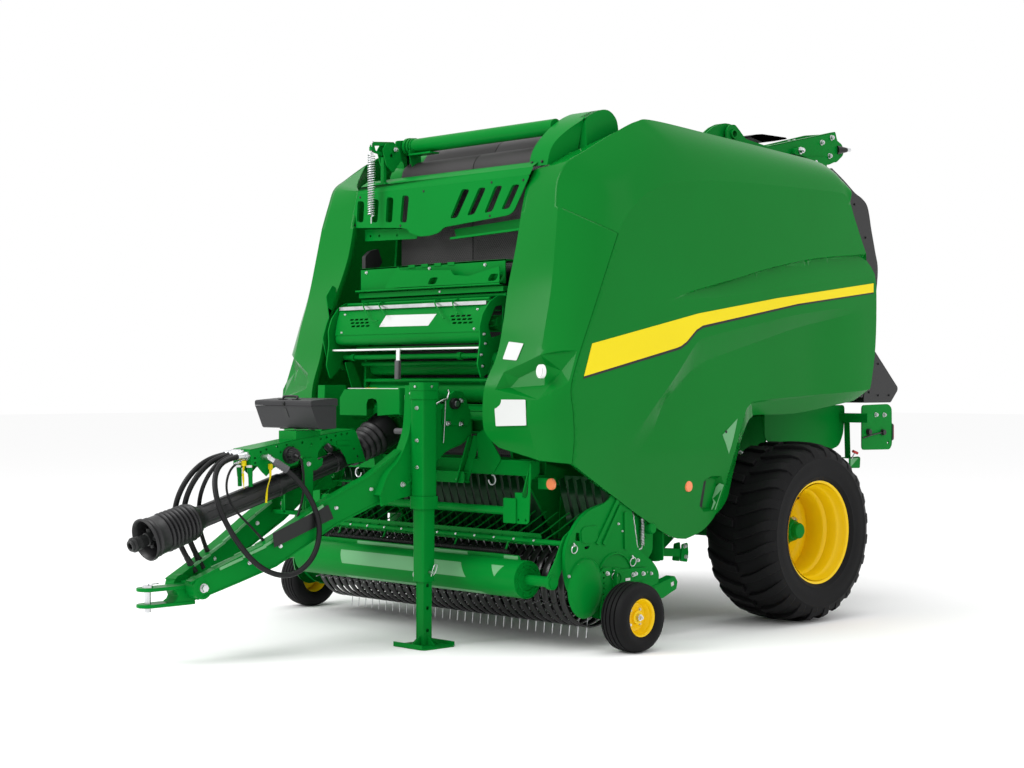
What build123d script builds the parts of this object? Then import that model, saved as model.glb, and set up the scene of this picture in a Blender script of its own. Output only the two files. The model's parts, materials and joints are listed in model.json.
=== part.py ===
"""Round baler: a trailed, PTO-driven variable-chamber baler with cutting rotor.

Frame: +X is the baler's left side, -Y its front (the hitch), +Z up. The origin is on the
ground, below the middle of the machine's length and width. Millimetres.
"""
import os
from math import cos, pi, radians, sin

from build123d import *

# ---- driving dimensions -------------------------------------------------------------
AXLE_Y = 1190  # main axle, behind the middle of the machine
AXLE_Z = 520
TYRE_RADIUS = 520
TYRE_WIDTH = 480
TRACK = 1130  # half the distance between the main tyres' middle planes
RIM_RADIUS = 290
HUB_RADIUS = 120

CHAMBER_HALF = 605  # inner half width of the bale chamber
WALL = 12
SKIN_X = 1200  # outer face of the side shields
SKIN = 28  # shields with their folded edges, as thick as the whole panel

GAUGE_X = 1345
GAUGE_Y = -410
GAUGE_Z = 180
GAUGE_RADIUS = 180
GAUGE_WIDTH = 160
GAUGE_RIM_RADIUS = 88
GAUGE_AXLE = 14

PICKUP_PIVOT = (-40, 600)  # y, z of the pickup's lifting axis
REEL = (-370, 315)  # y, z of the tine reel's axis
TINE_TIP = 288
TINE_BAR_RADIUS = 145
BAND_RADIUS = 225
TINE_PITCH = 63
TINE_COUNT = 32
PICKUP_HALF = 1140
ROTOR = (30, 500)  # y, z of the feed rotor's axis
ROTOR_RADIUS = 250

PTO_TIP = Vector(0, -2550, 590)
PTO_REAR = Vector(0, -1120, 1010)
HITCH_Y = -2450
JACK_X = 450
JACK_Y = -1050

GATE_PIVOT = (1230, 2880)  # y, z of the rear gate's hinge
SIDES = (("left", 1), ("right", -1))

os.makedirs("parts", exist_ok=True)


def write(piece, node):
    """Label a finished piece with its node's name and write its STEP file."""
    piece.part.label = node
    export_step(piece.part, f"parts/{node}.step")


def plate(points, x, thick, mode=Mode.ADD):
    """Flat plate in a YZ plane: points are (y, z), x is its middle plane."""
    with BuildSketch(Plane.YZ.offset(x)) as outline:
        with BuildLine():
            Polyline(points, close=True)
        make_face()
    extrude(outline.sketch, amount=thick / 2, both=True, mode=mode)


def beam(start, end, width, height, wall=0):
    """Rectangular bar or tube from start to end, its width level and across."""
    path = Vector(end) - Vector(start)
    level = Vector(0, 0, 1).cross(path) if abs(path.Z) < 0.999 * path.length else Vector(1, 0, 0)
    with BuildSketch(Plane(origin=start, x_dir=level, z_dir=path)) as section:
        Rectangle(width, height)
        if wall:
            Rectangle(width - 2 * wall, height - 2 * wall, mode=Mode.SUBTRACT)
    extrude(section.sketch, amount=path.length)


def rod(start, end, radius, bore=0, mode=Mode.ADD):
    """Round bar or tube from start to end."""
    path = Vector(end) - Vector(start)
    with BuildSketch(Plane(origin=start, z_dir=path)) as section:
        Circle(radius)
        if bore:
            Circle(bore, mode=Mode.SUBTRACT)
    extrude(section.sketch, amount=path.length, mode=mode)


def block(corner, opposite, mode=Mode.ADD):
    """Box between two opposite corners, in any order."""
    middle = (Vector(corner) + Vector(opposite)) / 2
    size = Vector(opposite) - Vector(corner)
    with Locations(middle):
        Box(abs(size.X), abs(size.Y), abs(size.Z), mode=mode)


def turned(profile, centre, mode=Mode.ADD):
    """Body of revolution about an X axis through centre; profile is (x, radius)."""
    plane = Plane(origin=centre, x_dir=(1, 0, 0), z_dir=(0, -1, 0))
    with BuildSketch(plane) as section:
        with BuildLine():
            Polyline(profile, close=True)
        make_face()
    revolve(section.sketch, axis=Axis(centre, (1, 0, 0)), mode=mode)


# ---- bale chamber -------------------------------------------------------------------
WALL_OUTLINE = [
    (-570, 985), (-570, 1350), (-540, 1900), (-440, 2540), (-200, 2740), (900, 2790),
    (1500, 2680), (1740, 2470), (1860, 2150), (1890, 1650), (1780, 1250), (1480, 760),
    (1250, 620), (900, 560), (500, 300), (250, 235), (-20, 240), (-160, 330), (-250, 560),
    (-420, 800),
]
ROTOR_SHAFT = 40
with BuildPart() as chamber_walls:
    for side, sign in SIDES:
        plate(WALL_OUTLINE, sign * (CHAMBER_HALF + WALL / 2), WALL)
        # pressed stiffeners and the folded front and rear edges, on the outer face
        for rib_y, rib_low, rib_high in ((150, 900, 2650), (700, 700, 2700), (1300, 900, 2600)):
            middle = sign * (CHAMBER_HALF + WALL + 18)
            block((middle - 19, rib_y - 35, rib_low), (middle + 19, rib_y + 35, rib_high))
        rod((sign * 600, *ROTOR), (sign * 640, *ROTOR), 80)
        rod((sign * 590, *ROTOR), (sign * 650, *ROTOR), ROTOR_SHAFT + 0.05, mode=Mode.SUBTRACT)
write(chamber_walls, "chamber_walls")

BELT_PATH = [
    (-300, 1000), (-400, 1500), (-400, 2450), (-180, 2690), (1000, 2730), (1540, 2540),
    (1720, 2100), (1680, 1400), (1380, 800), (900, 660), (420, 650),
]
BELT_HALF = 585
BELT = 10
BELT_CORNER = 95  # outer radius of the belts round a roller


def corner_centre(index):
    """Centre of the rounding at one corner of the belt path."""
    corner = Vector(*BELT_PATH[index])
    before = (Vector(*BELT_PATH[index - 1]) - corner).normalized()
    after = (Vector(*BELT_PATH[(index + 1) % len(BELT_PATH)]) - corner).normalized()
    half_angle = before.get_angle(after) / 2
    middle = (before + after).normalized()
    return corner + middle * (BELT_CORNER / sin(radians(half_angle)))


with BuildPart() as belts:
    with BuildSketch(Plane.YZ) as loop:
        with BuildLine():
            Polyline(BELT_PATH, close=True)
        make_face()
        fillet(loop.vertices(), BELT_CORNER)
        offset(amount=-BELT, mode=Mode.SUBTRACT)
    extrude(loop.sketch, amount=BELT_HALF, both=True)
write(belts, "belts")

# smooth rollers across the front opening, below the net box: y, z and radius
FRONT_ROLLERS = [(-500, 1465, 40), (-480, 1340, 70), (-470, 1180, 80)]
BELT_ROLLER_CORNERS = (0, 1, 3, 4, 5, 7, 8, 10)
with BuildPart() as chamber_rollers:
    for roll_y, roll_z, radius in FRONT_ROLLERS:
        rod((-604, roll_y, roll_z), (604, roll_y, roll_z), radius)
    for corner in BELT_ROLLER_CORNERS:
        roll = corner_centre(corner)
        rod((-604, roll.X, roll.Y), (604, roll.X, roll.Y), BELT_CORNER - BELT - 2)
write(chamber_rollers, "chamber_rollers")

STAR_COUNT = 19  # star plates at the tines' pitch, so that the tines pass between them
with BuildPart() as feed_rotor:
    rod((-640, *ROTOR), (640, *ROTOR), ROTOR_SHAFT)
    rod((-585, *ROTOR), (585, *ROTOR), 110)
    for index in range(STAR_COUNT):
        x = (index - (STAR_COUNT - 1) / 2) * TINE_PITCH
        for arm in range(3):
            turn = radians(arm * 120 + index * 14)
            tip = (ROTOR[0] + ROTOR_RADIUS * cos(turn), ROTOR[1] + ROTOR_RADIUS * sin(turn))
            lead = (ROTOR[0] + 105 * cos(turn + 0.6), ROTOR[1] + 105 * sin(turn + 0.6))
            trail = (ROTOR[0] + 105 * cos(turn - 0.35), ROTOR[1] + 105 * sin(turn - 0.35))
            plate([tip, lead, ROTOR, trail], x, 8)
write(feed_rotor, "feed_rotor")

with BuildPart() as knife_floor:
    turned([(-600, 262), (600, 262), (600, 272), (-600, 272)], (0, *ROTOR))
    block((-700, ROTOR[0] - 400, ROTOR[1] - 120), (700, ROTOR[0] + 400, ROTOR[1] + 400), mode=Mode.SUBTRACT)
    # clear of the tines' path
    rod((-700, *REEL), (700, *REEL), TINE_TIP + 14, mode=Mode.SUBTRACT)
write(knife_floor, "knife_floor")

# ---- chassis ------------------------------------------------------------------------
AXLE_HALF = 880
STUB = 50
with BuildPart() as main_frame:
    block((-AXLE_HALF, AXLE_Y - 65, AXLE_Z - 65), (AXLE_HALF, AXLE_Y + 65, AXLE_Z + 65))
    for side, sign in SIDES:
        rod((sign * AXLE_HALF, AXLE_Y, AXLE_Z), (sign * (TRACK - 40), AXLE_Y, AXLE_Z), STUB)
        # axle hanger, standing on the beam beside the chamber wall
        hanger = [(1000, 590), (1380, 590), (1460, 830), (1300, 1000), (900, 1000), (820, 800)]
        plate(hanger, sign * 675, 16)
        # side rail from the front beam back to the axle
        beam((sign * 700, -562, 930), (sign * 700, 300, 740), 60, 90, 8)
        beam((sign * 700, 280, 742), (sign * 700, AXLE_Y - 50, 600), 60, 90, 8)
        # stand-offs that tie the rail to the wall
        for stand_y, stand_z in ((-450, 905), (220, 755), (600, 690), (1200, 900)):
            rod((sign * 617.5, stand_y, stand_z), (sign * 700, stand_y, stand_z), 28)
        # pivot pin of the pickup
        rod((sign * 617.5, *PICKUP_PIVOT), (sign * 1160, *PICKUP_PIVOT), 30)
        beam((sign * 700, -40, 815), (sign * 700, *PICKUP_PIVOT), 60, 90)
write(main_frame, "main_frame")

DOOR_HINGE = (1040, 2725)  # x, z of the pins that a door swings on
KNUCKLES = (150, 950)  # y where each hinge's frame knuckle starts
KNUCKLE = 60
with BuildPart() as upper_frame:
    for side, sign in SIDES:
        for start_y in KNUCKLES:
            centre = (sign * DOOR_HINGE[0], start_y, DOOR_HINGE[1])
            rod(centre, (centre[0], start_y + KNUCKLE, centre[2]), 15)
            block((sign * 975, start_y, 2710), (sign * 1040, start_y + KNUCKLE, 2724))
            rod(centre, (centre[0], start_y + KNUCKLE, centre[2]), 8.1, mode=Mode.SUBTRACT)
        block((sign * 970, -60, 2700), (sign * 1000, 1480, 2735))
        for arm_y in (40, 1000):
            block((sign * 617.5, arm_y - 20, 2700), (sign * 985, arm_y + 20, 2740))
        # ear that carries the rear gate's pin
        ear = [(1080, 2700), (1400, 2700), (1300, 2945), (1160, 2945)]
        plate(ear, sign * 640, 14)
        rod((sign * 633, *GATE_PIVOT), (sign * 700, *GATE_PIVOT), 30)
        block((sign * 617.5, 1080, 2700), (sign * 647, 1400, 2715))
write(upper_frame, "upper_frame")

BEAM_Y = (-650, -570)
LOWER_TUBE = (-748, 712)  # y, z of the tube in front of the wind guard's fingers
TUBE_ARM = [
    (-640, 965), (-640, 905), (-736, 860), (-736, 670), (-772, 655), (-772, 790), (-700, 965),
]
with BuildPart() as front_crossbeam:
    block((-880, BEAM_Y[0], 900), (880, BEAM_Y[1], 970))
    for side, sign in SIDES:
        plate(TUBE_ARM, sign * 865, 12)
        # pad that the tube's end is bolted to
        block((sign * 771, -772, 655), (sign * 859, -762, 775))
        beam((sign * 560, -640, 900), (sign * 620, -600, 1120), 45, 30)
    # upper beam, between the headstock plates and the chamber walls
    block((-630, -640, 1110), (630, -572, 1185))
    rod((-859, *LOWER_TUBE), (859, *LOWER_TUBE), 22)
write(front_crossbeam, "front_crossbeam")

# each hose's node, radius and route; the first point is on the bracket's front edge
HOSES = [
    ("hose_left_loop", 14, [
        (50, -1915, 1010), (52, -2022, 1006), (84, -2122, 930), (158, -2152, 780), (234, -2100, 608),
        (274, -1975, 455), (290, -1800, 402), (293, -1655, 486), (284, -1600, 640), (248, -1636, 796),
        (186, -1704, 918), (132, -1785, 984),
    ]),
    ("hose_front_outer", 14, [
        (-58, -1915, 1020), (-66, -2018, 1012), (-98, -2128, 935), (-128, -2195, 810), (-142, -2207, 680),
        (-128, -2180, 565), (-100, -2138, 478),
    ]),
    ("hose_front_middle", 14, [
        (-22, -1915, 1020), (-30, -2014, 1010), (-60, -2110, 932), (-94, -2166, 812), (-114, -2168, 690),
        (-112, -2132, 585), (-104, -2085, 494),
    ]),
    ("hose_front_inner", 11, [
        (8, -1915, 1020), (6, -2008, 1004), (-18, -2078, 930), (-64, -2104, 815), (-98, -2086, 690),
        (-120, -2052, 600), (-132, -2010, 526),
    ]),
    ("hose_thin", 6, [
        (28, -1915, 982), (32, -1965, 968), (46, -2015, 905), (64, -2030, 830), (86, -2008, 760),
        (112, -1970, 705), (136, -1925, 655), (152, -1882, 602),
    ]),
]
# waypoints of the left tongue beam from the hitch back: x, y, z and beam height
TONGUE = [
    (75, -2180, 385, 110), (185, -1860, 520, 140), (225, -1510, 715, 150),
    (300, -1290, 830, 170), (345, -1030, 1010, 190),
]
HEADSTOCK = [
    (-1045, 1370), (-900, 1370), (-872, 1250), (-790, 1338), (-735, 1335), (-655, 1215), (-640.5, 1185),
    (-640.5, 1110), (-734, 1056), (-820, 1030), (-886, 990), (-925, 925), (-945, 860), (-958, 806),
    (-1112, 786), (-1300, 738), (-1330, 800), (-1300, 893), (-1249, 915), (-1185, 968), (-1140, 1035),
    (-1100, 1125), (-1052, 1240),
]
with BuildPart() as drawbar:
    for side, sign in SIDES:
        for (x0, y0, z0, height), (x1, y1, z1, next_height) in zip(TONGUE, TONGUE[1:]):
            beam((sign * x0, y0, z0), (sign * x1, y1, z1), 70, height)
        plate(HEADSTOCK, sign * 385, 18)
    block((-110, -2240, 335), (110, -2150, 430))
    # fittings on the beams that the front hoses end in
    for node, radius, route in HOSES[1:]:
        end = Vector(*route[-1])
        into = (end - Vector(*route[-2])).normalized()
        rod(end, end + into * 60, radius + 4)
    block((-376, -700, 1110), (376, -655, 1180))
    block((-376, -1000, 830), (376, -940, 860))
write(drawbar, "drawbar")

with BuildPart() as hitch_clevis:
    block((-55, -2500, 355), (55, -2240.5, 378))
    block((-55, -2500, 288), (55, -2240.5, 311))
    block((-55, -2340, 311), (55, -2240.5, 355))
    with Locations((0, HITCH_Y, 366), (0, HITCH_Y, 299)):
        Cylinder(16, 30, mode=Mode.SUBTRACT)
write(hitch_clevis, "hitch_clevis")

PIN_RADIUS = 15.5
with BuildPart() as hitch_pin:
    rod((0, HITCH_Y, 262), (0, HITCH_Y, 379), PIN_RADIUS)
    rod((0, HITCH_Y, 378.5), (0, HITCH_Y, 392), 26)
write(hitch_pin, "hitch_pin")

with BuildPart() as gearbox:
    block((-110, -860, 1040), (110, -700.5, 1200))
    rod((0, -930, 1130), (0, -860, 1130), 45)
write(gearbox, "gearbox")

with BuildPart() as gearbox_guard:
    block((-200, -1090, 1205), (200, -840, 1375))
    block((-195, -1085, 1200), (195, -845, 1370), mode=Mode.SUBTRACT)
    block((-90, -1100, 1240), (-20, -1080, 1330), mode=Mode.SUBTRACT)
    for side, sign in SIDES:
        block((sign * 200, -900, 1300), (sign * 376, -860, 1320))
write(gearbox_guard, "gearbox_guard")

# ---- drive shaft --------------------------------------------------------------------
PTO_AXIS = (PTO_REAR - PTO_TIP).normalized()


def along_pto(distance):
    """Point on the drive shaft's line, measured from its front tip."""
    return PTO_TIP + PTO_AXIS * distance


PTO_LENGTH = (PTO_REAR - PTO_TIP).length
with BuildPart() as pto_guard_tube:
    rod(along_pto(330), along_pto(PTO_LENGTH - 60), 52, 40)
write(pto_guard_tube, "pto_guard_tube")

with BuildPart() as pto_front_cone:
    with BuildSketch(Plane(origin=along_pto(115), z_dir=PTO_AXIS)) as mouth:
        Circle(92)
    with BuildSketch(Plane(origin=along_pto(329), z_dir=PTO_AXIS)) as root:
        Circle(56)
    loft([mouth.sketch.face(), root.sketch.face()], ruled=True)
    rod(along_pto(100), along_pto(335), 40, mode=Mode.SUBTRACT)
    with BuildSketch(Plane(origin=along_pto(114), z_dir=PTO_AXIS)) as inner_mouth:
        Circle(86)
    with BuildSketch(Plane(origin=along_pto(235), z_dir=PTO_AXIS)) as inner_root:
        Circle(60)
    loft([inner_mouth.sketch.face(), inner_root.sketch.face()], ruled=True, mode=Mode.SUBTRACT)
write(pto_front_cone, "pto_front_cone")

PTO_INPUT = Vector(0, -935, 1130)
CONE_AXIS = (PTO_INPUT - PTO_REAR).normalized()
with BuildPart() as pto_rear_cone:
    with BuildSketch(Plane(origin=along_pto(PTO_LENGTH - 55), z_dir=PTO_AXIS)) as mouth:
        Circle(58)
    with BuildSketch(Plane(origin=PTO_INPUT, z_dir=CONE_AXIS)) as root:
        Circle(95)
    loft([mouth.sketch.face(), root.sketch.face()], ruled=True)
    rod(PTO_INPUT - CONE_AXIS * 50, PTO_INPUT + CONE_AXIS * 60, 70, mode=Mode.SUBTRACT)
write(pto_rear_cone, "pto_rear_cone")

YOKE_BORE = 17.5
with BuildPart() as pto_shaft:
    rod(along_pto(0), along_pto(95), 30)
    rod(along_pto(10), along_pto(30), 38)
    rod(along_pto(95), along_pto(180), 34)
    rod(along_pto(180), along_pto(PTO_LENGTH - 70), 24)
    rod(along_pto(-1), along_pto(80), YOKE_BORE, mode=Mode.SUBTRACT)
write(pto_shaft, "pto_shaft")

# ---- parking jack -------------------------------------------------------------------
with BuildPart() as jack_outer:
    block((JACK_X - 48, JACK_Y - 48, 730), (JACK_X + 48, JACK_Y + 48, 1360))
    block((JACK_X - 36, JACK_Y - 36, 340), (JACK_X + 36, JACK_Y + 36, 760))
    block((JACK_X - 29.5, JACK_Y - 29.5, 330), (JACK_X + 29.5, JACK_Y + 29.5, 1300), mode=Mode.SUBTRACT)
    block((JACK_X - 56, JACK_Y - 56, 1345), (JACK_X + 56, JACK_Y + 56, 1375))
    block((394.5, JACK_Y - 44, 880), (JACK_X - 40, JACK_Y + 44, 1300))
write(jack_outer, "jack_outer")

LEG_HALF = 29
with BuildPart() as jack_leg:
    block((JACK_X - LEG_HALF, JACK_Y - LEG_HALF, 10), (JACK_X + LEG_HALF, JACK_Y + LEG_HALF, 700))
    block((JACK_X - 22, JACK_Y - 22, 20), (JACK_X + 22, JACK_Y + 22, 710), mode=Mode.SUBTRACT)
    block((JACK_X - 125, JACK_Y - 110, 0), (JACK_X + 125, JACK_Y + 110, 10))
write(jack_leg, "jack_leg")

with BuildPart() as jack_crank:
    rod((JACK_X - 49, JACK_Y - 25, 1325), (JACK_X - 120, JACK_Y - 25, 1325), 9)
    rod((JACK_X - 115, JACK_Y - 25, 1330), (JACK_X - 115, JACK_Y - 25, 1120), 8)
    rod((JACK_X - 112, JACK_Y - 25, 1125), (JACK_X - 200, JACK_Y - 25, 1125), 16)
write(jack_crank, "jack_crank")

# ---- hose bracket and toolbox -------------------------------------------------------
HOSE_CHANNEL = [
    (-1890, 1070), (-1200, 1112), (-1091, 1140), (-1091, 1100), (-1200, 1060), (-1260, 1000),
    (-1500, 960), (-1890, 960),
]

BRACKET_FRONT = -1890
LOOP_END = Vector(*HOSES[0][2][-1])
LOOP_OUT = (LOOP_END - Vector(*HOSES[0][2][-2])).normalized()
with BuildPart() as hose_bracket:
    for side, sign in SIDES:
        plate(HOSE_CHANNEL, sign * 72, 8)
        block((sign * 72, -1560, 700), (sign * 88, -1500, 1000))
    block((-68, BRACKET_FRONT, 1062), (68, -1700, 1070))
    block((-68, BRACKET_FRONT, 962), (68, BRACKET_FRONT + 8, 1062))
    block((-76, -1590, 1080), (76, -1450, 1134))
    block((-183, -1560, 690), (183, -1500, 712))
    # bulkhead fittings that the hoses leave from
    for node, radius, route in HOSES:
        face = Vector(*route[0])
        out = (Vector(*route[1]) - face).normalized()
        rod(face - out * 30, face, radius + 4)
    # elbow on the left plate, where the loop comes back
    rod(LOOP_END, LOOP_END + LOOP_OUT * 45, 15)
    rod((72, -1815, 1004), (135, -1815, 1004), 13)
write(hose_bracket, "hose_bracket")


def bend_radii(route):
    """Radius at each inner point of a route: 0.45 of its shorter run over tan of half the turn."""
    radii = []
    for before, corner, after in zip(route, route[1:], route[2:]):
        first = Vector(corner) - Vector(before)
        second = Vector(after) - Vector(corner)
        half_turn = radians(first.get_angle(second) / 2)
        radii.append(0.45 * min(first.length, second.length) * cos(half_turn) / sin(half_turn))
    return radii


for node, radius, route in HOSES:
    bends = bend_radii(route)
    with BuildPart() as hose:
        with BuildLine() as centreline:
            FilletPolyline(*route, radius=bends)
        path = centreline.wire()
        with BuildSketch(Plane(origin=path @ 0, z_dir=path % 0)):
            Circle(radius)
        sweep()
    share = hose.part.volume / (path.length * pi * radius**2)
    print(f"{node}: {path.length:.0f} mm, smallest radius {min(bends):.0f}, volume share {share:.3f}")
    write(hose, node)

BOX_LOW = (-205, -1600, 1135)
BOX_HIGH = (205, -1440, 1262)
with BuildPart() as toolbox:
    with BuildSketch(Plane.XY.offset(BOX_LOW[2])) as foot:
        with Locations((0, -1520)):
            Rectangle(380, 130)
    with BuildSketch(Plane.XY.offset(BOX_HIGH[2])) as brim:
        with Locations((0, -1520)):
            Rectangle(424, 168)
    loft([foot.sketch.face(), brim.sketch.face()], ruled=True)
    with BuildSketch(Plane.XY.offset(BOX_LOW[2] + 5)) as foot_inside:
        with Locations((0, -1520)):
            Rectangle(370, 120)
    with BuildSketch(Plane.XY.offset(BOX_HIGH[2] + 1)) as brim_inside:
        with Locations((0, -1520)):
            Rectangle(414, 158)
    loft([foot_inside.sketch.face(), brim_inside.sketch.face()], ruled=True, mode=Mode.SUBTRACT)
write(toolbox, "toolbox")

LID_HINGE = (-1430, 1268)
with BuildPart() as toolbox_lid:
    block((-220, -1612, 1263), (220, -1434, 1292))
    block((-214, -1606, 1262), (214, -1440, 1288), mode=Mode.SUBTRACT)
    rod((-200, *LID_HINGE), (200, *LID_HINGE), 5)
write(toolbox_lid, "toolbox_lid")

# ---- side shields -------------------------------------------------------------------
# plan sections of the front corner: z, then y at the inner edge, front crease and seam,
# with the x of the crease; the inner edge is at x 750 and the seam at the skin
CORNER = [
    (985, -800, -800, -700, 1000), (1190, -900, -850, -690, 1000),
    (1420, -890, -780, -612, 1000), (1810, -750, -685, -476, 1000),
    (2160, -640, -615, -356, 985), (2440, -540, -555, -260, 970),
    (2815, -395, -395, -130, 960),
]
CORNER_INNER = 750
ABOVE_CORNER = [
    (-900, 2260), (-520, 2520), (-190, 2750), (-190, 2600), (-100, 2600), (-100, 2900), (-900, 2900),
]
for side, sign in SIDES:
    with BuildPart() as front_corner:
        sections = []
        for z, inner_y, crease_y, seam_y, crease_x in CORNER:
            edge_x = SKIN_X if z < 2450 else 1070
            outer = [(CORNER_INNER, inner_y), (crease_x, crease_y), (edge_x, seam_y)]
            inner = [
                (edge_x - SKIN, seam_y), (crease_x - 12, crease_y + SKIN), (CORNER_INNER, inner_y + SKIN),
            ]
            with BuildSketch(Plane.XY.offset(z)) as section:
                with BuildLine():
                    Polyline([(sign * x, y) for x, y in outer + inner], close=True)
                make_face()
            sections.append(section.sketch.face())
        for lower, upper in zip(sections, sections[1:]):
            loft([lower, upper], ruled=True)
        # the top is cut on a slope that rises to the rear, and clear of the door's swing
        plate(ABOVE_CORNER, sign * 950, 600, mode=Mode.SUBTRACT)
    write(front_corner, f"front_corner_{side}")

DOOR_OUTLINE = [
    (-667, 975), (-350, 769), (-113, 626), (216, 526), (440, 560), (491, 664), (543, 895),
    (632, 1116), (830, 1214), (1207, 1221), (1705, 1245), (1893, 1286), (1987, 1977),
    (1912, 2249), (1755, 2511), (1590, 2680), (1080, 2738), (710, 2767), (360, 2790),
    (-60, 2810), (-120, 2812), (-254, 2440), (-348, 2160), (-468, 1810), (-604, 1420),
    (-682, 1190), (-692, 1080),
]
CREASE_Z = 2440
DOOR_TOP = (1062, 2830)
for side, sign in SIDES:
    with BuildPart() as side_door:
        plate(DOOR_OUTLINE, sign * 1100, 300)
        with BuildSketch(Plane.XZ) as skin:
            with BuildLine():
                Polyline(
                    (sign * SKIN_X, 400), (sign * SKIN_X, CREASE_Z), (sign * DOOR_TOP[0], DOOR_TOP[1]),
                    (sign * (DOOR_TOP[0] - SKIN), DOOR_TOP[1] - 4),
                    (sign * (SKIN_X - SKIN), CREASE_Z - 8), (sign * (SKIN_X - SKIN), 400), close=True,
                )
            make_face()
        extrude(skin.sketch, amount=2200, both=True, mode=Mode.INTERSECT)
        for start_y in KNUCKLES:
            pin = (sign * DOOR_HINGE[0], start_y - 30, DOOR_HINGE[1])
            rod(pin, (pin[0], start_y + KNUCKLE + 30, pin[2]), 8)
            for tab_y in (start_y - 16, start_y + KNUCKLE + 2):
                block((sign * 1034, tab_y, 2717), (sign * 1084, tab_y + 14, 2733))
    write(side_door, f"side_door_{side}")

# ---- front of the chamber -----------------------------------------------------------
# x of each grille slot's foot and how far its top leans
GRILLE_SLOTS = [(-640, 0), (-530, 0), (-420, 0), (-310, 0), (110, 95), (240, 95), (370, 95), (500, 95)]
SLOT_FOOT, SLOT_HEAD, SLOT_WIDTH = 2300, 2460, 55
GRILLE_OUTLINE = [
    (-700, 2250), (-200, 2250), (-150, 2200), (120, 2200), (180, 2250), (640, 2290), (740, 2530),
    (-660, 2530),
]
GRILLE_Y = -560
with BuildPart() as grille:
    with BuildSketch(Plane.XZ.offset(-GRILLE_Y)) as face:
        with BuildLine():
            Polyline(GRILLE_OUTLINE, close=True)
        make_face()
        for foot, lean in GRILLE_SLOTS:
            with BuildLine():
                Polyline(
                    (foot, SLOT_FOOT), (foot + SLOT_WIDTH, SLOT_FOOT), (foot + SLOT_WIDTH + lean, SLOT_HEAD),
                    (foot + lean, SLOT_HEAD), close=True,
                )
            make_face(mode=Mode.SUBTRACT)
    extrude(face.sketch, amount=-8)
    block((-660, GRILLE_Y, 2522), (700, -470, 2530))
write(grille, "grille")

with BuildPart() as top_tube:
    rod((-500, -360, 2790), (760, -360, 2790), 45)
    block((-520, -420, 2700), (-440, -300, 2830))
    block((-604, -330, 2560), (-500, -310, 2745))
    block((-604, -330, 2700), (-440, -310, 2745))
    block((560, -330, 2560), (604, -310, 2760))
    beam((-480, -419, 2800), (-480, -640, 2830), 30, 16)
write(top_tube, "top_tube")

with BuildPart() as tension_spring:
    rod((-480, -630, 2330), (-480, -630, 2815), 22, 16)
write(tension_spring, "tension_spring")

with BuildPart() as roof_box:
    with BuildSketch(Plane.YZ.offset(790)) as profile:
        with BuildLine():
            Polyline((-120, 2600), (-500, 2560), (-410, 2785))
            ThreePointArc((-410, 2785), (-220, 2852), (-40, 2786))
            Line((-40, 2786), (-120, 2600))
        make_face()
    extrude(profile.sketch, amount=150)
write(roof_box, "roof_box")

with BuildPart() as shelf:
    block((-604, -650, 1910), (604, -450, 2030))
    block((-604, -642, 1918), (604, -440, 2040), mode=Mode.SUBTRACT)
    with Locations(Plane(origin=(0, -650, 1965), x_dir=(1, 0, 0), z_dir=(0, -1, 0))):
        with Locations((-50, 0), (400, 0)):
            Cylinder(22, 40, mode=Mode.SUBTRACT)
write(shelf, "shelf")

NET_HINGE = (-655, 1835)
COVER_ENDS = (-680, 560)  # x; the net box stands out past the right wall
with BuildPart() as net_cover:
    with BuildSketch(Plane.YZ.offset(COVER_ENDS[0])) as profile:
        with BuildLine():
            Polyline((-650, 1822), (-700, 1815), (-735, 1640))
            ThreePointArc((-735, 1640), (-720, 1600), (-680, 1590))
            Polyline((-680, 1590), (-650, 1590), (-650, 1600), (-680, 1600))
            ThreePointArc((-680, 1600), (-712, 1608), (-725, 1642))
            Polyline((-725, 1642), (-692, 1806), (-650, 1812), (-650, 1822))
        make_face()
    extrude(profile.sketch, amount=COVER_ENDS[1] - COVER_ENDS[0])
    rod((COVER_ENDS[0] + 20, *NET_HINGE), (COVER_ENDS[1] - 20, *NET_HINGE), 8)
    block((COVER_ENDS[0] + 20, -663, 1818), (COVER_ENDS[1] - 20, -651, 1832))
write(net_cover, "net_cover")

with BuildPart() as net_box:
    block((-604, -640, 1560), (604, -540, 1588))
    block((-705, -640, 1560), (-604, -572, 1588))
    block((-705, -590, 1560), (-604, -566, 1850))
    block((576, -569, 1560), (604, -545, 1850))
    for plate_x in (-700, 580):
        plate([(-545, 1560), (-690, 1600), (-690, 1850), (-545, 1850)], plate_x, 10)
    rod((-695, -600, 1700), (575, -600, 1700), 45)
write(net_box, "net_box")

# ---- pickup -------------------------------------------------------------------------
SHIELD = [
    (-700, 477), (-655, 240), (-560, 90), (-450, 40), (-300, 50), (-140, 120), (-60, 150),
    (20, 260), (40, 560), (20, 660), (-150, 900), (-295, 975), (-420, 900), (-600, 727),
]
PICKUP_BAR = (-60, 195)  # y, z of the tube that joins the two shields
with BuildPart() as pickup_frame:
    for side, sign in SIDES:
        plate(SHIELD, sign * PICKUP_HALF, 10)
        rod((sign * (PICKUP_HALF - 30), *PICKUP_PIVOT), (sign * (PICKUP_HALF + 8), *PICKUP_PIVOT), 48)
        rod((sign * 1050, *PICKUP_PIVOT), (sign * 1170, *PICKUP_PIVOT), 30.05, mode=Mode.SUBTRACT)
        rod((sign * (PICKUP_HALF + 4), *REEL), (sign * (PICKUP_HALF - 25), *REEL), 60)
        rod((sign * 1050, *REEL), (sign * 1170, *REEL), 25.05, mode=Mode.SUBTRACT)
    rod((-PICKUP_HALF, *PICKUP_BAR), (PICKUP_HALF, *PICKUP_BAR), 28)
write(pickup_frame, "pickup_frame")

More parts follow.
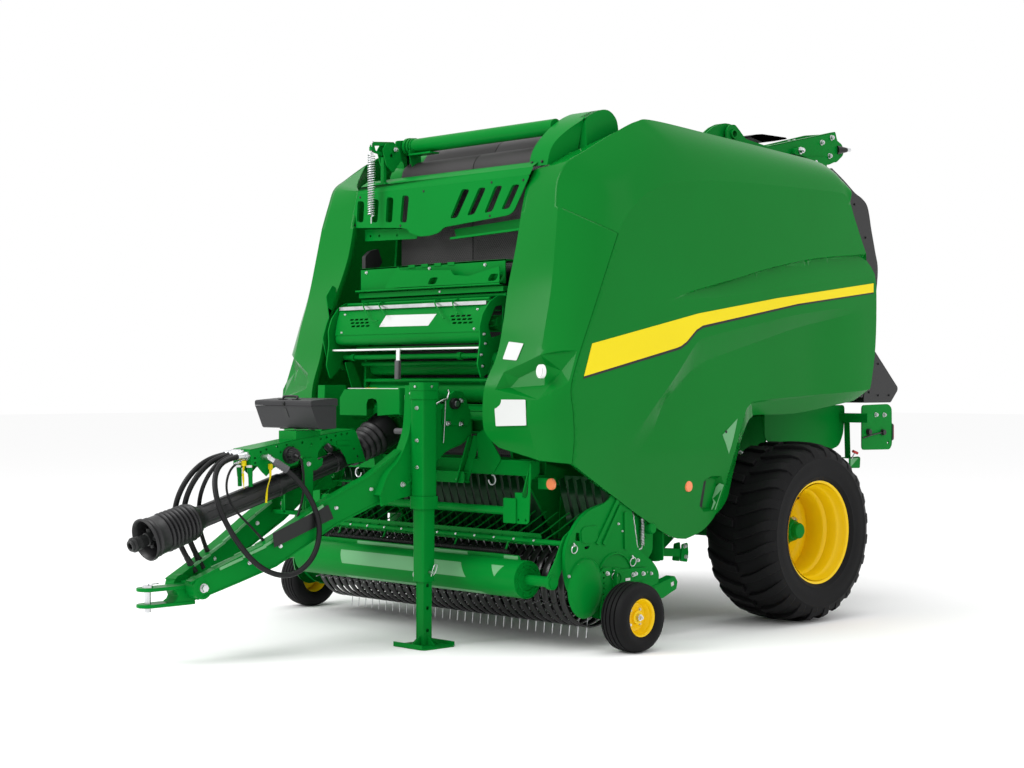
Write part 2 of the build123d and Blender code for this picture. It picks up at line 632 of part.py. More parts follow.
BAND = 5  # sheet of the bands that the tines pass between
BAND_ENDS = (-60, 70)  # degrees, where a band starts below and ends above the reel


def on_reel(radius, angle):
    """Point (y, z) at an angle round the reel's axis."""
    return (REEL[0] + radius * cos(radians(angle)), REEL[1] + radius * sin(radians(angle)))


with BuildPart() as stripper_bands:
    for index in range(TINE_COUNT + 1):
        x = (index - TINE_COUNT / 2) * TINE_PITCH
        outer = [on_reel(BAND_RADIUS, angle) for angle in (BAND_ENDS[0], -180, BAND_ENDS[1])]
        inner = [on_reel(BAND_RADIUS - BAND, angle) for angle in (BAND_ENDS[0], -180, BAND_ENDS[1])]
        with BuildSketch(Plane.YZ.offset(x - 22)) as band:
            with BuildLine():
                ThreePointArc(*outer)
                ThreePointArc(*inner)
                Line(outer[0], inner[0])
                Line(outer[2], inner[2])
            make_face()
            # tail that carries the band on the pickup's cross tube
            with BuildLine():
                Polyline(outer[0], inner[0], (-94, 175), (-94, 169), close=True)
            make_face()
        extrude(band.sketch, amount=44)
    # flat that lies against the pickup's cross tube
    block((-1130, -100, 145), (1130, PICKUP_BAR[0] - 28, 190))
write(stripper_bands, "stripper_bands")

with BuildPart() as tine_reel:
    rod((-1140, *REEL), (1140, *REEL), 25)
    rod((-1090, *REEL), (1090, *REEL), 45)
    for disc_x in (-1070, -360, 360, 1070):
        rod((disc_x - 4, *REEL), (disc_x + 4, *REEL), TINE_BAR_RADIUS + 20)
    for row in range(5):
        turn = radians(row * 72 - 90)
        bar_y = REEL[0] + TINE_BAR_RADIUS * cos(turn)
        bar_z = REEL[1] + TINE_BAR_RADIUS * sin(turn)
        rod((-1080, bar_y, bar_z), (1080, bar_y, bar_z), 14)
        tip_y = REEL[0] + TINE_TIP * cos(turn)
        tip_z = REEL[1] + TINE_TIP * sin(turn)
        across_y, across_z = -3 * sin(turn), 3 * cos(turn)
        with BuildSketch(Plane.YZ) as tine:
            with BuildLine():
                Polyline(
                    (bar_y + across_y, bar_z + across_z), (tip_y + across_y, tip_z + across_z),
                    (tip_y - across_y, tip_z - across_z), (bar_y - across_y, bar_z - across_z), close=True,
                )
            make_face()
        first_x = -TINE_PITCH * (TINE_COUNT - 1) / 2
        with Locations(*[(first_x + index * TINE_PITCH, 0, 0) for index in range(TINE_COUNT)]):
            add(extrude(tine.sketch, amount=3, both=True, mode=Mode.PRIVATE))
write(tine_reel, "tine_reel")

GUARD_PIVOT = (-420, 700)
GUARD_ROLL = (-765, 365)
FINGER_BAR = (-672, 556)
FINGER_TIP = (-400, 690)
with BuildPart() as windguard:
    rod((-900, *GUARD_ROLL), (930, *GUARD_ROLL), 95)
    rod((-1125, *GUARD_ROLL), (1125, *GUARD_ROLL), 28)
    for side, sign in SIDES:
        arm = [(-420, 728), (-680, 592), (-795, 390), (-795, 340), (-740, 340), (-640, 530), (-400, 675)]
        plate(arm, sign * 1110, 10)
        rod((sign * 1100, *GUARD_PIVOT), (sign * 1134, *GUARD_PIVOT), 22)
    rod((-1110, *FINGER_BAR), (1110, *FINGER_BAR), 14)
    for index in range(24):
        x = (index - 11.5) * 84
        rod((x, *FINGER_BAR), (x, *FINGER_TIP), 4)
write(windguard, "windguard")

with BuildPart() as gauge_arms:
    for side, sign in SIDES:
        block((sign * 1145.5, GAUGE_Y - 60, 150), (sign * 1200, GAUGE_Y + 40, 420))
        block((sign * 1145.5, GAUGE_Y + 40, 330), (sign * 1190, -80, 400))
        rod((sign * 1190, GAUGE_Y, GAUGE_Z), (sign * 1330, GAUGE_Y, GAUGE_Z), GAUGE_AXLE)
write(gauge_arms, "gauge_arms")

# rim, disc, inner boss and hub cap, each an (x, radius) profile of the left wheel
GAUGE_RIM_PROFILES = [
    [(-60, 80), (60, 80), (60, GAUGE_RIM_RADIUS), (-60, GAUGE_RIM_RADIUS)],
    [(5, 0), (15, 0), (15, 82), (5, 82)],
    [(-70, GAUGE_AXLE + 0.05), (8, GAUGE_AXLE + 0.05), (8, 30), (-70, 30)],
    [(10, 0), (45, 0), (45, 24), (10, 30)],
]

for side, sign in SIDES:
    with BuildPart() as gauge_rim:
        centre = (sign * GAUGE_X, GAUGE_Y, GAUGE_Z)
        for profile in GAUGE_RIM_PROFILES:
            turned([(sign * x, radius) for x, radius in profile], centre)
        bore_end = (sign * (GAUGE_X - 10), GAUGE_Y, GAUGE_Z)
        rod((sign * (GAUGE_X - 80), GAUGE_Y, GAUGE_Z), bore_end, GAUGE_AXLE + 0.05, mode=Mode.SUBTRACT)
    write(gauge_rim, f"gauge_rim_{side}")

    with BuildPart() as gauge_tyre:
        half = GAUGE_WIDTH / 2
        outline = [
            (-60, 89), (60, 89), (half, 115), (half, 150), (half - 18, 172), (30, GAUGE_RADIUS),
            (-30, GAUGE_RADIUS), (18 - half, 172), (-half, 150), (-half, 115),
        ]
        turned([(sign * x, radius) for x, radius in outline], centre)
    write(gauge_tyre, f"gauge_tyre_{side}")

# ---- main wheels --------------------------------------------------------------------
LUG = 22  # height of the tread's lugs
LUG_COUNT = 20  # lugs in each of the tread's two rows
# rim barrel and disc, then the hub, as (x, radius) profiles of the left wheel
RIM_PROFILES = [
    [(-205, 268), (205, 268), (205, RIM_RADIUS), (-205, RIM_RADIUS)],
    [(30, HUB_RADIUS + 1), (44, HUB_RADIUS + 1), (80, 275), (62, 275)],
]
HUB_PROFILE = [
    (-100, 0), (150, 0), (150, 45), (100, 80), (44, HUB_RADIUS), (-60, HUB_RADIUS), (-100, 90),
]
for side, sign in SIDES:
    centre = (sign * TRACK, AXLE_Y, AXLE_Z)
    with BuildPart() as main_rim:
        for profile in RIM_PROFILES:
            turned([(sign * x, radius) for x, radius in profile], centre)
    write(main_rim, f"main_rim_{side}")

    with BuildPart() as wheel_hub:
        turned([(sign * x, radius) for x, radius in HUB_PROFILE], centre)
        bore_end = (sign * (TRACK - 30), AXLE_Y, AXLE_Z)
        rod((sign * (TRACK - 110), AXLE_Y, AXLE_Z), bore_end, STUB + 0.05, mode=Mode.SUBTRACT)
    write(wheel_hub, f"wheel_hub_{side}")

    with BuildPart() as main_tyre:
        half = TYRE_WIDTH / 2
        casing = TYRE_RADIUS - LUG
        outline = [
            (-205, RIM_RADIUS + 1), (205, RIM_RADIUS + 1), (half, 350), (half, 430), (half - 20, 468),
            (160, casing - 10), (60, casing), (-60, casing), (-160, casing - 10), (20 - half, 468),
            (-half, 430), (-half, 350),
        ]
        turned([(sign * x, radius) for x, radius in outline], centre)
        for row, skew in ((1, 24), (-1, -24)):
            for index in range(LUG_COUNT):
                turn = 360 / LUG_COUNT * (index + row * 0.25)
                with Locations(Location(centre) * Location((0, 0, 0), (turn, 0, 0))):
                    with Locations(Location((row * 108, 0, casing + LUG / 2 - 12), (0, row * 4, skew))):
                        Box(200, 52, LUG + 8)
    write(main_tyre, f"main_tyre_{side}")

# ---- rear gate ----------------------------------------------------------------------
GATE_ARM = [
    (1120, 2850), (1180, 2945), (1280, 2950), (1360, 2880), (2190, 3000), (2300, 2960), (2310, 2810),
    (2150, 2770), (1380, 2800), (1230, 2800),
]
GATE_ARM_X = 680
with BuildPart() as gate_arms:
    for side, sign in SIDES:
        plate(GATE_ARM, sign * GATE_ARM_X, 16)
        rod((sign * 660, *GATE_PIVOT), (sign * 720, *GATE_PIVOT), 30.05, mode=Mode.SUBTRACT)
        # drop plate that carries the rear curtain
        plate([(1900, 2820), (2160, 2820), (2150, 2511), (2050, 2558)], sign * (GATE_ARM_X + 15), 14)
    rod((-GATE_ARM_X, 1700, 2830), (GATE_ARM_X, 1700, 2830), 35)
write(gate_arms, "gate_arms")

with BuildPart() as gate_roller:
    rod((-671, 2240, 2870), (671, 2240, 2870), 55)
write(gate_roller, "gate_roller")

CURTAIN_HALF = 1000
CURTAIN = [(1800, 2695), (2042, 2560), (2182, 2494), (2293, 2091), (2215, 1640), (2130, 1290)]
CURTAIN_INNER = [(2040, 1290), (2020, 1960), (1940, 2280), (1760, 2660)]
with BuildPart() as rear_curtain:
    with BuildSketch(Plane.YZ) as sheet:
        with BuildLine():
            Polyline([*CURTAIN, *[(y - 14, z - 4) for y, z in reversed(CURTAIN)]], close=True)
        make_face()
    extrude(sheet.sketch, amount=CURTAIN_HALF, both=True)
    for side, sign in SIDES:
        plate([*CURTAIN, *CURTAIN_INNER], sign * (CURTAIN_HALF - 5), 10)
write(rear_curtain, "rear_curtain")

FLAP = [(2222, 1616), (2518, 1351), (2439, 1252), (2142, 1252), (2142, 1290)]
FLAP_HOLLOW = [(2225, 1590), (2495, 1350), (2430, 1266), (2160, 1266), (2160, 1290)]
with BuildPart() as gate_flap:
    plate(FLAP, 0, 2 * CURTAIN_HALF)
    plate(FLAP_HOLLOW, 0, 1940, mode=Mode.SUBTRACT)
write(gate_flap, "gate_flap")

with BuildPart() as rear_beam:
    block((-1080, 2060, 1130), (1080, 2120, 1190))
    for side, sign in SIDES:
        beam((sign * 640, 2100, 1160), (sign * 640, 1700, 1160), 40, 60)
        block((sign * 617.5, 1640, 1100), (sign * 650, 1760, 1250))
        # plates that carry the tail lamps
        plate([(2115, 1240), (2400, 1245), (2440, 955), (2115, 960)], sign * 1000, 8)
        block((sign * 996, 2436, 1000), (sign * 1070, 2448, 1130))
write(rear_beam, "rear_beam")

with BuildPart() as tail_lamps:
    for side, sign in SIDES:
        block((sign * 1028 - 38, 2448.5, 1010), (sign * 1028 + 38, 2475, 1120))
write(tail_lamps, "tail_lamps")
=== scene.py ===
"""Round baler, dressed on its CAD frame.

+X is the baler's left side, -Y its front (the hitch) and +Z up; metres. Each section builds
one piece or one group of pieces, with its own sizes, material, mesh and fixing.
"""
import json
from math import cos, pi, radians, sin, sqrt

import bmesh
import bpy
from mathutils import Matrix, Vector
from mathutils.geometry import delaunay_2d_cdt


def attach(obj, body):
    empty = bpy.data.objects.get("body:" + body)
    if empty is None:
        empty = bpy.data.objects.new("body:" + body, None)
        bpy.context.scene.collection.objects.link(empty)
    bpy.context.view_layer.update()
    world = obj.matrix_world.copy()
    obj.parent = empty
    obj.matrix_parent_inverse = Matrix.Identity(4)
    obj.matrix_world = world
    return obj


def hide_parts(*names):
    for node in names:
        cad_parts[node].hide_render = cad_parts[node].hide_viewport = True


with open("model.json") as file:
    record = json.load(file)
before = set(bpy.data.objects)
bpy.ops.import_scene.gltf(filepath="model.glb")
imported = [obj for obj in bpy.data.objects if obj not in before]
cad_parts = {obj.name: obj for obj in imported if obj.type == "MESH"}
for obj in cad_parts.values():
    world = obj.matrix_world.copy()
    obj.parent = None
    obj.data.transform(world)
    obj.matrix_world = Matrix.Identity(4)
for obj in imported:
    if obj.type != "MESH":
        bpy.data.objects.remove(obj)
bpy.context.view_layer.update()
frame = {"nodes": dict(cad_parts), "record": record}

# ---- camera ---------------------------------------------------------------------------
# A long lens at eye height, off the baler's front left corner.
camera = bpy.data.objects.new("camera", bpy.data.cameras.new("camera"))
camera.data.lens = 63.17
camera.data.shift_y = 0.006
camera.data.clip_end = 200
camera.location = (7.506, -7.302, 1.3925)
camera.rotation_euler = (radians(89.7), 0, radians(45.65))
bpy.context.scene.collection.objects.link(camera)
bpy.context.scene.camera = camera
bpy.context.scene.view_settings.view_transform = "Standard"

# ---- floor and light ------------------------------------------------------------------
# A plain pale studio floor that runs out into a pale surround, one big soft light over the
# front, a weaker one from the left and a strip that draws a highlight along the top.
def dial(node, values):
    """Set a shader node's inputs by name."""
    for name, value in values.items():
        node.inputs[name].default_value = value


floor_mesh = bpy.data.meshes.new("floor")
floor_mesh.from_pydata([(-60, -60, 0), (60, -60, 0), (60, 60, 0), (-60, 60, 0)], [], [(0, 1, 2, 3)])
floor = bpy.data.objects.new("floor", floor_mesh)
bpy.context.scene.collection.objects.link(floor)
floor_paint = bpy.data.materials.new("floor")
floor_paint.use_nodes = True
dial(floor_paint.node_tree.nodes["Principled BSDF"], {
    "Base Color": (0.96, 0.96, 0.96, 1), "Roughness": 0.9, "Specular IOR Level": 0.0,
})
floor_mesh.materials.append(floor_paint)

world = bpy.data.worlds.new("studio")
world.use_nodes = True
dial(world.node_tree.nodes["Background"], {"Color": (1, 1, 1, 1), "Strength": 1.0})
bpy.context.scene.world = world
for name, place, aim, size, power in (
    ("key", (-2.5, -8.5, 7.5), (0, -0.5, 1.2), 5.0, 560),
    ("side", (9.5, 1.5, 6.5), (0.5, 0.6, 1.4), 4.0, 40),
    ("top", (0.5, 1.5, 9.0), (0, 0.4, 1.0), 5.5, 220),
):
    light = bpy.data.objects.new(name, bpy.data.lights.new(name, "AREA"))
    light.data.size = size
    light.data.energy = power
    light.location = place
    light.rotation_euler = (Vector(aim) - Vector(place)).to_track_quat("-Z", "Y").to_euler()
    bpy.context.scene.collection.objects.link(light)


# ---- paints and bare metals -----------------------------------------------------------
# Every surface is a node material: a slow drift of colour, a fine grain in its gloss and
# its relief. They are laid on the CAD nodes first; the pieces below take them too.
def finish_of(name, colour, shade, roughness, specular=0.3, metallic=0.0, grain=600.0, relief=0.04, drift=1.4):
    """Principled material whose colour drifts between colour and shade, with a fine grain."""
    material = bpy.data.materials.new(name)
    material.use_nodes = True
    material.diffuse_color = (*colour, 1)
    nodes, links = material.node_tree.nodes, material.node_tree.links
    shader = nodes["Principled BSDF"]
    place = nodes.new("ShaderNodeTexCoord")
    broad = nodes.new("ShaderNodeTexNoise")
    dial(broad, {"Scale": drift, "Detail": 3})
    tint = nodes.new("ShaderNodeValToRGB")
    for stop, position, paint in zip(tint.color_ramp.elements, (0.3, 0.7), (shade, colour)):
        stop.position = position
        stop.color = (*paint, 1)
    fine = nodes.new("ShaderNodeTexNoise")
    dial(fine, {"Scale": grain, "Detail": 2})
    gloss = nodes.new("ShaderNodeMapRange")
    dial(gloss, {"To Min": roughness * 0.8, "To Max": min(1.0, roughness * 1.2)})
    bump = nodes.new("ShaderNodeBump")
    dial(bump, {"Strength": relief, "Distance": 0.002})
    for start, outlet, end, inlet in (
        (place, "Object", broad, "Vector"), (place, "Object", fine, "Vector"), (broad, "Fac", tint, "Fac"),
        (tint, "Color", shader, "Base Color"), (fine, "Fac", gloss, "Value"), (gloss, "Result", shader, "Roughness"),
        (fine, "Fac", bump, "Height"), (bump, "Normal", shader, "Normal"),
    ):
        links.new(start.outputs[outlet], end.inputs[inlet])
    dial(shader, {"Metallic": metallic, "Specular IOR Level": specular})
    return material


green = finish_of("green enamel", (0.001, 0.2, 0.024), (0.001, 0.175, 0.02), 0.32, specular=0.05, relief=0.015)
yellow = finish_of("yellow enamel", (0.9, 0.6, 0.003), (0.84, 0.55, 0.003), 0.33, specular=0.25, relief=0.02)
film_yellow = finish_of("yellow film", (0.84, 0.68, 0.008), (0.8, 0.64, 0.007), 0.35, specular=0.15, relief=0.01)
rubber = finish_of("tyre rubber", (0.005, 0.005, 0.0055), (0.003, 0.003, 0.0035), 0.62, specular=0.16, grain=350, relief=0.25)
belting = finish_of("belt rubber", (0.028, 0.028, 0.029), (0.018, 0.018, 0.019), 0.6, grain=300, relief=0.2)
plastic = finish_of("black plastic", (0.012, 0.012, 0.013), (0.008, 0.008, 0.009), 0.42, specular=0.4, grain=900, relief=0.12)
zinc = finish_of("zinc plate", (0.72, 0.73, 0.74), (0.55, 0.56, 0.58), 0.32, metallic=1.0, grain=500, relief=0.08, drift=18)
dark_steel = finish_of("black paint", (0.014, 0.015, 0.015), (0.009, 0.01, 0.01), 0.4, grain=500, relief=0.1)
hose_rubber = finish_of(
    "hose rubber", (0.006, 0.006, 0.0065), (0.004, 0.004, 0.0045), 0.42, specular=0.25, grain=700, relief=0.15
)
red_lens = finish_of("red lens", (0.55, 0.008, 0.006), (0.42, 0.005, 0.004), 0.15, specular=0.5, grain=200, relief=0.1)
# Pale green that stands for light on green paint: painted highlights and reflections on the shields, drawbar tabs, step
# bracket and wind guard.
painted_highlight_green = finish_of("painted highlight green", (0.15, 0.39, 0.18), (0.13, 0.35, 0.16), 0.42, specular=0.15)
amber_lens = finish_of("amber lens", (0.92, 0.3, 0.12), (0.84, 0.22, 0.08), 0.2, specular=0.5, grain=260, relief=0.3)
white_lens = finish_of("white lens", (0.85, 0.86, 0.85), (0.78, 0.79, 0.78), 0.2, specular=0.5, grain=260, relief=0.3)
box_grey = finish_of(
    "moulded box grey", (0.026, 0.026, 0.028), (0.02, 0.02, 0.022), 0.5, specular=0.25, grain=1100, relief=0.12
)
grip_grey = finish_of("grey grip", (0.11, 0.11, 0.115), (0.08, 0.08, 0.084), 0.5, grain=500, relief=0.15)
blank_label = finish_of("blank label film", (0.66, 0.67, 0.66), (0.6, 0.61, 0.6), 0.45, grain=900, relief=0.05)

SLOT_FINISH = {
    "green_paint": green, "yellow_paint": yellow, "tyre_rubber": rubber, "belt_rubber": belting,
    "black_plastic": plastic, "zinc_steel": zinc, "dark_steel": dark_steel, "red_lens": red_lens,
    "hose_rubber": hose_rubber,
}
NODE_SLOT = {entry["node"]: entry["material_slot"] for entry in frame["record"]["subparts"]}
for node, cad in frame["nodes"].items():
    cad.data.materials.clear()
    cad.data.materials.append(SLOT_FINISH[NODE_SLOT[node]])

# ---- hydraulic hoses ------------------------------------------------------------------
# Four pressure hoses and a thin one that leave the bracket's front, swing out ahead of the
# drive shaft and drop to fittings on the drawbar; the left one loops back into the bracket.
HOSE_ROUTES = {  # length and diameter in metres, then points in millimetres
    "hose_left_loop": (1.713, 0.028, [
        (50, -1915, 1010), (52, -2022, 1006), (84, -2122, 930), (158, -2152, 780), (234, -2100, 608), (274, -1975, 455),
        (290, -1800, 402), (293, -1655, 486), (284, -1600, 640), (248, -1636, 796), (186, -1704, 918), (132, -1785, 984),
    ]),
    "hose_front_outer": (0.729, 0.028, [
        (-58, -1915, 1020), (-66, -2018, 1012), (-98, -2128, 935), (-128, -2195, 810), (-142, -2207, 680), (-128, -2180, 565),
        (-100, -2138, 478),
    ]),
    "hose_front_middle": (0.694, 0.028, [
        (-22, -1915, 1020), (-30, -2014, 1010), (-60, -2110, 932), (-94, -2166, 812), (-114, -2168, 690), (-112, -2132, 585),
        (-104, -2085, 494),
    ]),
    "hose_front_inner": (0.634, 0.022, [
        (8, -1915, 1020), (6, -2008, 1004), (-18, -2078, 930), (-64, -2104, 815), (-98, -2086, 690), (-120, -2052, 600),
        (-132, -2010, 526),
    ]),
    "hose_thin": (0.497, 0.012, [
        (28, -1915, 982), (32, -1965, 968), (46, -2015, 905), (64, -2030, 830), (86, -2008, 760), (112, -1970, 705),
        (136, -1925, 655), (152, -1882, 602),
    ]),
}
for node, (length, diameter, route) in HOSE_ROUTES.items():
    curve = bpy.data.curves.new(f"{node}_tube", "CURVE")
    curve.dimensions = "3D"
    curve.bevel_depth = diameter / 2
    curve.bevel_resolution = 5
    curve.resolution_u = 10
    spline = curve.splines.new("NURBS")
    spline.points.add(len(route) - 1)
    for knot, point in zip(spline.points, route):
        knot.co = (*(value / 1000 for value in point), 1)
    spline.order_u = 3
    spline.use_endpoint_u = True
    curve.materials.append(hose_rubber)
    tube = bpy.data.objects.new(f"{node}_tube", curve)
    bpy.context.scene.collection.objects.link(tube)
    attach(tube, "chassis")
    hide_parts(node)


# ---- side shields ---------------------------------------------------------------------
# One moulded shell a side: a flat panel with pressed-in swooshes inside a curved crease, a
# band that rolls from the crease to the front edge and over to the roof, and a turned-in
# flange round the wheel arch. Gloss green plastic; the rear part swings on the door's pins.
def vertices(bm, points):
    """New vertices at points."""
    return [bm.verts.new(point) for point in points]


def add_strip(bm, rows, finish=0, close=False):
    """Quads between rows of points, each row as long as the next."""
    made = [vertices(bm, row) for row in rows]
    for lower, upper in zip(made, made[1:]):
        count = len(lower)
        for i in range(count if close else count - 1):
            corners = [lower[i], lower[(i + 1) % count], upper[(i + 1) % count], upper[i]]
            bm.faces.new(corners).material_index = finish
    return made


def piece_of(name, bm, body, finishes, replaced=(), bevel=0.0, angle=35, outward=None):
    """Object from a bmesh, riding a body and standing for CAD nodes."""
    mesh = bpy.data.meshes.new(name)
    bmesh.ops.remove_doubles(bm, verts=bm.verts, dist=0.00005)
    bmesh.ops.recalc_face_normals(bm, faces=bm.faces)
    if outward and sum(face.normal.dot(outward) * face.calc_area() for face in bm.faces) < 0:
        bmesh.ops.reverse_faces(bm, faces=bm.faces)
    bm.to_mesh(mesh)
    bm.free()
    for finish in finishes:
        mesh.materials.append(finish)
    mesh.polygons.foreach_set("use_smooth", [True] * len(mesh.polygons))
    mesh.set_sharp_from_angle(angle=radians(angle))
    obj = bpy.data.objects.new(name, mesh)
    bpy.context.scene.collection.objects.link(obj)
    if bevel:
        edge = obj.modifiers.new("edge", "BEVEL")
        edge.width = bevel
        edge.segments = 2
        edge.limit_method = "ANGLE"
        edge.angle_limit = radians(angle)
        edge.harden_normals = True
    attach(obj, body)
    if replaced:
        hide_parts(*replaced)
    return obj


def thicken(sheet):
    """Give a sheet the wall of a moulding, inward from its face."""
    wall = sheet.modifiers.new("shell", "SOLIDIFY")
    wall.thickness = 0.006
    wall.offset = -1


def along(line, t):
    """Point at share t of a line's points, evenly by point."""
    step = min(int(t * (len(line) - 1)), len(line) - 2)
    part = t * (len(line) - 1) - step
    return tuple(a + (b - a) * part for a, b in zip(line[step], line[step + 1]))


def eased(line, each=6):
    """Points of a smooth curve through a line's points."""
    made = []
    padded = [line[0], *line, line[-1]]
    for a, b, c, d in zip(padded, padded[1:], padded[2:], padded[3:]):
        for i in range(each):
            t = i / each
            made.append(tuple(
                0.5 * (2 * q + (r - p) * t + (2 * p - 5 * q + 4 * r - s) * t**2 + (3 * q - p - 3 * r + s) * t**3)
                for p, q, r, s in zip(a, b, c, d)
            ))
    return made + [tuple(line[-1])]


def height_at(line, y):
    """z of a line of (y, z) points at y, held level past its ends."""
    if y <= line[0][0]:
        return line[0][1]
    for (y0, z0), (y1, z1) in zip(line, line[1:]):
        if y <= y1:
            return z0 + (z1 - z0) * (y - y0) / (y1 - y0)
    return line[-1][1]


def inside(point, outline):
    """Whether a (y, z) point lies in a closed outline."""
    y, z = point
    hit = False
    for (y0, z0), (y1, z1) in zip(outline, outline[1:] + outline[:1]):
        if (z0 > z) != (z1 > z) and y < (y1 - y0) * (z - z0) / (z1 - z0) + y0:
            hit = not hit
    return hit


def ramp(value, low, high):
    """0 below low, 1 above high, smooth between."""
    t = min(1.0, max(0.0, (value - low) / (high - low)))
    return t * t * (3 - 2 * t)


SIDES = (("left", 1), ("right", -1))
SHIELD_X = 1.198
# the flat panel's edge, from the foot of the seam up and over to the rear, as (y, z)
SEAM = [
    (-0.679, 0.968), (-0.674, 1.09), (-0.686, 1.236), (-0.7, 1.36), (-0.642, 1.525), (-0.56, 1.705),
    (-0.478, 1.885), (-0.395, 2.068), (-0.353, 2.161),
]
CREST = [
    (-0.353, 2.161), (-0.311, 2.231), (-0.243, 2.304), (-0.14, 2.38), (0.0, 2.436), (0.179, 2.473),
    (0.4, 2.493), (0.785, 2.508), (1.296, 2.515), (1.598, 2.517), (1.675, 2.503), (1.72, 2.469),
]
REAR = [
    (1.72, 2.469), (1.776, 2.361), (1.89, 2.171), (1.99, 2.045), (2.006, 1.844), (1.995, 1.605),
    (1.962, 1.43), (1.94, 1.352),
]
ARCH = [
    (1.94, 1.352), (1.87, 1.333), (1.364, 1.307), (0.858, 1.278), (0.782, 1.258), (0.732, 1.215),
    (0.662, 1.09), (0.589, 0.905), (0.538, 0.745), (0.487, 0.64), (0.386, 0.565), (0.25, 0.527),
]
FOOT = [(0.25, 0.527), (0.119, 0.548), (-0.113, 0.66), (-0.35, 0.786), (-0.52, 0.878), (-0.679, 0.968)]
# pressed lines: the upper swoosh's two edges and the band below the stripe, as (y, z)
SWOOSH_TOP = [(0.0, 1.801), (0.216, 1.876), (0.59, 1.959), (0.985, 2.049), (1.403, 2.118), (1.905, 2.165)]
SWOOSH_LOW = [(0.0, 1.797), (0.234, 1.835), (0.476, 1.855), (0.785, 1.889), (1.191, 1.941), (1.621, 1.995), (2.0, 2.037)]
BAND_TOP = [
    (-0.34, 0.95), (-0.139, 1.186), (0.09, 1.404), (0.255, 1.578), (0.31, 1.617), (0.401, 1.641), (0.785, 1.709),
    (1.192, 1.777), (1.6, 1.822), (1.9, 1.832)
]
BAND_LOW = [
    (-0.25, 0.94), (-0.052, 1.15), (0.036, 1.276), (0.253, 1.44), (0.382, 1.5), (0.687, 1.575), (1.192, 1.695), (1.512, 1.753),
    (1.9, 1.828)
]
SWOOSH_DEPTH = 0.03
BAND_DEPTH = 0.03
# edge and depth of the hand pull's recess behind the arch's corner, as (y, z)
PULL = [(0.371, 0.846), (0.44, 0.866), (0.52, 0.862), (0.545, 0.818), (0.474, 0.668), (0.388, 0.668), (0.35, 0.705)]
PULL_DEPTH = 0.034


def scaled(outline, share):
    """Outline drawn in towards its middle by share."""
    y, z = (sum(point[i] for point in outline) / len(outline) for i in (0, 1))
    return [(y + (a - y) * share, z + (b - z) * share) for a, b in outline]


def shield_x(y, z):
    """Outer surface of the flat panel: a slight crown with the pressed swooshes."""
    x = SHIELD_X - 0.055 * ramp(1.22 - z, 0, 0.75) - 0.012 * ((y - 0.6) / 1.3) ** 2
    top, low = height_at(SWOOSH_TOP, y), height_at(SWOOSH_LOW, y)
    if low < z < top and y > 0:
        x -= SWOOSH_DEPTH * ramp(y, 0, 0.5) * min((z - low) / max(top - low, 0.001), (top - z) / 0.01, 1)
    top, low = height_at(BAND_TOP, y), height_at(BAND_LOW, y)
    fade = BAND_DEPTH * ramp(z, 0.98, 1.3) * (1 - ramp(y, 1.3, 1.9))
    if z < top:
        x -= fade * min(1, (top - z) / max(top - low, 0.001))
    if 0.3 < y < 0.6 and 0.6 < z < 0.9:  # recess of the hand pull behind the arch's corner
        x -= PULL_DEPTH * (0.5 * inside((y, z), scaled(PULL, 0.97)) + 0.5 * inside((y, z), scaled(PULL, 0.84)))
    return x


# the roof line and front edge of the shell, matched point by point with seam and crest
FRONT_CREASE = [
    (1.05, -0.8, 0.985), (1.035, -0.832, 1.09), (1.03, -0.852, 1.19), (1.028, -0.82, 1.36), (1.028, -0.768, 1.525),
    (1.026, -0.722, 1.705), (1.015, -0.672, 1.885), (1.0, -0.63, 2.1), (0.985, -0.594, 2.3),
]
ROOF_LINE = [
    (0.985, -0.594, 2.3), (0.965, -0.56, 2.44), (0.985, -0.5, 2.545), (1.01, -0.393, 2.612), (1.04, -0.208, 2.719),
    (1.055, -0.06, 2.788), (1.06, 0.072, 2.806), (1.06, 0.571, 2.777), (1.06, 1.168, 2.739), (1.06, 1.595, 2.705),
    (1.085, 1.7, 2.64), (1.14, 1.76, 2.56),
]
FRONT_INNER = [
    (0.8, -0.84, 1.045), (0.735, -0.868, 1.11), (0.72, -0.882, 1.19), (0.722, -0.87, 1.36), (0.742, -0.8, 1.525),
    (0.745, -0.755, 1.705), (0.722, -0.7, 1.885), (0.705, -0.625, 2.1), (0.703, -0.58, 2.3),
]
shield_green = finish_of(
    "shield green", (0.001, 0.172, 0.018), (0.001, 0.16, 0.016), 0.2, specular=0.1, grain=900, relief=0.008
)
DOOR_GAP = 0.004
ROLL = 0.0144  # how far the rolled band swells past a straight line
PRESSING = [  # rim and floor of the corner's recess, as (share across, station up)
    [(0.23, 2.92), (0.3, 3.46), (1.02, 4.0), (1.92, 4.12), (1.92, 3.17), (1.18, 2.62)],
    [(0.47, 2.98), (0.6, 3.28), (1.12, 3.7), (1.58, 3.52), (1.2, 3.06)],
]
PRESSED = 0.045
SPREAD = 0.45
